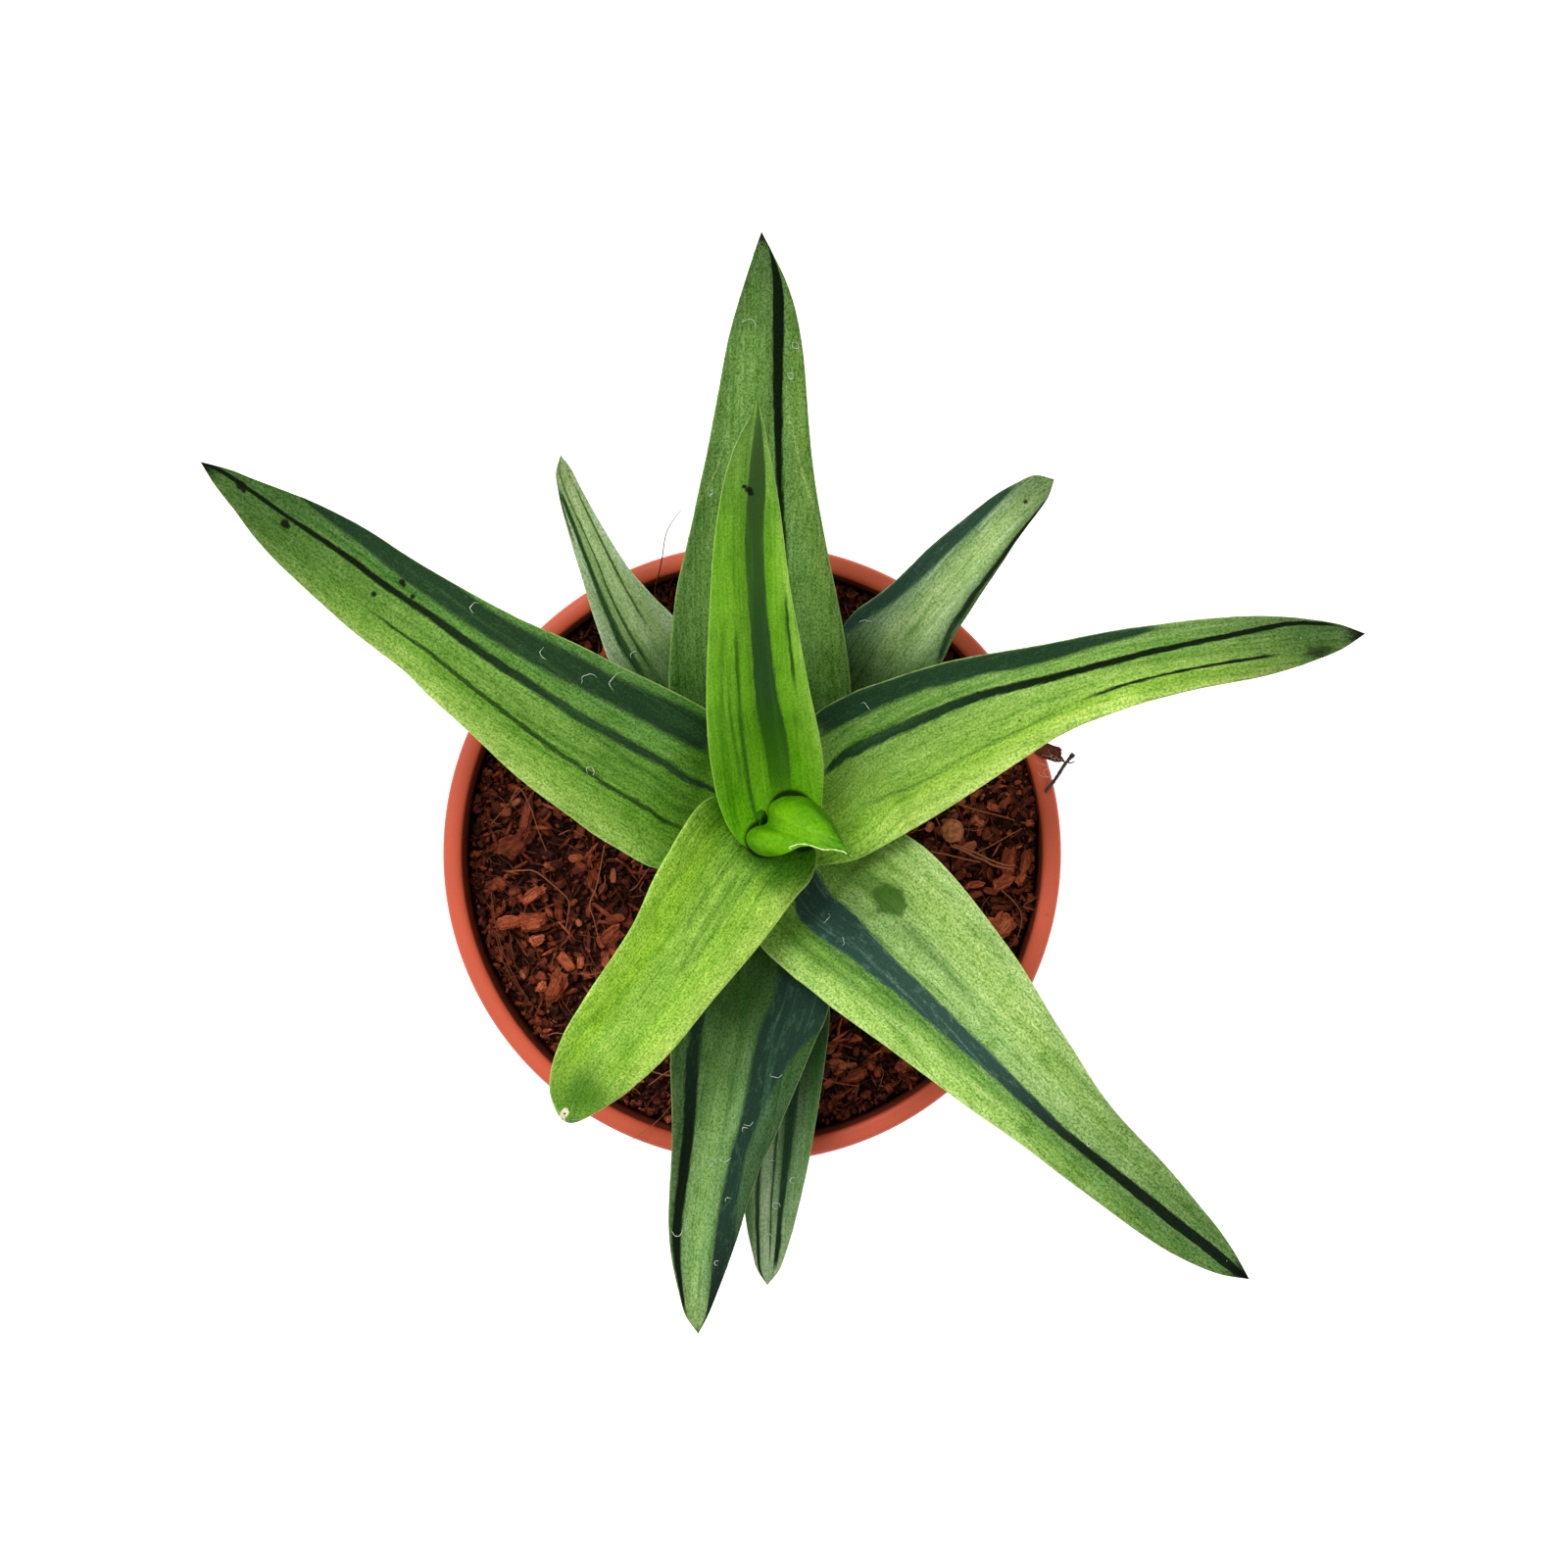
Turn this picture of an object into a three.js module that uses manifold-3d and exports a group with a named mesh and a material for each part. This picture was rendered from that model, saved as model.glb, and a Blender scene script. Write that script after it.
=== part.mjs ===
// Potted aloe: a rosette of twelve fleshy, striped leaves on a short stem,
// in a round plastic nursery pot filled with bark and coir growing mix.
// Millimetres, +Z up. Origin: centre of the pot's flat underside.
import * as THREE from 'three';
import * as BufferGeometryUtils from 'three/addons/utils/BufferGeometryUtils.js';
import Module from 'manifold-3d';

const wasm = await Module();
wasm.setup();

// ---------- driving dimensions ----------
const POT_RIM_D = 120;        // outside diameter at the lip
const POT_HEIGHT = 105;
const POT_BASE_D = 85;
const POT_WALL = 1.6;
const POT_FLOOR = 2.4;
const COLLAR_HEIGHT = 18;     // thicker band under the lip
const LIP_WIDTH = 3.3;
const DRAIN_D = 7;
const DRAIN_COUNT = 6;
const DRAIN_PITCH_R = 30;
const GAP = 0.3;              // clearance between neighbouring pieces
const SOIL_TOP = 95;          // mean level of the growing mix
const SOIL_ROUGH = 1.1;       // height of its lumps
const STEM = { x: 4.35, y: 4.83, r: 4.6, rBase: 6.4, z0: 84, z1: 115.0 };
const POT_SEGMENTS = 72;

// Leaf tables. One row is one station from the stem to the tip:
// [left edge x, y, z, right edge x, y, z, hollow of the upper face, thickness].
const LEAF = {
  leaf_left: [
    [-6.8, -0.67, 116.92, 0.76, 16.71, 116.94, 2.25, 3.2],
    [-11.18, -3.27, 120.69, -2.71, 21.88, 121.49, 4.44, 3.25],
    [-18.67, -2.54, 125.5, -5.06, 24.71, 124.1, 4.32, 3.31],
    [-24.87, 0.85, 128.71, -8.46, 27.71, 127.04, 3.01, 3.41],
    [-29.68, 3.88, 132.23, -13.85, 30.63, 130.51, 2.9, 3.85],
    [-34.54, 7.67, 136.11, -19.2, 33.22, 133.99, 3.0, 4.56],
    [-39.69, 11.56, 139.8, -24.6, 35.72, 137.38, 3.0, 5.12],
    [-44.87, 15.91, 143.22, -29.86, 38.43, 140.56, 2.97, 5.2],
    [-49.43, 20.41, 146.45, -35.76, 41.2, 143.61, 2.81, 5.18],
    [-54.17, 24.95, 149.49, -41.77, 43.75, 146.53, 2.53, 5.15],
    [-59.25, 29.63, 152.24, -47.33, 46.55, 149.24, 2.19, 5.11],
    [-63.78, 34.28, 154.57, -53.14, 49.75, 151.6, 1.85, 5.06],
    [-68.76, 38.19, 156.44, -58.91, 53.06, 153.58, 1.57, 4.99],
    [-73.98, 42.37, 157.94, -64.1, 56.23, 155.25, 1.34, 4.82],
    [-78.65, 46.62, 159.16, -69.23, 59.65, 156.71, 1.12, 4.51],
    [-82.94, 50.61, 160.18, -74.68, 62.71, 158.01, 0.91, 4.12],
    [-87.14, 54.67, 161.05, -79.99, 65.27, 159.21, 0.71, 3.69],
    [-90.98, 59.04, 161.81, -85.15, 67.29, 160.34, 0.53, 3.24],
    [-94.26, 63.59, 162.51, -90.24, 69.18, 161.44, 0.35, 2.61],
    [-97.55, 67.86, 163.2, -95.29, 71.11, 162.59, 0.17, 1.88],
    [-100.43, 72.39, 163.83, -100.43, 72.39, 163.83, 0.0, 1.2],
  ],
  leaf_back: [
    [-1.42, 9.86, 104.99, 10.26, 11.01, 105.28, 0.51, 3.0],
    [-5.81, 12.32, 107.33, 13.75, 15.28, 108.29, 2.44, 3.05],
    [-9.8, 15.91, 111.2, 16.44, 19.67, 112.11, 4.24, 3.1],
    [-12.62, 21.13, 115.11, 18.07, 24.16, 115.21, 4.28, 3.18],
    [-14.46, 25.95, 117.9, 19.14, 29.85, 118.15, 3.23, 3.43],
    [-15.87, 31.74, 120.98, 18.84, 35.12, 120.97, 2.81, 3.95],
    [-15.6, 38.49, 124.19, 18.13, 39.83, 124.19, 2.67, 4.45],
    [-14.97, 44.48, 127.56, 17.07, 45.51, 127.56, 2.56, 4.63],
    [-14.06, 50.86, 131.01, 15.9, 50.92, 131.01, 2.38, 4.69],
    [-12.51, 57.04, 134.56, 14.65, 56.52, 134.56, 2.15, 4.74],
    [-11.04, 62.91, 138.25, 13.43, 62.44, 138.25, 1.89, 4.77],
    [-9.67, 68.9, 141.97, 12.36, 68.18, 141.97, 1.63, 4.79],
    [-8.26, 74.76, 145.62, 11.53, 73.87, 145.62, 1.39, 4.8],
    [-7.09, 80.45, 149.1, 10.94, 79.52, 149.1, 1.19, 4.7],
    [-5.95, 85.92, 152.27, 10.49, 85.07, 152.27, 0.99, 4.44],
    [-4.95, 91.15, 155.17, 10.03, 90.52, 155.17, 0.81, 4.09],
    [-3.83, 96.17, 157.85, 9.33, 95.75, 157.85, 0.63, 3.68],
    [-2.43, 100.84, 160.35, 8.23, 100.82, 160.35, 0.46, 3.25],
    [-0.95, 105.26, 162.7, 6.53, 105.63, 162.7, 0.3, 2.62],
    [0.6, 109.68, 164.94, 4.31, 109.96, 164.94, 0.15, 1.89],
    [2.14, 114.05, 167.15, 2.14, 114.05, 167.15, 0.0, 1.2],
  ],
  leaf_inner_back: [
    [0.99, 0.75, 124.01, 11.86, 1.51, 124.82, 0.41, 3.2],
    [-1.79, 1.87, 124.27, 13.55, 6.24, 125.44, 0.85, 3.39],
    [-4.42, 5.1, 125.12, 13.56, 10.24, 126.43, 1.78, 3.63],
    [-6.33, 10.0, 127.42, 13.79, 13.27, 128.17, 3.55, 3.88],
    [-7.25, 14.49, 130.71, 13.77, 17.2, 131.23, 4.35, 4.11],
    [-7.84, 18.62, 134.55, 13.13, 21.69, 135.29, 3.98, 4.38],
    [-8.18, 23.15, 139.0, 12.2, 25.95, 139.52, 3.0, 4.65],
    [-8.29, 27.96, 143.69, 11.21, 30.08, 144.22, 2.48, 4.87],
    [-8.17, 32.8, 148.52, 10.29, 34.32, 149.43, 2.72, 4.99],
    [-7.94, 37.49, 153.68, 9.42, 38.75, 154.86, 2.84, 4.99],
    [-7.63, 42.11, 158.8, 8.48, 43.21, 160.0, 2.7, 4.92],
    [-7.31, 46.77, 163.68, 7.6, 47.55, 164.86, 2.53, 4.82],
    [-6.97, 51.39, 168.13, 6.92, 51.79, 169.28, 2.34, 4.68],
    [-6.57, 55.87, 172.32, 6.38, 55.98, 173.39, 2.14, 4.52],
    [-5.99, 60.15, 176.27, 5.84, 60.06, 177.25, 1.93, 4.34],
    [-5.25, 64.24, 179.94, 5.24, 64.01, 180.8, 1.67, 4.09],
    [-4.33, 68.16, 183.37, 4.55, 67.77, 184.11, 1.34, 3.75],
    [-3.1, 71.92, 186.61, 3.79, 71.31, 187.2, 0.99, 3.34],
    [-1.5, 75.38, 189.7, 3.06, 74.75, 190.13, 0.65, 2.86],
    [0.36, 78.46, 192.71, 2.29, 78.23, 192.96, 0.32, 2.09],
    [1.58, 81.83, 194.0, 1.58, 81.83, 194.0, 0.0, 1.2],
  ],
  leaf_small_back_left: [
    [-1.46, 7.72, 100.12, 2.77, 11.77, 100.23, 0.12, 2.8],
    [-4.4, 10.31, 101.3, 1.36, 14.77, 101.33, 0.38, 2.85],
    [-7.17, 12.7, 103.25, -0.18, 18.05, 103.27, 0.63, 2.91],
    [-9.93, 15.19, 105.67, -1.79, 21.34, 105.7, 0.84, 2.98],
    [-12.65, 17.9, 108.21, -3.5, 24.61, 108.34, 1.01, 3.1],
    [-15.31, 20.87, 110.49, -5.3, 27.91, 110.88, 1.2, 3.33],
    [-17.92, 24.02, 112.46, -7.17, 31.3, 113.2, 1.59, 3.62],
    [-20.51, 27.34, 114.34, -9.07, 34.76, 115.38, 1.92, 3.87],
    [-23.07, 30.76, 116.04, -10.95, 38.36, 117.18, 2.0, 4.0],
    [-25.58, 34.29, 117.62, -12.88, 42.03, 118.81, 1.98, 3.99],
    [-27.77, 37.93, 119.1, -15.07, 45.68, 120.3, 1.9, 3.94],
    [-29.13, 42.02, 120.49, -18.07, 48.61, 121.68, 1.79, 3.87],
    [-30.52, 46.21, 121.85, -20.78, 51.55, 122.99, 1.64, 3.77],
    [-31.75, 50.37, 123.1, -23.32, 54.54, 124.18, 1.47, 3.67],
    [-32.92, 54.39, 124.19, -25.52, 57.73, 125.17, 1.29, 3.56],
    [-34.09, 58.2, 125.08, -27.5, 61.02, 125.94, 1.11, 3.43],
    [-35.14, 61.92, 125.76, -29.38, 64.26, 126.49, 0.93, 3.24],
    [-36.12, 65.56, 126.29, -31.16, 67.42, 126.88, 0.71, 3.01],
    [-36.88, 69.19, 126.72, -32.79, 70.5, 127.13, 0.46, 2.67],
    [-37.29, 72.83, 127.08, -34.33, 73.52, 127.32, 0.21, 1.94],
    [-36.33, 76.24, 127.42, -36.33, 76.24, 127.42, 0.0, 1.2],
  ],
  leaf_small_back_right: [
    [5.08, 11.96, 100.25, 10.48, 7.92, 100.18, 0.15, 2.8],
    [6.32, 15.55, 101.61, 13.56, 10.25, 101.5, 0.53, 2.85],
    [7.56, 19.17, 103.83, 16.67, 12.6, 103.74, 0.91, 2.91],
    [8.82, 22.74, 106.48, 19.76, 15.19, 106.48, 1.18, 2.97],
    [10.16, 26.36, 109.3, 22.74, 18.05, 109.22, 1.32, 3.1],
    [11.61, 30.08, 112.03, 25.65, 21.08, 111.63, 1.49, 3.33],
    [13.13, 33.83, 114.68, 28.55, 24.34, 113.91, 1.87, 3.62],
    [14.58, 37.4, 117.27, 31.48, 28.1, 116.2, 2.14, 3.87],
    [16.28, 41.75, 119.51, 33.72, 31.57, 118.36, 2.2, 4.0],
    [19.6, 46.33, 121.5, 35.3, 34.34, 120.31, 2.17, 3.99],
    [23.6, 49.21, 123.1, 37.07, 38.02, 121.9, 2.08, 3.97],
    [27.03, 51.91, 124.48, 39.08, 42.18, 123.3, 1.93, 3.94],
    [30.3, 54.98, 125.71, 41.47, 45.89, 124.57, 1.74, 3.89],
    [33.47, 58.14, 126.72, 43.76, 49.48, 125.65, 1.52, 3.83],
    [36.87, 61.08, 127.48, 46.01, 52.85, 126.52, 1.31, 3.77],
    [40.16, 63.68, 128.02, 48.3, 56.27, 127.18, 1.1, 3.67],
    [43.39, 66.26, 128.43, 50.44, 59.57, 127.72, 0.89, 3.53],
    [46.78, 68.75, 128.7, 52.56, 62.51, 128.14, 0.66, 3.33],
    [50.29, 70.72, 128.87, 54.74, 65.37, 128.48, 0.41, 2.99],
    [53.98, 72.26, 128.99, 56.64, 68.28, 128.79, 0.17, 2.21],
    [57.68, 71.47, 129.03, 57.68, 71.47, 129.03, 0.0, 1.6],
  ],
  leaf_right: [
    [7.37, 15.58, 116.17, 11.73, -2.4, 115.67, 1.71, 3.2],
    [7.95, 17.88, 117.69, 19.45, -1.3, 119.69, 3.25, 3.26],
    [8.65, 20.69, 119.88, 26.49, 2.32, 124.22, 3.61, 3.32],
    [11.9, 26.59, 125.12, 30.12, 4.4, 126.01, 3.29, 3.43],
    [19.23, 30.84, 129.66, 32.36, 5.75, 128.05, 2.77, 3.89],
    [25.17, 32.92, 133.49, 36.72, 8.47, 131.27, 3.09, 4.6],
    [30.85, 34.75, 137.02, 41.54, 11.66, 134.43, 3.2, 5.13],
    [37.0, 36.42, 140.14, 46.22, 14.82, 137.29, 3.17, 5.2],
    [43.33, 37.64, 142.74, 51.07, 18.07, 139.71, 3.0, 5.18],
    [49.73, 38.63, 145.11, 56.04, 21.36, 141.95, 2.73, 5.15],
    [56.2, 39.73, 147.25, 61.28, 24.16, 144.05, 2.39, 5.11],
    [62.58, 41.03, 149.15, 66.83, 26.33, 145.99, 2.05, 5.06],
    [68.95, 42.15, 150.77, 72.37, 28.23, 147.72, 1.76, 4.99],
    [75.21, 42.96, 152.03, 77.99, 29.79, 149.16, 1.51, 4.84],
    [81.29, 43.73, 152.97, 83.56, 31.13, 150.35, 1.27, 4.58],
    [87.23, 44.26, 153.68, 89.02, 32.15, 151.37, 1.04, 4.25],
    [92.87, 44.52, 154.24, 94.45, 33.2, 152.28, 0.81, 3.86],
    [98.31, 44.37, 154.68, 99.65, 34.62, 153.13, 0.59, 3.42],
    [103.58, 43.83, 155.06, 104.59, 36.35, 153.95, 0.39, 2.73],
    [108.68, 42.94, 155.4, 109.32, 38.37, 154.78, 0.19, 1.92],
    [113.5, 41.24, 155.67, 113.5, 41.24, 155.67, 0.0, 1.2],
  ],
  leaf_front_right: [
    [14.23, 6.27, 110.71, 2.24, -5.33, 110.88, 1.37, 3.2],
    [20.65, 6.72, 114.92, 0.3, -9.86, 114.0, 4.33, 3.24],
    [25.01, 6.04, 118.2, 0.96, -16.57, 118.87, 6.03, 3.29],
    [27.93, 4.84, 119.99, 6.92, -22.52, 121.91, 4.27, 3.38],
    [33.33, 1.24, 123.1, 11.18, -25.79, 124.35, 2.98, 3.7],
    [38.43, -3.93, 126.12, 15.03, -28.8, 127.64, 2.84, 4.39],
    [42.53, -8.98, 129.16, 19.89, -32.2, 131.05, 2.84, 5.04],
    [46.51, -14.34, 132.03, 24.91, -35.64, 134.13, 2.77, 5.2],
    [50.52, -19.94, 134.64, 29.88, -39.21, 136.89, 2.65, 5.2],
    [54.07, -25.74, 137.17, 35.04, -42.93, 139.53, 2.47, 5.2],
    [57.36, -31.3, 139.56, 40.53, -46.91, 141.96, 2.25, 5.2],
    [60.86, -36.8, 141.67, 46.06, -50.68, 144.05, 2.02, 5.2],
    [64.26, -42.35, 143.39, 51.47, -54.43, 145.7, 1.8, 5.2],
    [67.91, -47.29, 144.66, 56.84, -58.56, 146.83, 1.58, 5.09],
    [71.94, -51.8, 145.66, 62.14, -62.47, 147.64, 1.34, 4.8],
    [76.22, -56.22, 146.48, 67.07, -66.13, 148.24, 1.1, 4.39],
    [80.16, -60.7, 147.2, 71.88, -69.63, 148.69, 0.87, 3.93],
    [83.71, -65.04, 147.85, 76.87, -72.85, 149.04, 0.63, 3.45],
    [87.15, -69.29, 148.49, 81.99, -75.55, 149.34, 0.41, 2.75],
    [90.15, -73.77, 149.15, 87.22, -77.55, 149.63, 0.19, 1.94],
    [92.67, -78.48, 149.87, 92.67, -78.48, 149.87, 0.0, 1.2],
  ],
  leaf_inner_front_left: [
    [10.76, 2.57, 119.2, -2.8, 11.43, 120.32, 0.76, 3.4],
    [12.69, -0.01, 120.25, -6.36, 11.31, 122.07, 2.16, 3.46],
    [11.58, -4.6, 121.59, -8.25, 10.78, 123.16, 3.37, 3.56],
    [9.06, -7.63, 122.63, -10.57, 8.81, 124.42, 4.36, 3.69],
    [7.57, -9.43, 123.68, -13.28, 4.79, 126.38, 4.51, 3.87],
    [5.48, -12.25, 125.87, -15.15, 1.43, 128.39, 4.13, 4.19],
    [3.17, -15.22, 128.53, -17.09, -1.82, 130.75, 3.33, 4.61],
    [0.9, -17.98, 131.28, -18.92, -5.52, 133.51, 2.48, 4.99],
    [-1.72, -21.02, 134.29, -20.33, -9.06, 136.65, 2.17, 5.19],
    [-4.58, -24.29, 137.59, -21.78, -12.28, 140.28, 2.23, 5.19],
    [-7.32, -27.41, 141.2, -23.61, -15.5, 144.19, 2.26, 5.17],
    [-9.83, -30.46, 144.97, -25.67, -18.71, 147.92, 2.14, 5.13],
    [-12.35, -33.54, 148.7, -27.7, -21.76, 151.52, 2.01, 5.08],
    [-14.99, -36.47, 152.22, -29.65, -24.71, 154.83, 1.85, 5.02],
    [-17.72, -39.07, 155.51, -31.46, -27.7, 157.84, 1.65, 4.93],
    [-20.28, -41.21, 158.58, -33.35, -30.87, 160.58, 1.37, 4.77],
    [-22.64, -43.09, 161.46, -34.89, -34.31, 163.09, 1.04, 4.53],
    [-25.02, -44.54, 164.14, -35.99, -37.95, 165.36, 0.7, 4.2],
    [-27.19, -45.73, 166.6, -36.31, -41.84, 167.39, 0.39, 3.69],
    [-29.75, -46.93, 168.63, -35.14, -45.14, 168.99, 0.14, 2.64],
    [-32.85, -47.38, 169.91, -32.85, -47.38, 169.91, 0.0, 2.0],
  ],
  leaf_front: [
    [10.83, -2.76, 105.8, -3.9, -0.47, 105.72, 1.08, 3.0],
    [12.19, -6.3, 107.8, -6.04, -4.81, 108.17, 2.13, 3.05],
    [13.66, -10.15, 110.55, -7.99, -8.9, 111.13, 2.76, 3.1],
    [14.9, -14.27, 113.12, -9.64, -13.06, 113.84, 2.55, 3.16],
    [15.82, -18.96, 115.01, -10.95, -17.09, 116.02, 1.68, 3.3],
    [15.92, -24.92, 116.41, -11.86, -20.26, 118.1, 1.12, 3.64],
    [14.48, -31.36, 117.55, -12.63, -23.11, 120.33, 0.7, 4.09],
    [12.28, -36.1, 119.07, -13.76, -27.55, 122.29, 0.43, 4.52],
    [10.62, -40.04, 120.63, -14.84, -33.19, 124.06, 0.15, 4.78],
    [8.85, -44.17, 122.15, -15.42, -38.83, 125.71, -0.14, 4.85],
    [6.89, -48.62, 123.72, -15.25, -44.18, 127.32, -0.39, 4.91],
    [4.75, -53.53, 125.37, -15.04, -49.0, 128.92, -0.56, 4.95],
    [2.45, -58.04, 127.01, -14.98, -54.0, 130.44, -0.6, 4.98],
    [0.72, -62.47, 128.54, -15.15, -59.11, 131.75, -0.57, 5.0],
    [-0.8, -66.88, 129.83, -15.43, -64.09, 132.75, -0.51, 4.99],
    [-2.06, -71.16, 130.94, -15.57, -69.01, 133.51, -0.42, 4.86],
    [-3.46, -75.26, 131.95, -15.3, -73.76, 134.11, -0.33, 4.6],
    [-4.92, -79.23, 132.88, -14.58, -78.3, 134.6, -0.24, 4.26],
    [-6.45, -83.12, 133.77, -13.57, -82.59, 134.99, -0.15, 3.84],
    [-8.02, -86.84, 134.66, -12.35, -86.79, 135.33, -0.06, 2.84],
    [-9.95, -90.29, 135.53, -9.95, -90.29, 135.53, 0.0, 1.6],
  ],
  leaf_small_front: [
    [7.4, -1.71, 100.2, 2.39, -1.71, 100.13, 0.11, 2.8],
    [8.92, -4.92, 101.22, 1.62, -5.76, 101.29, 0.41, 2.85],
    [10.58, -8.39, 102.99, 0.91, -9.55, 103.08, 0.69, 2.91],
    [12.04, -12.11, 105.1, 0.31, -13.3, 105.13, 0.85, 2.97],
    [13.22, -16.07, 107.02, -0.16, -17.14, 107.13, 0.79, 3.07],
    [14.17, -20.26, 108.45, -0.53, -21.06, 108.81, 0.68, 3.23],
    [14.83, -24.69, 109.55, -0.84, -25.07, 110.21, 0.69, 3.43],
    [15.16, -29.37, 110.58, -1.07, -29.11, 111.47, 0.66, 3.63],
    [14.99, -34.23, 111.6, -1.24, -33.18, 112.55, 0.61, 3.78],
    [14.39, -38.95, 112.58, -1.43, -37.5, 113.57, 0.55, 3.89],
    [13.77, -43.51, 113.58, -1.63, -42.03, 114.58, 0.5, 4.0],
    [13.06, -48.03, 114.59, -1.79, -46.58, 115.57, 0.44, 4.09],
    [12.31, -52.46, 115.57, -1.87, -51.11, 116.51, 0.38, 4.16],
    [11.54, -56.82, 116.47, -1.89, -55.54, 117.35, 0.33, 4.19],
    [10.68, -61.07, 117.24, -1.83, -59.87, 118.05, 0.28, 4.19],
    [9.77, -65.14, 117.9, -1.67, -64.11, 118.6, 0.22, 4.1],
    [8.83, -69.01, 118.47, -1.37, -68.28, 119.06, 0.18, 3.94],
    [7.85, -72.75, 118.98, -0.8, -72.3, 119.45, 0.13, 3.7],
    [6.7, -76.42, 119.45, 0.04, -76.07, 119.79, 0.08, 3.41],
    [5.34, -79.95, 119.91, 1.02, -79.71, 120.09, 0.04, 2.57],
    [3.04, -82.79, 120.31, 3.04, -82.79, 120.31, 0.0, 1.6],
  ],
};

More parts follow.
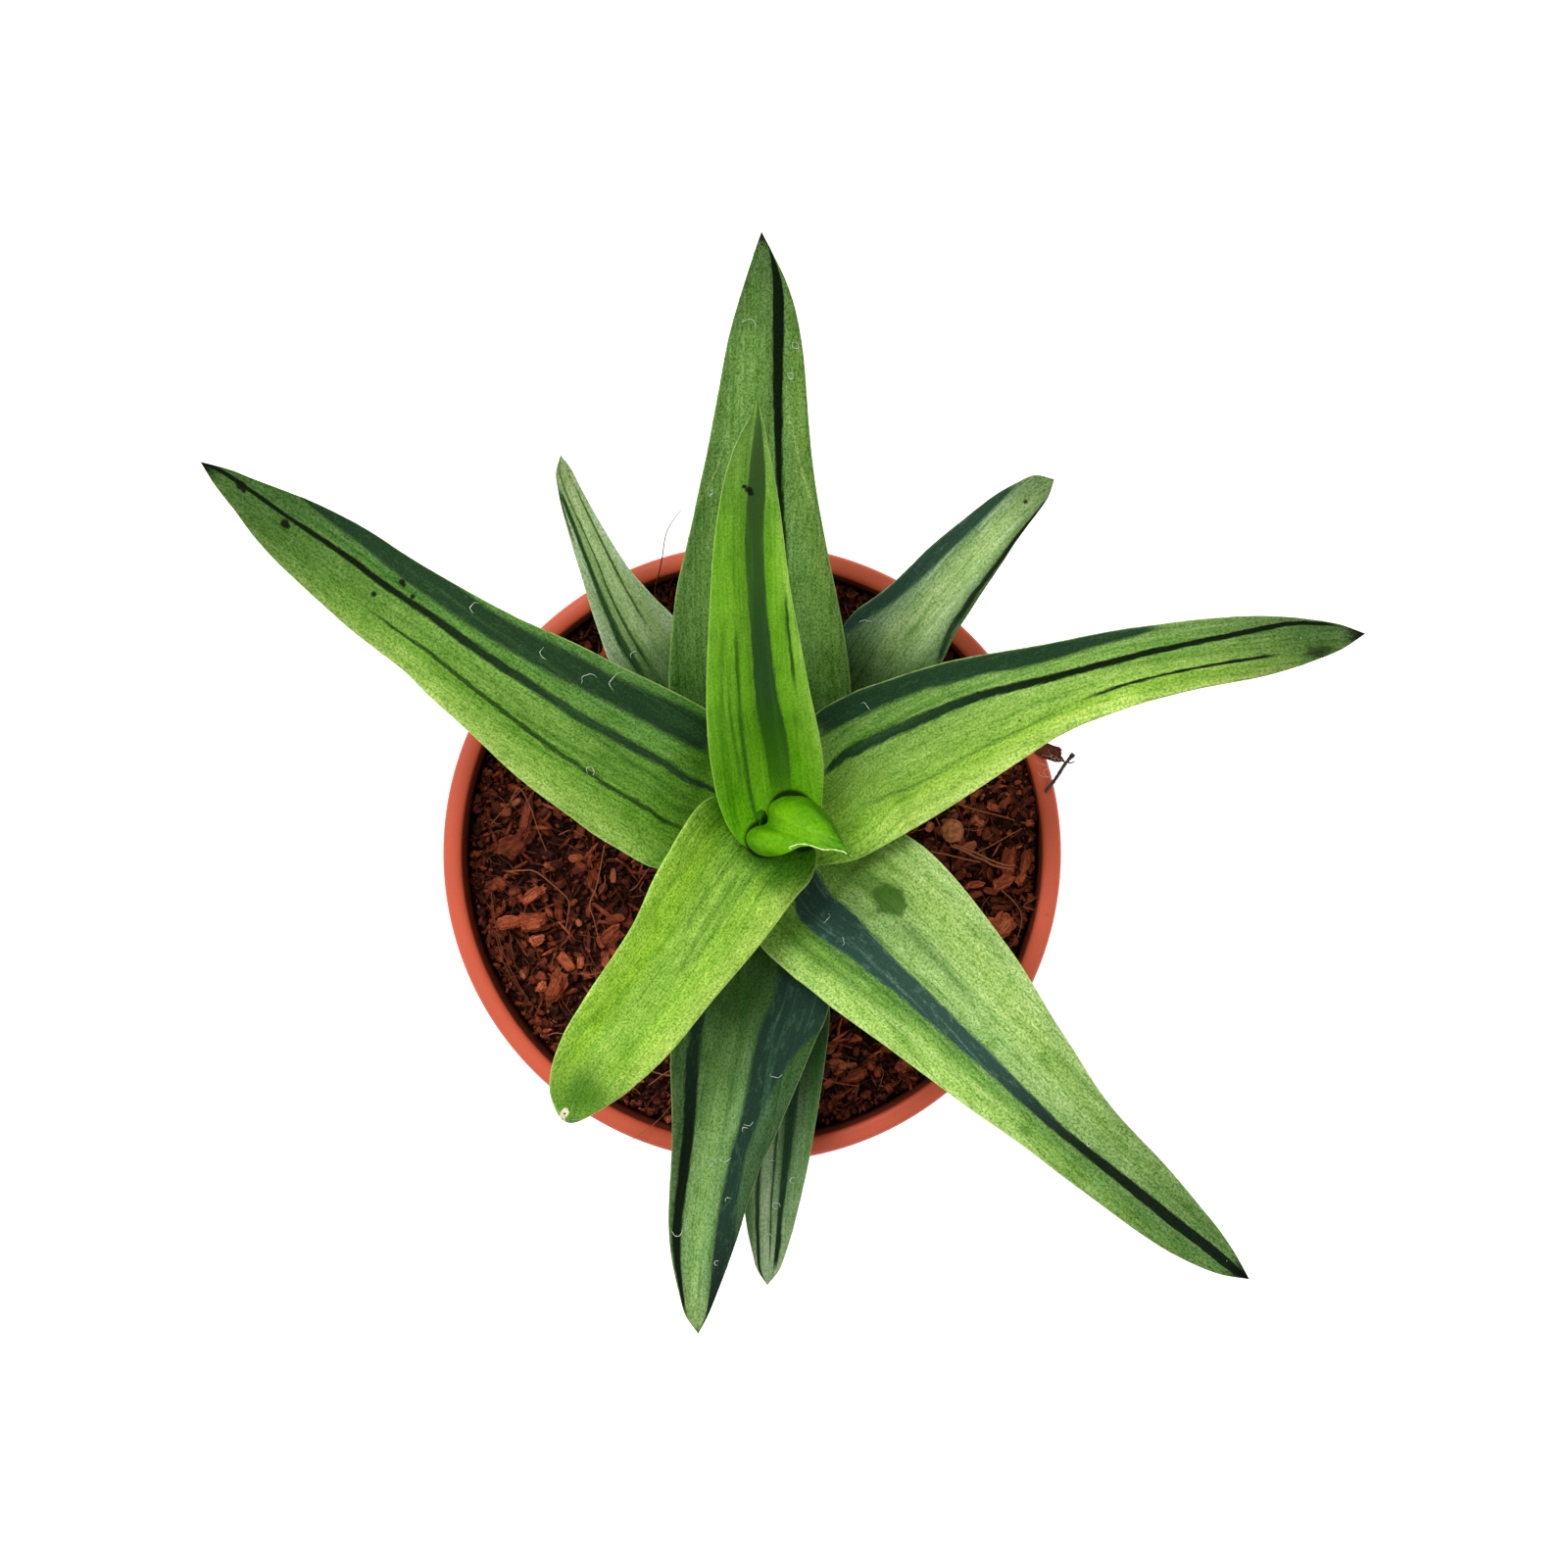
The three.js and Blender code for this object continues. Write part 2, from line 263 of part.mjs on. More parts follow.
// Youngest leaf: closed outlines from its foot upwards, drawing in towards the tip.
const HEART = [
  { z: 127.7, xy: [[4.95, 4.76], [4.95, 5.38], [5.12, 5.72], [5.46, 5.97], [5.85, 6.14], [6.41, 6.16], [6.97, 6.11], [7.53, 5.83], [7.98, 5.49], [8.37, 5.04], [8.65, 4.6], [8.93, 4.15], [9.15, 3.64], [9.38, 3.14], [9.66, 2.64], [9.21, 2.97], [8.7, 3.11], [8.14, 3.14], [7.7, 3.28], [7.19, 3.45], [6.58, 3.42], [6.13, 3.06], [5.74, 2.86], [5.29, 2.72], [4.84, 2.69], [4.39, 2.8], [4.0, 3.06], [3.75, 3.42], [3.69, 3.81], [3.89, 4.18], [4.28, 4.4], [4.73, 4.51]] },
  { z: 129.6, xy: [[4.47, 5.3], [4.47, 6.33], [4.75, 6.89], [5.31, 7.31], [5.96, 7.59], [6.89, 7.63], [7.82, 7.54], [8.75, 7.07], [9.5, 6.52], [10.15, 5.77], [10.62, 5.02], [11.08, 4.28], [11.46, 3.44], [11.83, 2.6], [12.29, 1.77], [11.55, 2.32], [10.71, 2.56], [9.78, 2.6], [9.03, 2.84], [8.2, 3.12], [7.17, 3.07], [6.43, 2.46], [5.77, 2.14], [5.03, 1.9], [4.28, 1.86], [3.54, 2.04], [2.89, 2.46], [2.47, 3.07], [2.37, 3.72], [2.7, 4.33], [3.35, 4.7], [4.1, 4.89]] },
  { z: 132.2, xy: [[3.75, 6.11], [3.75, 7.74], [4.2, 8.63], [5.09, 9.3], [6.13, 9.75], [7.61, 9.82], [9.1, 9.67], [10.59, 8.93], [11.77, 8.04], [12.81, 6.85], [13.56, 5.66], [14.3, 4.47], [14.89, 3.14], [15.49, 1.8], [16.23, 0.46], [15.04, 1.35], [13.71, 1.73], [12.22, 1.8], [11.03, 2.17], [9.69, 2.62], [8.06, 2.54], [6.87, 1.58], [5.83, 1.06], [4.64, 0.69], [3.45, 0.61], [2.27, 0.91], [1.23, 1.58], [0.56, 2.54], [0.41, 3.58], [0.93, 4.55], [1.97, 5.14], [3.16, 5.44]] },
  { z: 134.6, xy: [[3.4, 6.52], [3.4, 8.45], [3.92, 9.51], [4.98, 10.3], [6.21, 10.83], [7.97, 10.92], [9.73, 10.74], [11.49, 9.86], [12.9, 8.81], [14.13, 7.4], [15.01, 5.99], [15.89, 4.58], [16.59, 3.0], [17.3, 1.42], [18.18, -0.17], [16.77, 0.89], [15.19, 1.33], [13.43, 1.42], [12.02, 1.86], [10.43, 2.38], [8.5, 2.3], [7.09, 1.15], [5.86, 0.54], [4.45, 0.1], [3.05, 0.01], [1.64, 0.36], [0.41, 1.15], [-0.39, 2.3], [-0.56, 3.53], [0.05, 4.67], [1.29, 5.37], [2.69, 5.73]] },
  { z: 137.0, xy: [[3.28, 6.67], [3.28, 8.7], [3.84, 9.81], [4.95, 10.64], [6.24, 11.19], [8.09, 11.28], [9.93, 11.1], [11.78, 10.18], [13.26, 9.07], [14.55, 7.59], [15.47, 6.11], [16.4, 4.63], [17.14, 2.97], [17.88, 1.31], [18.8, -0.35], [17.32, 0.76], [15.66, 1.22], [13.81, 1.31], [12.33, 1.77], [10.67, 2.33], [8.64, 2.23], [7.16, 1.03], [5.87, 0.39], [4.39, -0.07], [2.92, -0.17], [1.44, 0.2], [0.15, 1.03], [-0.69, 2.23], [-0.87, 3.53], [-0.22, 4.73], [1.07, 5.47], [2.55, 5.84]] },
  { z: 139.2, xy: [[3.83, 6.44], [3.83, 8.4], [4.36, 9.46], [5.43, 10.26], [6.67, 10.8], [8.45, 10.89], [10.23, 10.71], [12.01, 9.82], [13.43, 8.75], [14.67, 7.33], [15.56, 5.91], [16.45, 4.49], [17.16, 2.89], [17.87, 1.29], [18.76, -0.31], [17.34, 0.75], [15.74, 1.2], [13.96, 1.29], [12.54, 1.73], [10.94, 2.26], [8.98, 2.18], [7.56, 1.02], [6.32, 0.4], [4.89, -0.05], [3.47, -0.14], [2.05, 0.22], [0.81, 1.02], [0.01, 2.18], [-0.17, 3.42], [0.45, 4.58], [1.69, 5.29], [3.12, 5.64]] },
  { z: 141.4, xy: [[4.83, 6.01], [4.83, 7.83], [5.32, 8.82], [6.31, 9.57], [7.47, 10.06], [9.12, 10.15], [10.78, 9.98], [12.43, 9.15], [13.76, 8.16], [14.91, 6.84], [15.74, 5.52], [16.57, 4.19], [17.23, 2.7], [17.89, 1.22], [18.72, -0.27], [17.39, 0.72], [15.91, 1.13], [14.25, 1.22], [12.93, 1.63], [11.44, 2.13], [9.62, 2.04], [8.3, 0.97], [7.14, 0.39], [5.82, -0.02], [4.49, -0.11], [3.17, 0.22], [2.01, 0.97], [1.27, 2.04], [1.1, 3.2], [1.68, 4.28], [2.84, 4.94], [4.16, 5.27]] },
  { z: 143.6, xy: [[6.5, 5.28], [6.5, 6.87], [6.94, 7.74], [7.81, 8.39], [8.82, 8.82], [10.27, 8.89], [11.71, 8.75], [13.16, 8.03], [14.32, 7.16], [15.33, 6.0], [16.06, 4.84], [16.78, 3.68], [17.36, 2.38], [17.94, 1.08], [18.67, -0.23], [17.51, 0.64], [16.2, 1.0], [14.76, 1.08], [13.6, 1.44], [12.29, 1.87], [10.7, 1.8], [9.54, 0.86], [8.53, 0.35], [7.37, -0.01], [6.21, -0.08], [5.05, 0.21], [4.04, 0.86], [3.39, 1.8], [3.24, 2.81], [3.75, 3.75], [4.76, 4.33], [5.92, 4.62]] },
  { z: 145.6, xy: [[9.08, 4.13], [9.08, 5.38], [9.42, 6.06], [10.1, 6.57], [10.9, 6.91], [12.03, 6.96], [13.16, 6.85], [14.3, 6.28], [15.2, 5.6], [16.0, 4.7], [16.56, 3.79], [17.13, 2.88], [17.58, 1.86], [18.04, 0.84], [18.61, -0.18], [17.7, 0.5], [16.68, 0.78], [15.54, 0.84], [14.64, 1.12], [13.62, 1.46], [12.37, 1.41], [11.46, 0.67], [10.67, 0.27], [9.76, -0.01], [8.85, -0.07], [7.95, 0.16], [7.15, 0.67], [6.64, 1.41], [6.53, 2.2], [6.93, 2.94], [7.72, 3.39], [8.63, 3.62]] },
  { z: 147.4, xy: [[12.41, 2.64], [12.41, 3.45], [12.63, 3.88], [13.06, 4.21], [13.58, 4.43], [14.31, 4.47], [15.04, 4.39], [15.77, 4.03], [16.35, 3.59], [16.86, 3.01], [17.23, 2.42], [17.59, 1.84], [17.88, 1.18], [18.17, 0.53], [18.54, -0.13], [17.96, 0.31], [17.3, 0.49], [16.57, 0.53], [15.98, 0.71], [15.33, 0.93], [14.52, 0.89], [13.94, 0.42], [13.43, 0.16], [12.85, -0.02], [12.26, -0.06], [11.68, 0.09], [11.17, 0.42], [10.84, 0.89], [10.77, 1.4], [11.02, 1.88], [11.53, 2.17], [12.12, 2.31]] },
  { z: 148.6, xy: [[15.88, 1.09], [15.88, 1.43], [15.97, 1.61], [16.16, 1.75], [16.37, 1.85], [16.68, 1.86], [16.99, 1.83], [17.3, 1.67], [17.55, 1.49], [17.77, 1.24], [17.92, 0.99], [18.08, 0.75], [18.2, 0.47], [18.33, 0.19], [18.48, -0.09], [18.23, 0.09], [17.95, 0.17], [17.64, 0.19], [17.4, 0.27], [17.12, 0.36], [16.78, 0.34], [16.53, 0.14], [16.31, 0.03], [16.06, -0.04], [15.82, -0.06], [15.57, 0.0], [15.35, 0.14], [15.21, 0.34], [15.18, 0.56], [15.29, 0.76], [15.51, 0.88], [15.75, 0.95]] },
];
const HEART_TIP = [18.44, -0.07, 149.2];

// ---------- helpers ----------
function meshOf(name, geometry, color, roughness, metalness = 0) {
  const m = new THREE.Mesh(geometry, new THREE.MeshStandardMaterial({ color, roughness, metalness }));
  m.name = name;
  return m;
}

function geometryFrom(points, faces) {
  const g = new THREE.BufferGeometry();
  g.setAttribute('position', new THREE.Float32BufferAttribute(points.flat(), 3));
  g.setIndex(faces.flat());
  return outward(g);
}

// flips every face if the enclosed volume comes out negative
function outward(g) {
  const p = g.attributes.position, ix = g.index;
  const a = new THREE.Vector3(), b = new THREE.Vector3(), c = new THREE.Vector3();
  let v = 0;
  for (let i = 0; i < ix.count; i += 3) {
    a.fromBufferAttribute(p, ix.getX(i)); b.fromBufferAttribute(p, ix.getX(i + 1)); c.fromBufferAttribute(p, ix.getX(i + 2));
    v += a.dot(b.cross(c));
  }
  if (v < 0) {
    for (let i = 0; i < ix.count; i += 3) { const t = ix.getX(i + 1); ix.setX(i + 1, ix.getX(i + 2)); ix.setX(i + 2, t); }
  }
  return g;
}

function solidOf(geometry) {
  const g0 = geometry.clone();
  g0.deleteAttribute('normal'); g0.deleteAttribute('uv');
  const g = BufferGeometryUtils.mergeVertices(g0, 1e-4);
  return new wasm.Manifold(new wasm.Mesh({
    numProp: 3,
    vertProperties: new Float32Array(g.attributes.position.array),
    triVerts: new Uint32Array(g.index.array),
  }));
}

function geometryOf(solid) {
  const m = solid.getMesh();
  const g = new THREE.BufferGeometry();
  const pos = new Float32Array(m.numVert * 3);
  for (let i = 0; i < m.numVert; i++) for (let k = 0; k < 3; k++) pos[i * 3 + k] = m.vertProperties[i * m.numProp + k];
  g.setAttribute('position', new THREE.BufferAttribute(pos, 3));
  g.setIndex(Array.from(m.triVerts));
  return g;
}

function lathe(profile, segments) {
  const g = new THREE.LatheGeometry(profile.map(([r, z]) => new THREE.Vector2(r, z)), segments);
  g.rotateX(Math.PI / 2);      // the lathe's own axis is +Y
  const clean = g.clone();
  clean.deleteAttribute('normal'); clean.deleteAttribute('uv');
  const merged = BufferGeometryUtils.mergeVertices(clean, 1e-4);
  // drop the triangles that collapse on the axis
  const out = [];
  for (let i = 0; i < merged.index.count; i += 3) {
    const [a, b, c] = [merged.index.getX(i), merged.index.getX(i + 1), merged.index.getX(i + 2)];
    if (a !== b && b !== c && a !== c) out.push(a, b, c);
  }
  merged.setIndex(out);
  return outward(merged);
}

function cylinderZ(r, z0, z1, x, y, segments) {
  const g = new THREE.CylinderGeometry(r, r, z1 - z0, segments);
  g.rotateX(Math.PI / 2);
  g.translate(x, y, (z0 + z1) / 2);
  return g;
}

// closed skin over rings of equal length, with a flat first end and a pointed or flat last end
function skin(rings, tip) {
  const n = rings[0].length, pts = rings.flat(), faces = [];
  for (let i = 0; i + 1 < rings.length; i++) {
    for (let j = 0; j < n; j++) {
      const a = i * n + j, b = i * n + (j + 1) % n, c = a + n, d = b + n;
      faces.push([a, b, d], [a, d, c]);
    }
  }
  const mean = (ring) => [0, 1, 2].map((k) => ring.reduce((s, p) => s + p[k], 0) / n);
  pts.push(mean(rings[0])); const s = pts.length - 1;
  for (let j = 0; j < n; j++) faces.push([s, (j + 1) % n, j]);
  pts.push(tip || mean(rings[rings.length - 1])); const e = pts.length - 1, o = (rings.length - 1) * n;
  for (let j = 0; j < n; j++) faces.push([e, o + j, o + (j + 1) % n]);
  return geometryFrom(pts, faces);
}

// A fleshy leaf: hollow upper face, rounded underside, thin margins.
const TOP_V = [-1, -0.55, 0, 0.55, 1];
const UNDER_V = [0.68, 0, -0.68];
function leafGeometry(rows) {
  const V = (x, y, z) => new THREE.Vector3(x, y, z);
  const left = rows.map((r) => V(r[0], r[1], r[2])), right = rows.map((r) => V(r[3], r[4], r[5]));
  const mid = left.map((l, i) => l.clone().add(right[i]).multiplyScalar(0.5));
  const rings = [];
  for (let i = 0; i + 1 < rows.length; i++) {
    const [hollow, thick] = [rows[i][6], rows[i][7]];
    const along = mid[Math.min(i + 1, rows.length - 1)].clone().sub(mid[Math.max(i - 1, 0)]).normalize();
    const across = right[i].clone().sub(left[i]).normalize();
    const n = across.clone().cross(along).normalize();
    const half = right[i].clone().sub(left[i]).multiplyScalar(0.5);
    const at = (v, drop) => mid[i].clone().addScaledVector(half, v).addScaledVector(n, -hollow * (1 - v * v) - drop).toArray();
    rings.push([
      ...TOP_V.map((v) => at(v, 0)),
      ...UNDER_V.map((v) => at(v * 0.97, thick * (1 - Math.pow(Math.abs(v), 2.4)))),
    ]);
  }
  return skin(rings, mid[rows.length - 1].toArray());
}

// An irregular flake with a rounded, knobbly outline.
function flakeGeometry(length, width, thick, seed) {
  const n = 9, rings = [];
  const wob = (k) => 1 + 0.22 * Math.sin(seed * 3.1 + k * 2.3) + 0.12 * Math.sin(seed * 7.7 + k * 4.1);
  for (const [h, s] of [[0, 0.78], [0.35, 1], [0.75, 0.94], [1, 0.62]]) {
    const ring = [];
    for (let k = 0; k < n; k++) {
      const a = (2 * Math.PI * k) / n;
      ring.push([0.5 * length * Math.cos(a) * wob(k) * s, 0.5 * width * Math.sin(a) * wob(k) * s, thick * h]);
    }
    rings.push(ring);
  }
  return skin(rings);
}

const root = new THREE.Group();

// ---------- pot ----------
const R = POT_RIM_D / 2, H = POT_HEIGHT, RB = POT_BASE_D / 2;
const zCollar = H - COLLAR_HEIGHT;
const rWallTop = R - 5.4;                              // outside of the wall just under the collar
const innerAt = (z) => RB - POT_WALL + (rWallTop - RB) * (z - 0) / zCollar;
const potProfile = [
  [0, 0], [RB - 2.0, 0], [RB - 0.6, 0.5], [RB, 1.8],
  [rWallTop, zCollar], [R - 2.5, zCollar + 0.8], [R - 2.1, zCollar + 2.2],
  [R - 0.9, H - 4.0], [R - 0.1, H - 3.0], [R, H - 1.6], [R - 0.5, H - 0.5], [R - 1.3, H],
  [R - 2.3, H], [R - LIP_WIDTH + 0.2, H - 0.5], [R - LIP_WIDTH, H - 1.6],
  [R - LIP_WIDTH - 0.5, zCollar + 2.5], [innerAt(zCollar - 2), zCollar - 2],
  [innerAt(POT_FLOOR + 2), POT_FLOOR + 2], [innerAt(POT_FLOOR) - 2, POT_FLOOR], [0, POT_FLOOR],
];
let pot = solidOf(lathe(potProfile, POT_SEGMENTS));
for (let i = 0; i < DRAIN_COUNT; i++) {
  const a = (2 * Math.PI * i) / DRAIN_COUNT + 0.3;
  pot = pot.subtract(solidOf(cylinderZ(DRAIN_D / 2, -1, POT_FLOOR + 1, DRAIN_PITCH_R * Math.cos(a), DRAIN_PITCH_R * Math.sin(a), 20)));
}
root.add(meshOf('pot', geometryOf(pot), 0xc85a40, 0.5));

// ---------- growing mix ----------
const lump = (x, y) => SOIL_ROUGH * (0.5 * Math.sin(0.31 * x + 1.3) * Math.cos(0.27 * y - 0.4)
  + 0.35 * Math.sin(0.62 * x - 0.55 * y + 2.0) + 0.3 * Math.cos(0.83 * y + 0.21 * x));
const soilR = (z) => innerAt(z) - GAP;
const soilRings = [];
const nSoil = 48;
const ringAt = (r, zf) => Array.from({ length: nSoil }, (_, k) => {
  const a = (2 * Math.PI * k) / nSoil, x = r * Math.cos(a), y = r * Math.sin(a);
  return [x, y, zf(x, y)];
});
soilRings.push(ringAt(soilR(POT_FLOOR + 2) - 3.2, () => POT_FLOOR + GAP));
soilRings.push(ringAt(soilR(POT_FLOOR + 2) - 0.2, () => POT_FLOOR + 2.4));
soilRings.push(ringAt(soilR(zCollar - 4) - 0.1, () => zCollar - 4));
soilRings.push(ringAt(soilR(zCollar - 2.4) - 0.1, () => zCollar - 2.4));
soilRings.push(ringAt(R - LIP_WIDTH - 0.9, () => zCollar + 3.0));
soilRings.push(ringAt(R - LIP_WIDTH - 0.8, (x, y) => SOIL_TOP - 1.4 + lump(x, y)));
for (const r of [52.5, 47, 41, 35, 29, 22, 15, 9]) {
  const flat = r < 20 ? (r - 5) / 15 : 1;
  soilRings.push(ringAt(r, (x, y) => SOIL_TOP - 0.6 * (1 - flat) + flat * lump(x, y)));
}
const soilSolid = solidOf(skin(soilRings, [0, 0, SOIL_TOP - 0.6]))
  .subtract(solidOf(cylinderZ(STEM.rBase + GAP + 0.2, STEM.z0 - GAP, SOIL_TOP + 6, STEM.x, STEM.y, 28)));
root.add(meshOf('growing_mix', geometryOf(soilSolid), 0x3c1e14, 0.95));

// ---------- stem ----------
const stemGeometry = lathe([
  [0, STEM.z0], [STEM.rBase - 1, STEM.z0], [STEM.rBase, STEM.z0 + 2], [STEM.rBase - 0.3, SOIL_TOP],
  [STEM.r, SOIL_TOP + 1.6], [STEM.r, STEM.z1 - 1], [STEM.r - 0.8, STEM.z1], [0, STEM.z1],
], 20);
stemGeometry.translate(STEM.x, STEM.y, 0);
root.add(meshOf('stem', stemGeometry, 0x6f8a3a, 0.7));

// ---------- leaves ----------
const LEAF_COLOURS = {
  leaf_left: 0x86b84a, leaf_back: 0x5f913c, leaf_inner_back: 0x7fc21e, leaf_small_back_left: 0xa0b478,
  leaf_small_back_right: 0x8cb469, leaf_right: 0x88b84e, leaf_front_right: 0x92b868, leaf_inner_front_left: 0x86c63a,
  leaf_front: 0x6f9c4c, leaf_small_front: 0x6a9a58,
};
for (const [name, rows] of Object.entries(LEAF)) root.add(meshOf(name, leafGeometry(rows), LEAF_COLOURS[name], 0.45));

// youngest leaf, still folded, standing over the growing point
const heart = skin(HEART.map((s) => s.xy.map(([x, y]) => [x, y, s.z])), HEART_TIP);
root.add(meshOf('leaf_heart', heart, 0x55a50a, 0.4));

// bud leaf in the notch of the youngest leaf
const budAt = { x: 1.95, y: 6.9, z0: 127.9, z1: 137.5 };
const budGeometry = lathe([[0, budAt.z0], [0.7, budAt.z0], [1.2, budAt.z0 + 2.4], [1.05, budAt.z0 + 5.5], [0.55, budAt.z0 + 8.3], [0, budAt.z1]], 12);
budGeometry.translate(budAt.x, budAt.y, 0);
root.add(meshOf('leaf_bud', budGeometry, 0x4f9a10, 0.45));

// ---------- loose pieces on the growing mix ----------
const loose = (name, geometry, x, y, z, yaw, color, rx = 0) => {
  const m = meshOf(name, geometry, color, 0.85);
  m.position.set(x, y, z);
  m.rotation.set(rx, 0, yaw);
  root.add(m);
};
const Z = SOIL_TOP + 1.9;
const FLAKES = [
  // name, length, width, thickness, x, y, yaw, seed
  ['bark_chip_left', 6.4, 4.4, 2.2, -43.3, -14.2, 0.2, 1],
  ['bark_chip_left_low', 7.0, 3.6, 2.0, -38.5, -27.0, 1.1, 2],
  ['bark_chip_front_left', 5.4, 3.4, 1.9, -30.5, -38.5, 0.7, 3],
  ['bark_chip_right', 6.2, 2.9, 2.0, 50.6, -2.2, 1.45, 4],
  ['bark_chip_right_low', 5.6, 3.8, 2.1, 47.6, -15.5, 2.5, 5],
  ['bark_chip_front', 6.6, 3.4, 2.0, 31.0, -41.0, 1.0, 6],
  ['bark_chip_back_left', 5.6, 3.6, 2.0, -27.5, 39.5, 0.5, 7],
  ['bark_chip_back_right', 5.8, 3.4, 2.0, 40.5, 31.5, 2.3, 8],
];
for (const [name, l, w, t, x, y, yaw, seed] of FLAKES) loose(name, flakeGeometry(l, w, t, seed), x, y, Z, yaw, 0xa05a32);

// caught on the lip at the right: a longer flake and a thin twig
loose('bark_chip_lip', flakeGeometry(7.4, 3.0, 1.5, 9), 57.7, 20.3, H + 0.1, -0.39, 0x6a3a26);
const twigPath = [[57.3, 11.9, 105.55, 0.4], [58.3, 13.2, 105.9, 0.42], [59.6, 15.1, 106.6, 0.38], [60.9, 17.2, 107.3, 0.4], [62.6, 19.3, 108.2, 0.3]];
const twigRings = twigPath.map(([x, y, z, r]) => Array.from({ length: 8 }, (_, k) => {
  const a = (2 * Math.PI * k) / 8;
  return [x + r * Math.cos(a) * 0.82, y - r * Math.cos(a) * 0.57, z + r * Math.sin(a)];
}));
root.add(meshOf('lip_twig', skin(twigRings), 0x2c2422, 0.9));

const pellet = new THREE.IcosahedronGeometry(2.3, 1);
pellet.deleteAttribute('normal'); pellet.deleteAttribute('uv');
loose('clay_pellet', BufferGeometryUtils.mergeVertices(pellet, 1e-4), 39.4, 4.3, Z + 2.3, 0, 0x9c5a34);

export default root;
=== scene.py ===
import math
import random

import bmesh
import bpy
import numpy as np
from mathutils import Matrix, Vector, noise


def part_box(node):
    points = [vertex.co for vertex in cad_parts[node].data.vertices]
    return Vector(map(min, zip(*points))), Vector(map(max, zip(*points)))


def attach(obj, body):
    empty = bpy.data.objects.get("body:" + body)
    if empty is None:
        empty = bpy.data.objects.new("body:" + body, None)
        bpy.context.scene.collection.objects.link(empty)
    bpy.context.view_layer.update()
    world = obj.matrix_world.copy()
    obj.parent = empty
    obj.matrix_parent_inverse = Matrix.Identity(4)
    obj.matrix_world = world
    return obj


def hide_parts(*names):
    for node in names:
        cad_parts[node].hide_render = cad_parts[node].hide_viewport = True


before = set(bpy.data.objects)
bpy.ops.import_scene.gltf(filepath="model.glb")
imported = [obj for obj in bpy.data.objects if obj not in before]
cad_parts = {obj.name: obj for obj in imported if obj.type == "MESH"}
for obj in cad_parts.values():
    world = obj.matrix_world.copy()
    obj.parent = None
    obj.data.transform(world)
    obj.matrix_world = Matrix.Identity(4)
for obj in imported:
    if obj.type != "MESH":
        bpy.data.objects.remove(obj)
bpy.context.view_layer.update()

MM = 0.001
scene = bpy.context.scene

# ------------------------------------------------------------------ camera
# Straight above the pot, a little behind and to the right of its middle.
RIM_Z = 105 * MM
CAM_DIST = 900 * MM
CAM_XY = (6.24 * MM, 13.5 * MM)
VIEW_WIDTH = 306.4 * MM          # seen at the height of the lip
cam_data = bpy.data.cameras.new("camera")
cam_data.sensor_width = 36.0
cam_data.sensor_fit = "HORIZONTAL"
cam_data.lens = 36.0 * CAM_DIST / VIEW_WIDTH
cam_data.clip_start = 0.01
cam_data.clip_end = 20
cam = bpy.data.objects.new("camera", cam_data)
cam.location = (CAM_XY[0], CAM_XY[1], RIM_Z + CAM_DIST)
scene.collection.objects.link(cam)
scene.camera = cam

# ------------------------------------------------------------------ helpers
def srgb(r, g, b):
    """0-255 display colour to scene-linear."""
    out = []
    for c in (r, g, b):
        c = c / 255.0
        out.append(c / 12.92 if c <= 0.04045 else ((c + 0.055) / 1.055) ** 2.4)
    return (*out, 1.0)


def new_object(name, verts, faces, smooth=True):
    me = bpy.data.meshes.new(name)
    me.from_pydata([tuple(v) for v in verts], [], faces)
    me.validate()
    me.update()
    if smooth:
        me.polygons.foreach_set("use_smooth", [True] * len(me.polygons))
    ob = bpy.data.objects.new(name, me)
    scene.collection.objects.link(ob)
    return ob


def fbm(p, octaves=4):
    """Fractal noise about 0, roughly -1..1."""
    s, a, f = 0.0, 1.0, 1.0
    for _ in range(octaves):
        s += a * noise.noise(Vector(p) * f)
        a *= 0.5
        f *= 2.03
    return s


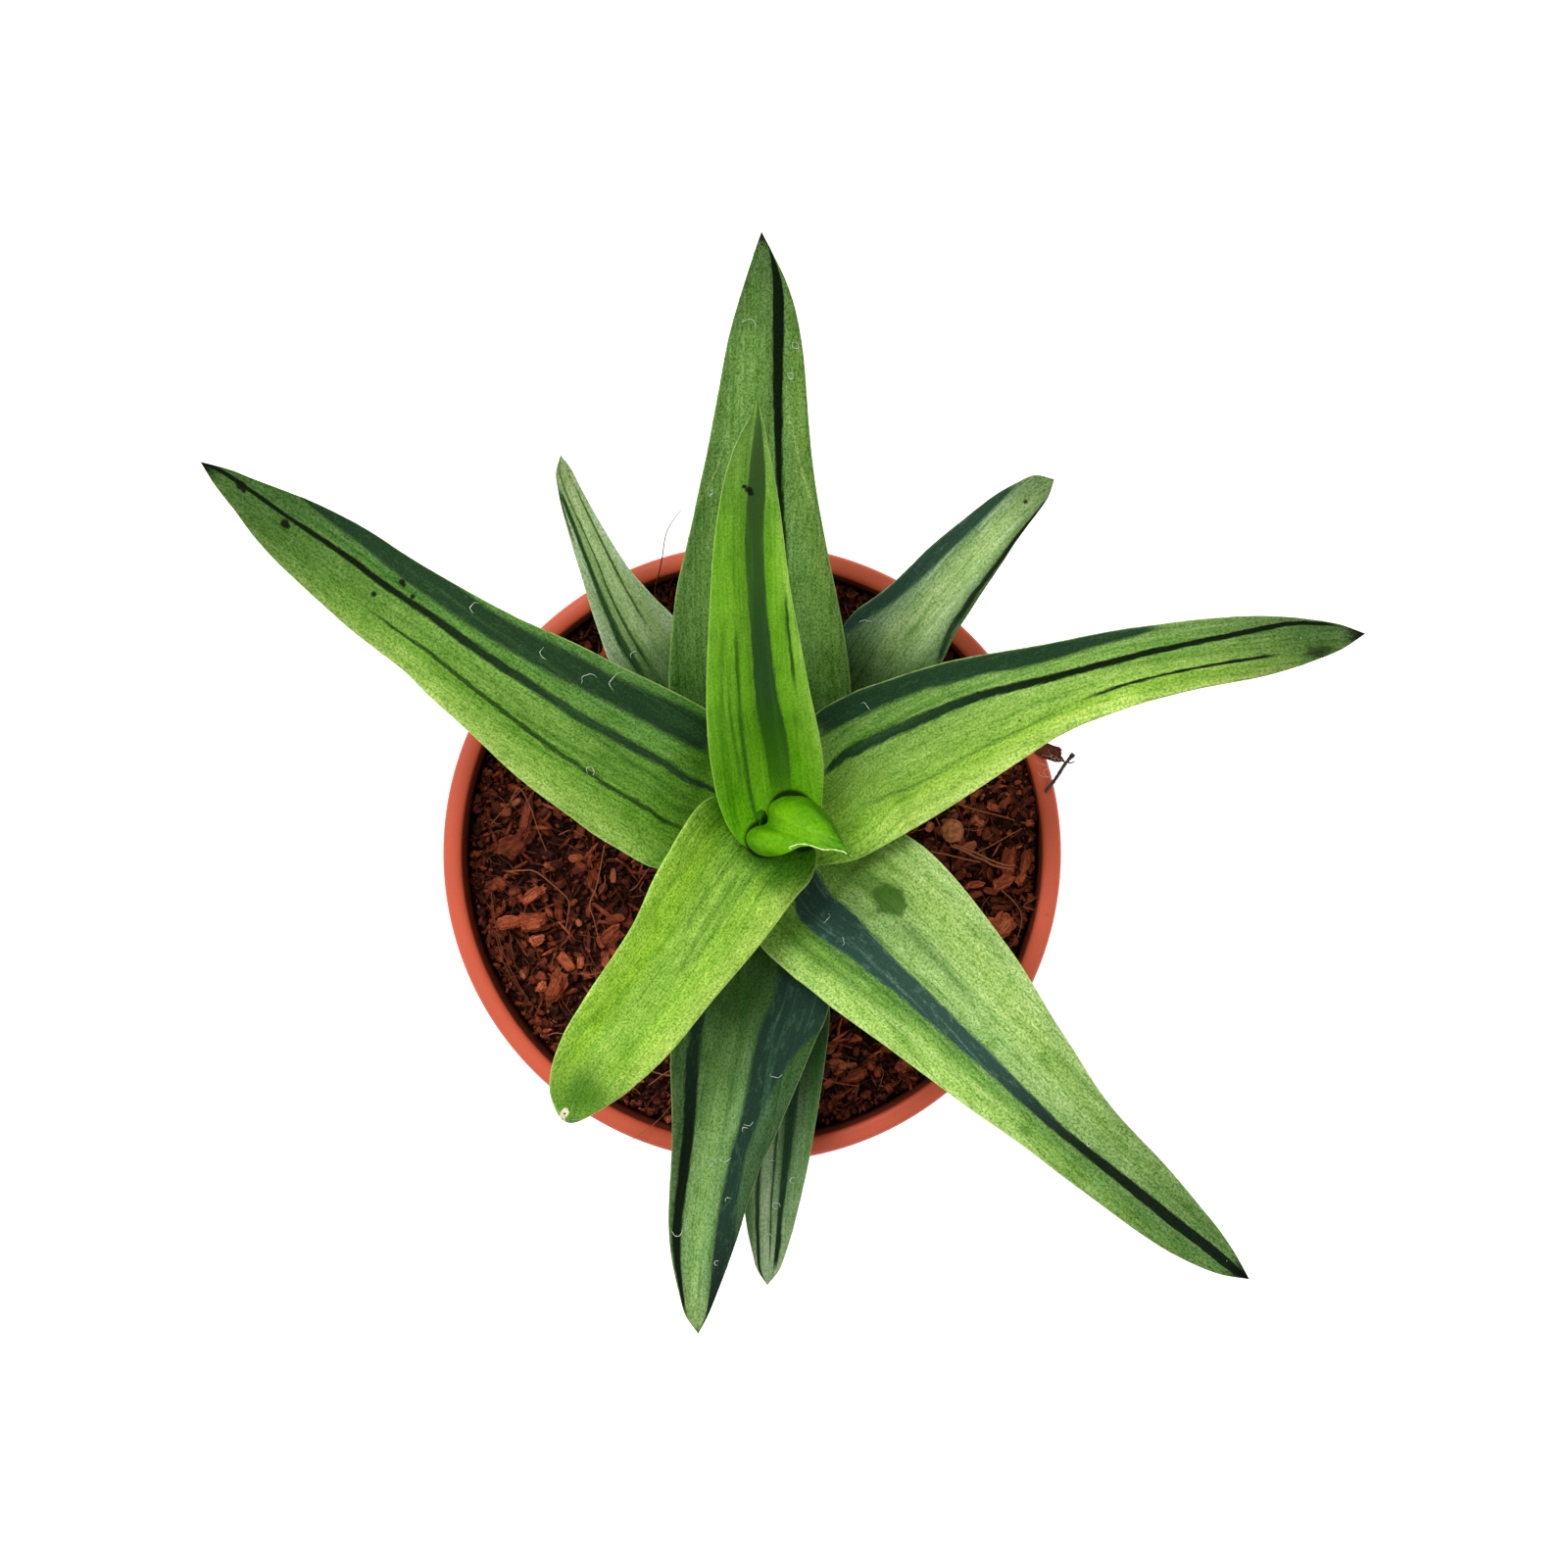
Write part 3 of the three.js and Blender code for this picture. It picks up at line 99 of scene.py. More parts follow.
class Nodes:
    """Short-hand for building a material's node tree."""

    def __init__(self, name):
        self.mat = bpy.data.materials.new(name)
        self.mat.use_nodes = True
        self.t = self.mat.node_tree
        self.t.nodes.clear()
        self.out = self.t.nodes.new("ShaderNodeOutputMaterial")
        self.bsdf = self.t.nodes.new("ShaderNodeBsdfPrincipled")
        self.t.links.new(self.bsdf.outputs[0], self.out.inputs["Surface"])

    def n(self, kind, **props):
        node = self.t.nodes.new(kind)
        for k, v in props.items():
            setattr(node, k, v)
        return node

    def link(self, a, b):
        self.t.links.new(a, b)

    def put(self, sock, value):
        if hasattr(value, "is_output"):
            self.link(value, sock)
        else:
            sock.default_value = value

    def math(self, op, a, b=None, c=None, clamp=False):
        m = self.n("ShaderNodeMath", operation=op, use_clamp=clamp)
        self.put(m.inputs[0], a)
        if b is not None:
            self.put(m.inputs[1], b)
        if c is not None:
            self.put(m.inputs[2], c)
        return m.outputs[0]

    def mix(self, fac, a, b, blend="MIX"):
        m = self.n("ShaderNodeMix", data_type="RGBA", blend_type=blend)
        m.clamp_factor = True
        self.put(m.inputs["Factor"], fac)
        self.put(m.inputs[6], a)
        self.put(m.inputs[7], b)
        return m.outputs[2]

    def step(self, x, lo, hi, to_min=0.0, to_max=1.0):
        """Smooth step of x from lo to hi."""
        m = self.n("ShaderNodeMapRange", interpolation_type="SMOOTHSTEP")
        self.put(m.inputs["Value"], x)
        self.put(m.inputs["From Min"], lo)
        self.put(m.inputs["From Max"], hi)
        self.put(m.inputs["To Min"], to_min)
        self.put(m.inputs["To Max"], to_max)
        return m.outputs[0]

    def curve(self, x, pts):
        """Piecewise curve through pts (x in 0..1, y in any range)."""
        f = self.n("ShaderNodeFloatCurve")
        cu = f.mapping.curves[0]
        f.mapping.use_clip = False
        f.mapping.extend = "HORIZONTAL"
        while len(cu.points) > 2:
            cu.points.remove(cu.points[1])
        ys = [p[1] for p in pts]
        y0, y1 = min(ys), max(ys)
        sc = (y1 - y0) or 1.0
        cu.points[0].location = (pts[0][0], (pts[0][1] - y0) / sc)
        cu.points[1].location = (pts[-1][0], (pts[-1][1] - y0) / sc)
        for px, py in pts[1:-1]:
            cu.points.new(px, (py - y0) / sc)
        for p in cu.points:
            p.handle_type = "AUTO_CLAMPED"
        f.mapping.update()
        self.put(f.inputs["Value"], x)
        return self.math("MULTIPLY_ADD", f.outputs[0], sc, y0)

    def ramp(self, x, stops, interp="LINEAR"):
        r = self.n("ShaderNodeValToRGB")
        r.color_ramp.interpolation = interp
        el = r.color_ramp.elements
        while len(el) > 1:
            el.remove(el[-1])
        el[0].position, el[0].color = stops[0]
        for pos, col in stops[1:]:
            e = el.new(pos)
            e.color = col
        self.put(r.inputs[0], x)
        return r.outputs[0]

    def noise(self, vec, scale, detail=2.0, rough=0.5, distort=0.0, w=None):
        nz = self.n("ShaderNodeTexNoise")
        if w is not None:
            nz.noise_dimensions = "4D"
            nz.inputs["W"].default_value = w
        self.put(nz.inputs["Vector"], vec)
        nz.inputs["Scale"].default_value = scale
        nz.inputs["Detail"].default_value = detail
        nz.inputs["Roughness"].default_value = rough
        nz.inputs["Distortion"].default_value = distort
        return nz.outputs["Fac"]

    def scaled(self, vec, sx, sy, sz=1.0, ox=0.0, oy=0.0, oz=0.0):
        m = self.n("ShaderNodeMapping")
        self.put(m.inputs["Vector"], vec)
        m.inputs["Scale"].default_value = (sx, sy, sz)
        m.inputs["Location"].default_value = (ox, oy, oz)
        return m.outputs[0]

    def bump(self, height, strength, distance, normal=None):
        b = self.n("ShaderNodeBump")
        b.inputs["Strength"].default_value = strength
        b.inputs["Distance"].default_value = distance
        self.put(b.inputs["Height"], height)
        if normal is not None:
            self.link(normal, b.inputs["Normal"])
        return b.outputs[0]


# ------------------------------------------------------------------ leaf tables (millimetres)
# One row is one station from the stem to the tip:
# left edge x, y, z, right edge x, y, z, hollow of the upper face, thickness.
LEAF = {
    "leaf_left": [
        (-6.8, -0.67, 116.92, 0.76, 16.71, 116.94, 2.25, 3.2),
        (-11.18, -3.27, 120.69, -2.71, 21.88, 121.49, 4.44, 3.25),
        (-18.67, -2.54, 125.5, -5.06, 24.71, 124.1, 4.32, 3.31),
        (-24.87, 0.85, 128.71, -8.46, 27.71, 127.04, 3.01, 3.41),
        (-29.68, 3.88, 132.23, -13.85, 30.63, 130.51, 2.9, 3.85),
        (-34.54, 7.67, 136.11, -19.2, 33.22, 133.99, 3.0, 4.56),
        (-39.69, 11.56, 139.8, -24.6, 35.72, 137.38, 3.0, 5.12),
        (-44.87, 15.91, 143.22, -29.86, 38.43, 140.56, 2.97, 5.2),
        (-49.43, 20.41, 146.45, -35.76, 41.2, 143.61, 2.81, 5.18),
        (-54.17, 24.95, 149.49, -41.77, 43.75, 146.53, 2.53, 5.15),
        (-59.25, 29.63, 152.24, -47.33, 46.55, 149.24, 2.19, 5.11),
        (-63.78, 34.28, 154.57, -53.14, 49.75, 151.6, 1.85, 5.06),
        (-68.76, 38.19, 156.44, -58.91, 53.06, 153.58, 1.57, 4.99),
        (-73.98, 42.37, 157.94, -64.1, 56.23, 155.25, 1.34, 4.82),
        (-78.65, 46.62, 159.16, -69.23, 59.65, 156.71, 1.12, 4.51),
        (-82.94, 50.61, 160.18, -74.68, 62.71, 158.01, 0.91, 4.12),
        (-87.14, 54.67, 161.05, -79.99, 65.27, 159.21, 0.71, 3.69),
        (-90.98, 59.04, 161.81, -85.15, 67.29, 160.34, 0.53, 3.24),
        (-94.26, 63.59, 162.51, -90.24, 69.18, 161.44, 0.35, 2.61),
        (-97.55, 67.86, 163.2, -95.29, 71.11, 162.59, 0.17, 1.88),
        (-100.43, 72.39, 163.83, -100.43, 72.39, 163.83, 0.0, 1.2),
    ],
    "leaf_back": [
        (-1.42, 9.86, 104.99, 10.26, 11.01, 105.28, 0.51, 3.0),
        (-5.81, 12.32, 107.33, 13.75, 15.28, 108.29, 2.44, 3.05),
        (-9.8, 15.91, 111.2, 16.44, 19.67, 112.11, 4.24, 3.1),
        (-12.62, 21.13, 115.11, 18.07, 24.16, 115.21, 4.28, 3.18),
        (-14.46, 25.95, 117.9, 19.14, 29.85, 118.15, 3.23, 3.43),
        (-15.87, 31.74, 120.98, 18.84, 35.12, 120.97, 2.81, 3.95),
        (-15.6, 38.49, 124.19, 18.13, 39.83, 124.19, 2.67, 4.45),
        (-14.97, 44.48, 127.56, 17.07, 45.51, 127.56, 2.56, 4.63),
        (-14.06, 50.86, 131.01, 15.9, 50.92, 131.01, 2.38, 4.69),
        (-12.51, 57.04, 134.56, 14.65, 56.52, 134.56, 2.15, 4.74),
        (-11.04, 62.91, 138.25, 13.43, 62.44, 138.25, 1.89, 4.77),
        (-9.67, 68.9, 141.97, 12.36, 68.18, 141.97, 1.63, 4.79),
        (-8.26, 74.76, 145.62, 11.53, 73.87, 145.62, 1.39, 4.8),
        (-7.09, 80.45, 149.1, 10.94, 79.52, 149.1, 1.19, 4.7),
        (-5.95, 85.92, 152.27, 10.49, 85.07, 152.27, 0.99, 4.44),
        (-4.95, 91.15, 155.17, 10.03, 90.52, 155.17, 0.81, 4.09),
        (-3.83, 96.17, 157.85, 9.33, 95.75, 157.85, 0.63, 3.68),
        (-2.43, 100.84, 160.35, 8.23, 100.82, 160.35, 0.46, 3.25),
        (-0.95, 105.26, 162.7, 6.53, 105.63, 162.7, 0.3, 2.62),
        (0.6, 109.68, 164.94, 4.31, 109.96, 164.94, 0.15, 1.89),
        (2.14, 114.05, 167.15, 2.14, 114.05, 167.15, 0.0, 1.2),
    ],
    "leaf_inner_back": [
        (0.99, 0.75, 124.01, 11.86, 1.51, 124.82, 0.41, 3.2),
        (-1.79, 1.87, 124.27, 13.55, 6.24, 125.44, 0.85, 3.39),
        (-4.42, 5.1, 125.12, 13.56, 10.24, 126.43, 1.78, 3.63),
        (-6.33, 10.0, 127.42, 13.79, 13.27, 128.17, 3.55, 3.88),
        (-7.25, 14.49, 130.71, 13.77, 17.2, 131.23, 4.35, 4.11),
        (-7.84, 18.62, 134.55, 13.13, 21.69, 135.29, 3.98, 4.38),
        (-8.18, 23.15, 139.0, 12.2, 25.95, 139.52, 3.0, 4.65),
        (-8.29, 27.96, 143.69, 11.21, 30.08, 144.22, 2.48, 4.87),
        (-8.17, 32.8, 148.52, 10.29, 34.32, 149.43, 2.72, 4.99),
        (-7.94, 37.49, 153.68, 9.42, 38.75, 154.86, 2.84, 4.99),
        (-7.63, 42.11, 158.8, 8.48, 43.21, 160.0, 2.7, 4.92),
        (-7.31, 46.77, 163.68, 7.6, 47.55, 164.86, 2.53, 4.82),
        (-6.97, 51.39, 168.13, 6.92, 51.79, 169.28, 2.34, 4.68),
        (-6.57, 55.87, 172.32, 6.38, 55.98, 173.39, 2.14, 4.52),
        (-5.99, 60.15, 176.27, 5.84, 60.06, 177.25, 1.93, 4.34),
        (-5.25, 64.24, 179.94, 5.24, 64.01, 180.8, 1.67, 4.09),
        (-4.33, 68.16, 183.37, 4.55, 67.77, 184.11, 1.34, 3.75),
        (-3.1, 71.92, 186.61, 3.79, 71.31, 187.2, 0.99, 3.34),
        (-1.5, 75.38, 189.7, 3.06, 74.75, 190.13, 0.65, 2.86),
        (0.36, 78.46, 192.71, 2.29, 78.23, 192.96, 0.32, 2.09),
        (1.58, 81.83, 194.0, 1.58, 81.83, 194.0, 0.0, 1.2),
    ],
    "leaf_small_back_left": [
        (-1.46, 7.72, 100.12, 2.77, 11.77, 100.23, 0.12, 2.8),
        (-4.4, 10.31, 101.3, 1.36, 14.77, 101.33, 0.38, 2.85),
        (-7.17, 12.7, 103.25, -0.18, 18.05, 103.27, 0.63, 2.91),
        (-9.93, 15.19, 105.67, -1.79, 21.34, 105.7, 0.84, 2.98),
        (-12.65, 17.9, 108.21, -3.5, 24.61, 108.34, 1.01, 3.1),
        (-15.31, 20.87, 110.49, -5.3, 27.91, 110.88, 1.2, 3.33),
        (-17.92, 24.02, 112.46, -7.17, 31.3, 113.2, 1.59, 3.62),
        (-20.51, 27.34, 114.34, -9.07, 34.76, 115.38, 1.92, 3.87),
        (-23.07, 30.76, 116.04, -10.95, 38.36, 117.18, 2.0, 4.0),
        (-25.58, 34.29, 117.62, -12.88, 42.03, 118.81, 1.98, 3.99),
        (-27.77, 37.93, 119.1, -15.07, 45.68, 120.3, 1.9, 3.94),
        (-29.13, 42.02, 120.49, -18.07, 48.61, 121.68, 1.79, 3.87),
        (-30.52, 46.21, 121.85, -20.78, 51.55, 122.99, 1.64, 3.77),
        (-31.75, 50.37, 123.1, -23.32, 54.54, 124.18, 1.47, 3.67),
        (-32.92, 54.39, 124.19, -25.52, 57.73, 125.17, 1.29, 3.56),
        (-34.09, 58.2, 125.08, -27.5, 61.02, 125.94, 1.11, 3.43),
        (-35.14, 61.92, 125.76, -29.38, 64.26, 126.49, 0.93, 3.24),
        (-36.12, 65.56, 126.29, -31.16, 67.42, 126.88, 0.71, 3.01),
        (-36.88, 69.19, 126.72, -32.79, 70.5, 127.13, 0.46, 2.67),
        (-37.29, 72.83, 127.08, -34.33, 73.52, 127.32, 0.21, 1.94),
        (-36.33, 76.24, 127.42, -36.33, 76.24, 127.42, 0.0, 1.2),
    ],
    "leaf_small_back_right": [
        (5.08, 11.96, 100.25, 10.48, 7.92, 100.18, 0.15, 2.8),
        (6.32, 15.55, 101.61, 13.56, 10.25, 101.5, 0.53, 2.85),
        (7.56, 19.17, 103.83, 16.67, 12.6, 103.74, 0.91, 2.91),
        (8.82, 22.74, 106.48, 19.76, 15.19, 106.48, 1.18, 2.97),
        (10.16, 26.36, 109.3, 22.74, 18.05, 109.22, 1.32, 3.1),
        (11.61, 30.08, 112.03, 25.65, 21.08, 111.63, 1.49, 3.33),
        (13.13, 33.83, 114.68, 28.55, 24.34, 113.91, 1.87, 3.62),
        (14.58, 37.4, 117.27, 31.48, 28.1, 116.2, 2.14, 3.87),
        (16.28, 41.75, 119.51, 33.72, 31.57, 118.36, 2.2, 4.0),
        (19.6, 46.33, 121.5, 35.3, 34.34, 120.31, 2.17, 3.99),
        (23.6, 49.21, 123.1, 37.07, 38.02, 121.9, 2.08, 3.97),
        (27.03, 51.91, 124.48, 39.08, 42.18, 123.3, 1.93, 3.94),
        (30.3, 54.98, 125.71, 41.47, 45.89, 124.57, 1.74, 3.89),
        (33.47, 58.14, 126.72, 43.76, 49.48, 125.65, 1.52, 3.83),
        (36.87, 61.08, 127.48, 46.01, 52.85, 126.52, 1.31, 3.77),
        (40.16, 63.68, 128.02, 48.3, 56.27, 127.18, 1.1, 3.67),
        (43.39, 66.26, 128.43, 50.44, 59.57, 127.72, 0.89, 3.53),
        (46.78, 68.75, 128.7, 52.56, 62.51, 128.14, 0.66, 3.33),
        (50.29, 70.72, 128.87, 54.74, 65.37, 128.48, 0.41, 2.99),
        (53.98, 72.26, 128.99, 56.64, 68.28, 128.79, 0.17, 2.21),
        (57.68, 71.47, 129.03, 57.68, 71.47, 129.03, 0.0, 1.6),
    ],
    "leaf_right": [
        (7.37, 15.58, 116.17, 11.73, -2.4, 115.67, 1.71, 3.2),
        (7.95, 17.88, 117.69, 19.45, -1.3, 119.69, 3.25, 3.26),
        (8.65, 20.69, 119.88, 26.49, 2.32, 124.22, 3.61, 3.32),
        (11.9, 26.59, 125.12, 30.12, 4.4, 126.01, 3.29, 3.43),
        (19.23, 30.84, 129.66, 32.36, 5.75, 128.05, 2.77, 3.89),
        (25.17, 32.92, 133.49, 36.72, 8.47, 131.27, 3.09, 4.6),
        (30.85, 34.75, 137.02, 41.54, 11.66, 134.43, 3.2, 5.13),
        (37.0, 36.42, 140.14, 46.22, 14.82, 137.29, 3.17, 5.2),
        (43.33, 37.64, 142.74, 51.07, 18.07, 139.71, 3.0, 5.18),
        (49.73, 38.63, 145.11, 56.04, 21.36, 141.95, 2.73, 5.15),
        (56.2, 39.73, 147.25, 61.28, 24.16, 144.05, 2.39, 5.11),
        (62.58, 41.03, 149.15, 66.83, 26.33, 145.99, 2.05, 5.06),
        (68.95, 42.15, 150.77, 72.37, 28.23, 147.72, 1.76, 4.99),
        (75.21, 42.96, 152.03, 77.99, 29.79, 149.16, 1.51, 4.84),
        (81.29, 43.73, 152.97, 83.56, 31.13, 150.35, 1.27, 4.58),
        (87.23, 44.26, 153.68, 89.02, 32.15, 151.37, 1.04, 4.25),
        (92.87, 44.52, 154.24, 94.45, 33.2, 152.28, 0.81, 3.86),
        (98.31, 44.37, 154.68, 99.65, 34.62, 153.13, 0.59, 3.42),
        (103.58, 43.83, 155.06, 104.59, 36.35, 153.95, 0.39, 2.73),
        (108.68, 42.94, 155.4, 109.32, 38.37, 154.78, 0.19, 1.92),
        (113.5, 41.24, 155.67, 113.5, 41.24, 155.67, 0.0, 1.2),
    ],
    "leaf_front_right": [
        (14.23, 6.27, 110.71, 2.24, -5.33, 110.88, 1.37, 3.2),
        (20.65, 6.72, 114.92, 0.3, -9.86, 114.0, 4.33, 3.24),
        (25.01, 6.04, 118.2, 0.96, -16.57, 118.87, 6.03, 3.29),
        (27.93, 4.84, 119.99, 6.92, -22.52, 121.91, 4.27, 3.38),
        (33.33, 1.24, 123.1, 11.18, -25.79, 124.35, 2.98, 3.7),
        (38.43, -3.93, 126.12, 15.03, -28.8, 127.64, 2.84, 4.39),
        (42.53, -8.98, 129.16, 19.89, -32.2, 131.05, 2.84, 5.04),
        (46.51, -14.34, 132.03, 24.91, -35.64, 134.13, 2.77, 5.2),
        (50.52, -19.94, 134.64, 29.88, -39.21, 136.89, 2.65, 5.2),
        (54.07, -25.74, 137.17, 35.04, -42.93, 139.53, 2.47, 5.2),
        (57.36, -31.3, 139.56, 40.53, -46.91, 141.96, 2.25, 5.2),
        (60.86, -36.8, 141.67, 46.06, -50.68, 144.05, 2.02, 5.2),
        (64.26, -42.35, 143.39, 51.47, -54.43, 145.7, 1.8, 5.2),
        (67.91, -47.29, 144.66, 56.84, -58.56, 146.83, 1.58, 5.09),
        (71.94, -51.8, 145.66, 62.14, -62.47, 147.64, 1.34, 4.8),
        (76.22, -56.22, 146.48, 67.07, -66.13, 148.24, 1.1, 4.39),
        (80.16, -60.7, 147.2, 71.88, -69.63, 148.69, 0.87, 3.93),
        (83.71, -65.04, 147.85, 76.87, -72.85, 149.04, 0.63, 3.45),
        (87.15, -69.29, 148.49, 81.99, -75.55, 149.34, 0.41, 2.75),
        (90.15, -73.77, 149.15, 87.22, -77.55, 149.63, 0.19, 1.94),
        (92.67, -78.48, 149.87, 92.67, -78.48, 149.87, 0.0, 1.2),
    ],
    "leaf_inner_front_left": [
        (10.76, 2.57, 119.2, -2.8, 11.43, 120.32, 0.76, 3.4),
        (12.69, -0.01, 120.25, -6.36, 11.31, 122.07, 2.16, 3.46),
        (11.58, -4.6, 121.59, -8.25, 10.78, 123.16, 3.37, 3.56),
        (9.06, -7.63, 122.63, -10.57, 8.81, 124.42, 4.36, 3.69),
        (7.57, -9.43, 123.68, -13.28, 4.79, 126.38, 4.51, 3.87),
        (5.48, -12.25, 125.87, -15.15, 1.43, 128.39, 4.13, 4.19),
        (3.17, -15.22, 128.53, -17.09, -1.82, 130.75, 3.33, 4.61),
        (0.9, -17.98, 131.28, -18.92, -5.52, 133.51, 2.48, 4.99),
        (-1.72, -21.02, 134.29, -20.33, -9.06, 136.65, 2.17, 5.19),
        (-4.58, -24.29, 137.59, -21.78, -12.28, 140.28, 2.23, 5.19),
        (-7.32, -27.41, 141.2, -23.61, -15.5, 144.19, 2.26, 5.17),
        (-9.83, -30.46, 144.97, -25.67, -18.71, 147.92, 2.14, 5.13),
        (-12.35, -33.54, 148.7, -27.7, -21.76, 151.52, 2.01, 5.08),
        (-14.99, -36.47, 152.22, -29.65, -24.71, 154.83, 1.85, 5.02),
        (-17.72, -39.07, 155.51, -31.46, -27.7, 157.84, 1.65, 4.93),
        (-20.28, -41.21, 158.58, -33.35, -30.87, 160.58, 1.37, 4.77),
        (-22.64, -43.09, 161.46, -34.89, -34.31, 163.09, 1.04, 4.53),
        (-25.02, -44.54, 164.14, -35.99, -37.95, 165.36, 0.7, 4.2),
        (-27.19, -45.73, 166.6, -36.31, -41.84, 167.39, 0.39, 3.69),
        (-29.75, -46.93, 168.63, -35.14, -45.14, 168.99, 0.14, 2.64),
        (-32.85, -47.38, 169.91, -32.85, -47.38, 169.91, 0.0, 2.0),
    ],
    "leaf_front": [
        (10.83, -2.76, 105.8, -3.9, -0.47, 105.72, 1.08, 3.0),
        (12.19, -6.3, 107.8, -6.04, -4.81, 108.17, 2.13, 3.05),
        (13.66, -10.15, 110.55, -7.99, -8.9, 111.13, 2.76, 3.1),
        (14.9, -14.27, 113.12, -9.64, -13.06, 113.84, 2.55, 3.16),
        (15.82, -18.96, 115.01, -10.95, -17.09, 116.02, 1.68, 3.3),
        (15.92, -24.92, 116.41, -11.86, -20.26, 118.1, 1.12, 3.64),
        (14.48, -31.36, 117.55, -12.63, -23.11, 120.33, 0.7, 4.09),
        (12.28, -36.1, 119.07, -13.76, -27.55, 122.29, 0.43, 4.52),
        (10.62, -40.04, 120.63, -14.84, -33.19, 124.06, 0.15, 4.78),
        (8.85, -44.17, 122.15, -15.42, -38.83, 125.71, -0.14, 4.85),
        (6.89, -48.62, 123.72, -15.25, -44.18, 127.32, -0.39, 4.91),
        (4.75, -53.53, 125.37, -15.04, -49.0, 128.92, -0.56, 4.95),
        (2.45, -58.04, 127.01, -14.98, -54.0, 130.44, -0.6, 4.98),
        (0.72, -62.47, 128.54, -15.15, -59.11, 131.75, -0.57, 5.0),
        (-0.8, -66.88, 129.83, -15.43, -64.09, 132.75, -0.51, 4.99),
        (-2.06, -71.16, 130.94, -15.57, -69.01, 133.51, -0.42, 4.86),
        (-3.46, -75.26, 131.95, -15.3, -73.76, 134.11, -0.33, 4.6),
        (-4.92, -79.23, 132.88, -14.58, -78.3, 134.6, -0.24, 4.26),
        (-6.45, -83.12, 133.77, -13.57, -82.59, 134.99, -0.15, 3.84),
        (-8.02, -86.84, 134.66, -12.35, -86.79, 135.33, -0.06, 2.84),
        (-9.95, -90.29, 135.53, -9.95, -90.29, 135.53, 0.0, 1.6),
    ],
    "leaf_small_front": [
        (7.4, -1.71, 100.2, 2.39, -1.71, 100.13, 0.11, 2.8),
        (8.92, -4.92, 101.22, 1.62, -5.76, 101.29, 0.41, 2.85),
        (10.58, -8.39, 102.99, 0.91, -9.55, 103.08, 0.69, 2.91),
        (12.04, -12.11, 105.1, 0.31, -13.3, 105.13, 0.85, 2.97),
        (13.22, -16.07, 107.02, -0.16, -17.14, 107.13, 0.79, 3.07),
        (14.17, -20.26, 108.45, -0.53, -21.06, 108.81, 0.68, 3.23),
        (14.83, -24.69, 109.55, -0.84, -25.07, 110.21, 0.69, 3.43),
        (15.16, -29.37, 110.58, -1.07, -29.11, 111.47, 0.66, 3.63),
        (14.99, -34.23, 111.6, -1.24, -33.18, 112.55, 0.61, 3.78),
        (14.39, -38.95, 112.58, -1.43, -37.5, 113.57, 0.55, 3.89),
        (13.77, -43.51, 113.58, -1.63, -42.03, 114.58, 0.5, 4.0),
        (13.06, -48.03, 114.59, -1.79, -46.58, 115.57, 0.44, 4.09),
        (12.31, -52.46, 115.57, -1.87, -51.11, 116.51, 0.38, 4.16),
        (11.54, -56.82, 116.47, -1.89, -55.54, 117.35, 0.33, 4.19),
        (10.68, -61.07, 117.24, -1.83, -59.87, 118.05, 0.28, 4.19),
        (9.77, -65.14, 117.9, -1.67, -64.11, 118.6, 0.22, 4.1),
        (8.83, -69.01, 118.47, -1.37, -68.28, 119.06, 0.18, 3.94),
        (7.85, -72.75, 118.98, -0.8, -72.3, 119.45, 0.13, 3.7),
        (6.7, -76.42, 119.45, 0.04, -76.07, 119.79, 0.08, 3.41),
        (5.34, -79.95, 119.91, 1.02, -79.71, 120.09, 0.04, 2.57),
        (3.04, -82.79, 120.31, 3.04, -82.79, 120.31, 0.0, 1.6),
    ],
}
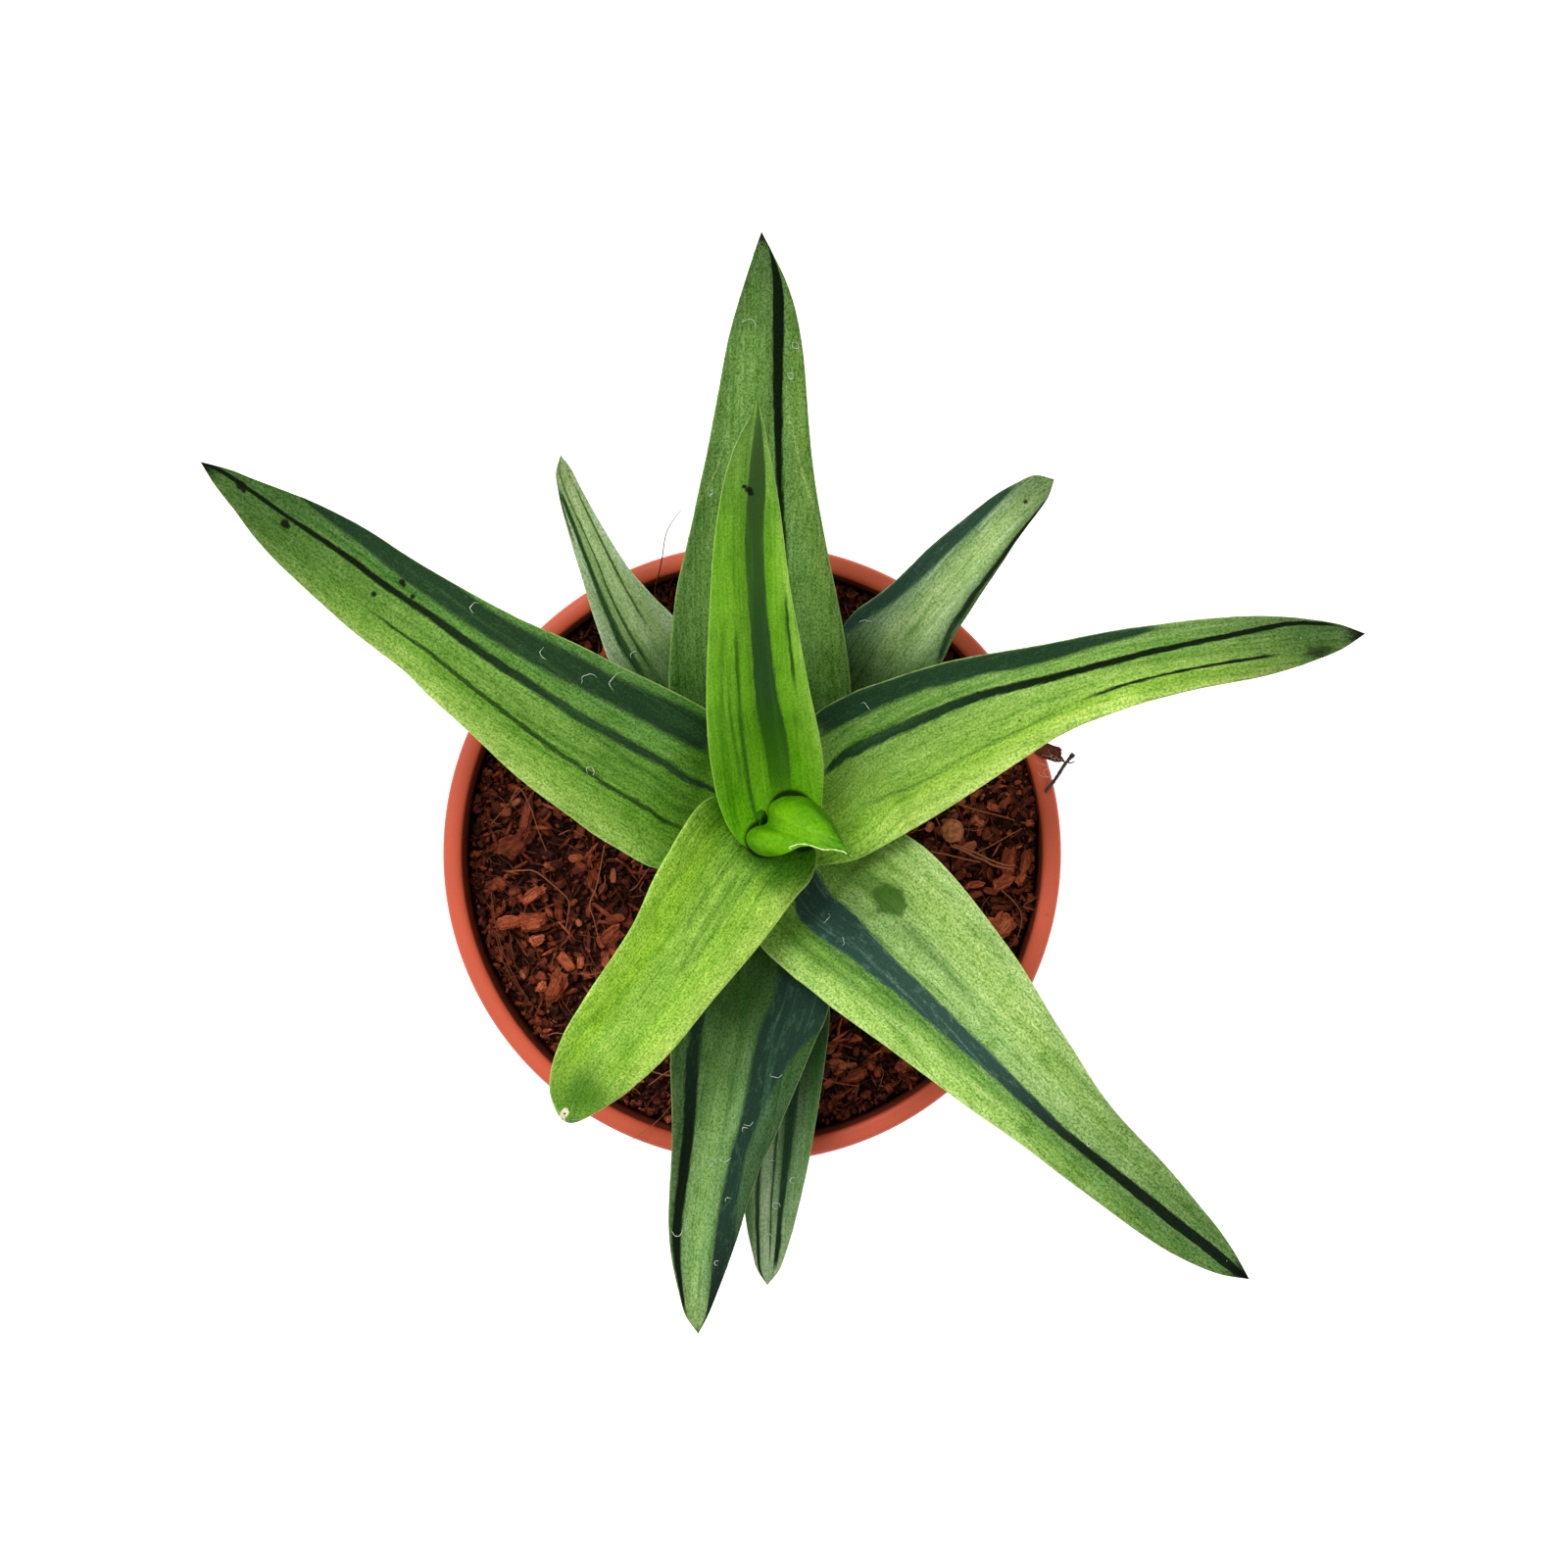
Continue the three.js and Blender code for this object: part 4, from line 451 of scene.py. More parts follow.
HEART = [
    (127.7, [(4.95, 4.76), (4.95, 5.38), (5.12, 5.72), (5.46, 5.97), (5.85, 6.14), (6.41, 6.16), (6.97, 6.11), (7.53, 5.83), (7.98, 5.49), (8.37, 5.04), (8.65, 4.6), (8.93, 4.15), (9.15, 3.64), (9.38, 3.14), (9.66, 2.64), (9.21, 2.97), (8.7, 3.11), (8.14, 3.14), (7.7, 3.28), (7.19, 3.45), (6.58, 3.42), (6.13, 3.06), (5.74, 2.86), (5.29, 2.72), (4.84, 2.69), (4.39, 2.8), (4.0, 3.06), (3.75, 3.42), (3.69, 3.81), (3.89, 4.18), (4.28, 4.4), (4.73, 4.51)]),
    (129.6, [(4.47, 5.3), (4.47, 6.33), (4.75, 6.89), (5.31, 7.31), (5.96, 7.59), (6.89, 7.63), (7.82, 7.54), (8.75, 7.07), (9.5, 6.52), (10.15, 5.77), (10.62, 5.02), (11.08, 4.28), (11.46, 3.44), (11.83, 2.6), (12.29, 1.77), (11.55, 2.32), (10.71, 2.56), (9.78, 2.6), (9.03, 2.84), (8.2, 3.12), (7.17, 3.07), (6.43, 2.46), (5.77, 2.14), (5.03, 1.9), (4.28, 1.86), (3.54, 2.04), (2.89, 2.46), (2.47, 3.07), (2.37, 3.72), (2.7, 4.33), (3.35, 4.7), (4.1, 4.89)]),
    (132.2, [(3.75, 6.11), (3.75, 7.74), (4.2, 8.63), (5.09, 9.3), (6.13, 9.75), (7.61, 9.82), (9.1, 9.67), (10.59, 8.93), (11.77, 8.04), (12.81, 6.85), (13.56, 5.66), (14.3, 4.47), (14.89, 3.14), (15.49, 1.8), (16.23, 0.46), (15.04, 1.35), (13.71, 1.73), (12.22, 1.8), (11.03, 2.17), (9.69, 2.62), (8.06, 2.54), (6.87, 1.58), (5.83, 1.06), (4.64, 0.69), (3.45, 0.61), (2.27, 0.91), (1.23, 1.58), (0.56, 2.54), (0.41, 3.58), (0.93, 4.55), (1.97, 5.14), (3.16, 5.44)]),
    (134.6, [(3.4, 6.52), (3.4, 8.45), (3.92, 9.51), (4.98, 10.3), (6.21, 10.83), (7.97, 10.92), (9.73, 10.74), (11.49, 9.86), (12.9, 8.81), (14.13, 7.4), (15.01, 5.99), (15.89, 4.58), (16.59, 3.0), (17.3, 1.42), (18.18, -0.17), (16.77, 0.89), (15.19, 1.33), (13.43, 1.42), (12.02, 1.86), (10.43, 2.38), (8.5, 2.3), (7.09, 1.15), (5.86, 0.54), (4.45, 0.1), (3.05, 0.01), (1.64, 0.36), (0.41, 1.15), (-0.39, 2.3), (-0.56, 3.53), (0.05, 4.67), (1.29, 5.37), (2.69, 5.73)]),
    (137.0, [(3.28, 6.67), (3.28, 8.7), (3.84, 9.81), (4.95, 10.64), (6.24, 11.19), (8.09, 11.28), (9.93, 11.1), (11.78, 10.18), (13.26, 9.07), (14.55, 7.59), (15.47, 6.11), (16.4, 4.63), (17.14, 2.97), (17.88, 1.31), (18.8, -0.35), (17.32, 0.76), (15.66, 1.22), (13.81, 1.31), (12.33, 1.77), (10.67, 2.33), (8.64, 2.23), (7.16, 1.03), (5.87, 0.39), (4.39, -0.07), (2.92, -0.17), (1.44, 0.2), (0.15, 1.03), (-0.69, 2.23), (-0.87, 3.53), (-0.22, 4.73), (1.07, 5.47), (2.55, 5.84)]),
    (139.2, [(3.83, 6.44), (3.83, 8.4), (4.36, 9.46), (5.43, 10.26), (6.67, 10.8), (8.45, 10.89), (10.23, 10.71), (12.01, 9.82), (13.43, 8.75), (14.67, 7.33), (15.56, 5.91), (16.45, 4.49), (17.16, 2.89), (17.87, 1.29), (18.76, -0.31), (17.34, 0.75), (15.74, 1.2), (13.96, 1.29), (12.54, 1.73), (10.94, 2.26), (8.98, 2.18), (7.56, 1.02), (6.32, 0.4), (4.89, -0.05), (3.47, -0.14), (2.05, 0.22), (0.81, 1.02), (0.01, 2.18), (-0.17, 3.42), (0.45, 4.58), (1.69, 5.29), (3.12, 5.64)]),
    (141.4, [(4.83, 6.01), (4.83, 7.83), (5.32, 8.82), (6.31, 9.57), (7.47, 10.06), (9.12, 10.15), (10.78, 9.98), (12.43, 9.15), (13.76, 8.16), (14.91, 6.84), (15.74, 5.52), (16.57, 4.19), (17.23, 2.7), (17.89, 1.22), (18.72, -0.27), (17.39, 0.72), (15.91, 1.13), (14.25, 1.22), (12.93, 1.63), (11.44, 2.13), (9.62, 2.04), (8.3, 0.97), (7.14, 0.39), (5.82, -0.02), (4.49, -0.11), (3.17, 0.22), (2.01, 0.97), (1.27, 2.04), (1.1, 3.2), (1.68, 4.28), (2.84, 4.94), (4.16, 5.27)]),
    (143.6, [(6.5, 5.28), (6.5, 6.87), (6.94, 7.74), (7.81, 8.39), (8.82, 8.82), (10.27, 8.89), (11.71, 8.75), (13.16, 8.03), (14.32, 7.16), (15.33, 6.0), (16.06, 4.84), (16.78, 3.68), (17.36, 2.38), (17.94, 1.08), (18.67, -0.23), (17.51, 0.64), (16.2, 1.0), (14.76, 1.08), (13.6, 1.44), (12.29, 1.87), (10.7, 1.8), (9.54, 0.86), (8.53, 0.35), (7.37, -0.01), (6.21, -0.08), (5.05, 0.21), (4.04, 0.86), (3.39, 1.8), (3.24, 2.81), (3.75, 3.75), (4.76, 4.33), (5.92, 4.62)]),
    (145.6, [(9.08, 4.13), (9.08, 5.38), (9.42, 6.06), (10.1, 6.57), (10.9, 6.91), (12.03, 6.96), (13.16, 6.85), (14.3, 6.28), (15.2, 5.6), (16.0, 4.7), (16.56, 3.79), (17.13, 2.88), (17.58, 1.86), (18.04, 0.84), (18.61, -0.18), (17.7, 0.5), (16.68, 0.78), (15.54, 0.84), (14.64, 1.12), (13.62, 1.46), (12.37, 1.41), (11.46, 0.67), (10.67, 0.27), (9.76, -0.01), (8.85, -0.07), (7.95, 0.16), (7.15, 0.67), (6.64, 1.41), (6.53, 2.2), (6.93, 2.94), (7.72, 3.39), (8.63, 3.62)]),
    (147.4, [(12.41, 2.64), (12.41, 3.45), (12.63, 3.88), (13.06, 4.21), (13.58, 4.43), (14.31, 4.47), (15.04, 4.39), (15.77, 4.03), (16.35, 3.59), (16.86, 3.01), (17.23, 2.42), (17.59, 1.84), (17.88, 1.18), (18.17, 0.53), (18.54, -0.13), (17.96, 0.31), (17.3, 0.49), (16.57, 0.53), (15.98, 0.71), (15.33, 0.93), (14.52, 0.89), (13.94, 0.42), (13.43, 0.16), (12.85, -0.02), (12.26, -0.06), (11.68, 0.09), (11.17, 0.42), (10.84, 0.89), (10.77, 1.4), (11.02, 1.88), (11.53, 2.17), (12.12, 2.31)]),
    (148.6, [(15.88, 1.09), (15.88, 1.43), (15.97, 1.61), (16.16, 1.75), (16.37, 1.85), (16.68, 1.86), (16.99, 1.83), (17.3, 1.67), (17.55, 1.49), (17.77, 1.24), (17.92, 0.99), (18.08, 0.75), (18.2, 0.47), (18.33, 0.19), (18.48, -0.09), (18.23, 0.09), (17.95, 0.17), (17.64, 0.19), (17.4, 0.27), (17.12, 0.36), (16.78, 0.34), (16.53, 0.14), (16.31, 0.03), (16.06, -0.04), (15.82, -0.06), (15.57, 0.0), (15.35, 0.14), (15.21, 0.34), (15.18, 0.56), (15.29, 0.76), (15.51, 0.88), (15.75, 0.95)]),
]
HEART_TIP = (18.44, -0.07, 149.2)
STRIPES = {
    "leaf_left": [
        dict(kind="dark", soft=0.05, u=[0.091, 0.168, 0.245, 0.322, 0.4, 0.477, 0.554, 0.631, 0.708, 0.785, 0.862], lo=[0.6, 0.5, 0.5, 0.483, 0.45, 0.457, 0.475, 0.512, 0.575, 0.68, 1.0], hi=[0.95, 0.9, 0.87, 0.85, 0.86, 0.88, 0.93, 1.1, 1.3, 1.3, 1.3], blk=(0.62, 1.1)),
        dict(kind="dark", soft=0.03, u=[0.046, 0.131, 0.216, 0.301, 0.386, 0.471, 0.556, 0.641, 0.726, 0.81, 0.895, 0.98], lo=[0.17, 0.14, 0.11, 0.1, 0.1, 0.11, 0.12, 0.15, 0.15, 0.155, 0.22, 0.3], hi=[0.25, 0.24, 0.235, 0.23, 0.23, 0.26, 0.29, 0.3, 0.3, 0.3, 0.4, 0.8], blk=(0.25, 0.75)),
        dict(kind="line", soft=0.016, u=[0.066, 0.133, 0.201, 0.269, 0.336, 0.404, 0.471, 0.539, 0.607, 0.674], lo=[-0.47, -0.425, -0.43, -0.425, -0.425, -0.425, -0.425, -0.41, -0.44, -0.435], hi=[-0.41, -0.365, -0.37, -0.36, -0.355, -0.35, -0.345, -0.33, -0.375, -0.38]),
        dict(kind="faint", soft=0.05, u=[0.071, 0.12, 0.169, 0.219, 0.268, 0.318], lo=[0.013, -0.031, -0.049, -0.034, -0.003, 0.012], hi=[0.037, 0.015, 0.019, 0.055, 0.104, 0.138]),
        dict(kind="faint", soft=0.04, u=[0.116, 0.177, 0.237, 0.297, 0.357, 0.418], lo=[-0.137, -0.182, -0.228, -0.261, -0.282, -0.304], hi=[-0.113, -0.15, -0.185, -0.211, -0.229, -0.246]),
        dict(kind="faint", soft=0.05, u=[0.6, 0.68, 0.76, 0.84], lo=[0.34, 0.36, 0.4, 0.46], hi=[0.52, 0.5, 0.52, 0.56]),
    ],
    "leaf_right": [
        dict(kind="dark", soft=0.05, u=[0.131, 0.187, 0.242, 0.298, 0.354, 0.409, 0.465, 0.52, 0.576, 0.631, 0.687], lo=[-1.3, -1.3, -1.3, -1.3, -1.3, -1.3, -1.3, -1.3, -1.3, -1.3, -1.3], hi=[-0.725, -0.65, -0.661, -0.675, -0.619, -0.625, -0.574, -0.588, -0.662, -0.716, -0.875], blk=(0.9, 1.4)),
        dict(kind="dark", soft=0.026, u=[0.08, 0.125, 0.16, 0.22, 0.3, 0.38, 0.46, 0.54, 0.6, 0.66, 0.72, 0.78, 0.84, 0.9, 0.96], lo=[-0.53, -0.44, -0.375, -0.365, -0.365, -0.36, -0.31, -0.275, -0.28, -0.325, -0.375, -0.47, -0.65, -0.87, -1.0], hi=[-0.44, -0.31, -0.21, -0.205, -0.205, -0.205, -0.145, -0.105, -0.105, -0.155, -0.21, -0.3, -0.45, -0.68, -0.78], blk=(0.12, 0.55)),
        dict(kind="faint", soft=0.03, u=[0.087, 0.172, 0.258, 0.344, 0.429, 0.515, 0.6], lo=[0.27, 0.44, 0.48, 0.47, 0.5, 0.47, 0.41], hi=[0.33, 0.5, 0.53, 0.52, 0.56, 0.55, 0.5]),
        dict(kind="faint", soft=0.04, u=[0.126, 0.186, 0.247, 0.307, 0.367, 0.428], lo=[-0.401, -0.4, -0.441, -0.475, -0.471, -0.467], hi=[-0.349, -0.35, -0.388, -0.425, -0.429, -0.433]),
        dict(kind="dark", soft=0.026, u=[0.56, 0.62, 0.68, 0.74, 0.8, 0.86], lo=[0.44, 0.4, 0.38, 0.365, 0.335, 0.32], hi=[0.5, 0.475, 0.46, 0.45, 0.43, 0.43], blk=(0.3, 0.7)),
    ],
    "leaf_front_right": [
        dict(kind="teal", soft=0.03, u=[0.03, 0.1, 0.15, 0.2, 0.3, 0.4, 0.5, 0.6, 0.7, 0.8, 0.9, 0.95, 0.985], lo=[-0.02, 0.0, 0.03, 0.09, 0.12, 0.12, 0.09, 0.1, 0.02, -0.085, -0.24, -0.34, -0.4], hi=[0.42, 0.47, 0.475, 0.45, 0.41, 0.4, 0.35, 0.345, 0.265, 0.23, 0.2, 0.32, 0.62], blk=(0.44, 0.72)),
        dict(kind="faint", soft=0.04, u=[0.1, 0.16, 0.22, 0.28, 0.34, 0.4], lo=[0.47, 0.49, 0.48, 0.455, 0.45, 0.45], hi=[0.55, 0.56, 0.55, 0.52, 0.51, 0.5]),
        dict(kind="faint", soft=0.06, u=[0.1, 0.16, 0.22, 0.28, 0.34], lo=[0.6, 0.62, 0.6, 0.58, 0.56], hi=[0.7, 0.72, 0.69, 0.66, 0.62]),
        # painted highlight: this pale band along the lower-left side stands for light on the blade where it turns up
        dict(kind="pale", soft=0.05, u=[0.28, 0.36, 0.44, 0.52, 0.6], lo=[0.66, 0.64, 0.62, 0.6, 0.56], hi=[0.78, 0.76, 0.73, 0.7, 0.64]),
        dict(kind="faint", soft=0.08, u=[0.22, 0.28, 0.34, 0.4], lo=[-0.3, -0.32, -0.3, -0.26], hi=[-0.12, -0.14, -0.14, -0.14]),
    ],
    "leaf_front": [
        dict(kind="teal", soft=0.05, u=[0.2, 0.28, 0.34, 0.4, 0.46, 0.52, 0.58, 0.64, 0.7, 0.76, 0.82, 0.9, 0.97], lo=[-1.3, -1.2, -0.98, -0.8, -0.7, -0.62, -0.58, -0.6, -0.68, -0.8, -1.0, -1.2, -1.3], hi=[-0.2, -0.23, -0.21, -0.2, -0.23, -0.25, -0.27, -0.28, -0.29, -0.31, -0.36, -0.52, -0.76], blk=(0.7, 1.05)),
        dict(kind="dark", soft=0.035, u=[0.36, 0.42, 0.5, 0.58, 0.66, 0.74, 0.82, 0.9, 0.96], lo=[0.6, 0.57, 0.55, 0.55, 0.57, 0.6, 0.66, 0.74, 0.82], hi=[0.74, 0.76, 0.78, 0.79, 0.82, 0.86, 0.92, 0.96, 1.0], blk=(0.3, 0.7)),
        dict(kind="faint", soft=0.06, u=[0.276, 0.358, 0.44, 0.522, 0.604, 0.686], lo=[0.162, 0.027, -0.042, -0.041, -0.058, -0.072], hi=[0.238, 0.105, 0.042, 0.041, 0.009, -0.028]),
    ],
    "leaf_small_front": [
        dict(kind="dark", soft=0.05, u=[0.7, 0.76, 0.82, 0.88, 0.93, 0.97], lo=[0.4, 0.41, 0.43, 0.46, 0.54, 0.66], hi=[0.52, 0.56, 0.6, 0.64, 0.74, 0.86], blk=(0.7, 1.1)),
        dict(kind="dark", soft=0.05, u=[0.45, 0.56, 0.62, 0.7, 0.78, 0.84, 0.9, 0.96], lo=[-0.38, -0.42, -0.44, -0.45, -0.46, -0.47, -0.58, -0.66], hi=[-0.12, -0.14, -0.17, -0.19, -0.22, -0.26, -0.3, -0.38], blk=(0.6, 1.1)),
        dict(kind="line", soft=0.03, u=[0.62, 0.7, 0.78, 0.86, 0.94], lo=[0.0, -0.02, -0.03, -0.06, -0.12], hi=[0.08, 0.06, 0.05, 0.03, -0.02]),
        dict(kind="faint", soft=0.08, u=[0.428, 0.487, 0.546, 0.605, 0.663, 0.722], lo=[-0.889, -0.891, -0.913, -0.946, -0.948, -0.931], hi=[-0.711, -0.709, -0.724, -0.768, -0.802, -0.819]),
    ],
    "leaf_small_back_left": [
        dict(kind="dark", soft=0.05, u=[0.44, 0.5, 0.58, 0.66, 0.74, 0.8, 0.86, 0.92], lo=[-0.57, -0.6, -0.62, -0.62, -0.62, -0.64, -0.72, -0.88], hi=[-0.4, -0.4, -0.41, -0.42, -0.43, -0.42, -0.46, -0.66], blk=(0.8, 1.3)),
        dict(kind="line", soft=0.03, u=[0.447, 0.52, 0.6, 0.68, 0.75, 0.81, 0.86, 0.92, 0.97], lo=[-0.25, -0.25, -0.24, -0.2, -0.14, -0.16, -0.24, -0.4, -0.55], hi=[-0.19, -0.18, -0.17, -0.13, -0.07, -0.08, -0.16, -0.3, -0.42]),
        dict(kind="line", soft=0.04, u=[0.55, 0.62, 0.7, 0.78, 0.86, 0.92], lo=[0.26, 0.34, 0.42, 0.48, 0.53, 0.56], hi=[0.34, 0.42, 0.52, 0.59, 0.64, 0.68]),
        dict(kind="line", soft=0.05, u=[0.8, 0.85, 0.9, 0.94], lo=[-0.9, -0.94, -0.96, -0.96], hi=[-0.78, -0.8, -0.82, -0.84]),
    ],
    "leaf_small_back_right": [
        dict(kind="teal", soft=0.06, u=[0.438, 0.491, 0.545, 0.598, 0.652, 0.705, 0.759, 0.812, 0.866, 0.919], lo=[-1.3, -1.3, -1.3, -1.3, -1.3, -1.3, -1.3, -1.3, -1.3, -1.3], hi=[-0.875, -0.708, -0.645, -0.582, -0.538, -0.5, -0.501, -0.523, -0.588, -0.8], blk=(0.8, 1.2)),
        dict(kind="dark", soft=0.04, u=[0.515, 0.565, 0.615, 0.665, 0.715, 0.765, 0.815, 0.865, 0.915, 0.965], lo=[0.88, 0.8, 0.76, 0.755, 0.77, 0.8, 0.83, 0.85, 0.87, 0.88], hi=[0.98, 0.94, 0.92, 0.92, 0.93, 0.95, 0.97, 0.99, 1.0, 1.05], blk=(0.4, 0.9)),
    ],
    "leaf_back": [
        dict(kind="dark", soft=0.03, u=[0.423, 0.492, 0.56, 0.629, 0.698, 0.766, 0.835, 0.904, 0.972], lo=[0.4, 0.356, 0.314, 0.29, 0.254, 0.216, 0.216, 0.322, 0.806], hi=[0.425, 0.425, 0.425, 0.435, 0.45, 0.467, 0.538, 0.741, 1.0], blk=(0.3, 0.6)),
        dict(kind="pale", soft=0.02, u=[0.486, 0.53, 0.573, 0.617, 0.661, 0.705], lo=[0.936, 0.914, 0.83, 0.74, 0.666, 0.529], hi=[0.964, 0.944, 0.863, 0.776, 0.705, 0.571]),
        dict(kind="pale", soft=0.02, u=[0.543, 0.579, 0.615, 0.651], lo=[-0.987, -0.832, -0.756, -0.69], hi=[-0.963, -0.805, -0.727, -0.66]),
    ],
    "leaf_inner_back": [
        dict(kind="moss", soft=0.035, u=[0.09, 0.15, 0.2, 0.3, 0.4, 0.5, 0.6, 0.7, 0.8, 0.9, 0.97], lo=[0.0, -0.02, -0.04, -0.06, -0.065, -0.07, -0.1, -0.13, -0.09, -0.02, 0.0], hi=[0.4, 0.41, 0.41, 0.375, 0.35, 0.345, 0.375, 0.4, 0.56, 0.7, 0.75]),
        dict(kind="line", soft=0.03, u=[0.34, 0.4, 0.46, 0.52, 0.58], lo=[0.7, 0.71, 0.72, 0.76, 0.82], hi=[0.76, 0.78, 0.8, 0.84, 0.9]),
        dict(kind="faint", soft=0.04, u=[0.05, 0.12, 0.2, 0.28, 0.36, 0.44, 0.48], lo=[-0.44, -0.44, -0.43, -0.42, -0.42, -0.42, -0.4], hi=[-0.36, -0.35, -0.34, -0.33, -0.33, -0.33, -0.35], amt=0.8),
        dict(kind="faint", soft=0.06, u=[0.072, 0.158, 0.244, 0.33, 0.415, 0.501], lo=[-0.794, -0.771, -0.752, -0.734, -0.726, -0.719], hi=[-0.756, -0.723, -0.69, -0.661, -0.646, -0.631]),
        dict(kind="lime", soft=0.05, u=[0.08, 0.14, 0.2, 0.28, 0.36, 0.44], lo=[-0.3, -0.31, -0.31, -0.3, -0.3, -0.29], hi=[-0.17, -0.17, -0.17, -0.17, -0.18, -0.19]),
        dict(kind="faint", soft=0.04, u=[0.1, 0.2, 0.3, 0.4], lo=[-0.56, -0.57, -0.58, -0.56], hi=[-0.5, -0.5, -0.52, -0.5]),
    ],
    "leaf_inner_front_left": [
        dict(kind="faint", soft=0.02, u=[0.145, 0.196, 0.247, 0.298, 0.349], lo=[0.052, 0.07, 0.102, 0.117, 0.106], hi=[0.098, 0.122, 0.161, 0.166, 0.144]),
        dict(kind="faint", soft=0.05, u=[0.103, 0.169, 0.235, 0.301, 0.366, 0.432], lo=[-0.36, -0.331, -0.317, -0.317, -0.314, -0.309], hi=[-0.29, -0.254, -0.233, -0.233, -0.236, -0.241]),
        dict(kind="faint", soft=0.06, u=[0.15, 0.215, 0.281, 0.346, 0.412, 0.477], lo=[-0.153, -0.178, -0.192, -0.194, -0.215, -0.235], hi=[-0.097, -0.109, -0.108, -0.106, -0.135, -0.165]),
    ],
}
DOTS = {
    "leaf_left": [[119.62, 0.89, 0.85], [118.6, 0.5, 0.5], [109.04, 0.15, 0.8], [108.3, 0.0, 0.5], [88.01, -0.65, 0.55], [85.07, 4.19, 0.6], [84.4, 3.95, 0.4], [81.75, 3.16, 0.5]],
    "leaf_small_back_right": [[79.53, 0.46, 0.45]],
    "leaf_inner_back": [[87.4, -0.2, 0.75], [86.6, 0.15, 0.6], [88.2, -1.0, 0.5]],
    "leaf_front_right": [],
    "leaf_right": [[52.13, 3.88, 0.24]],
}
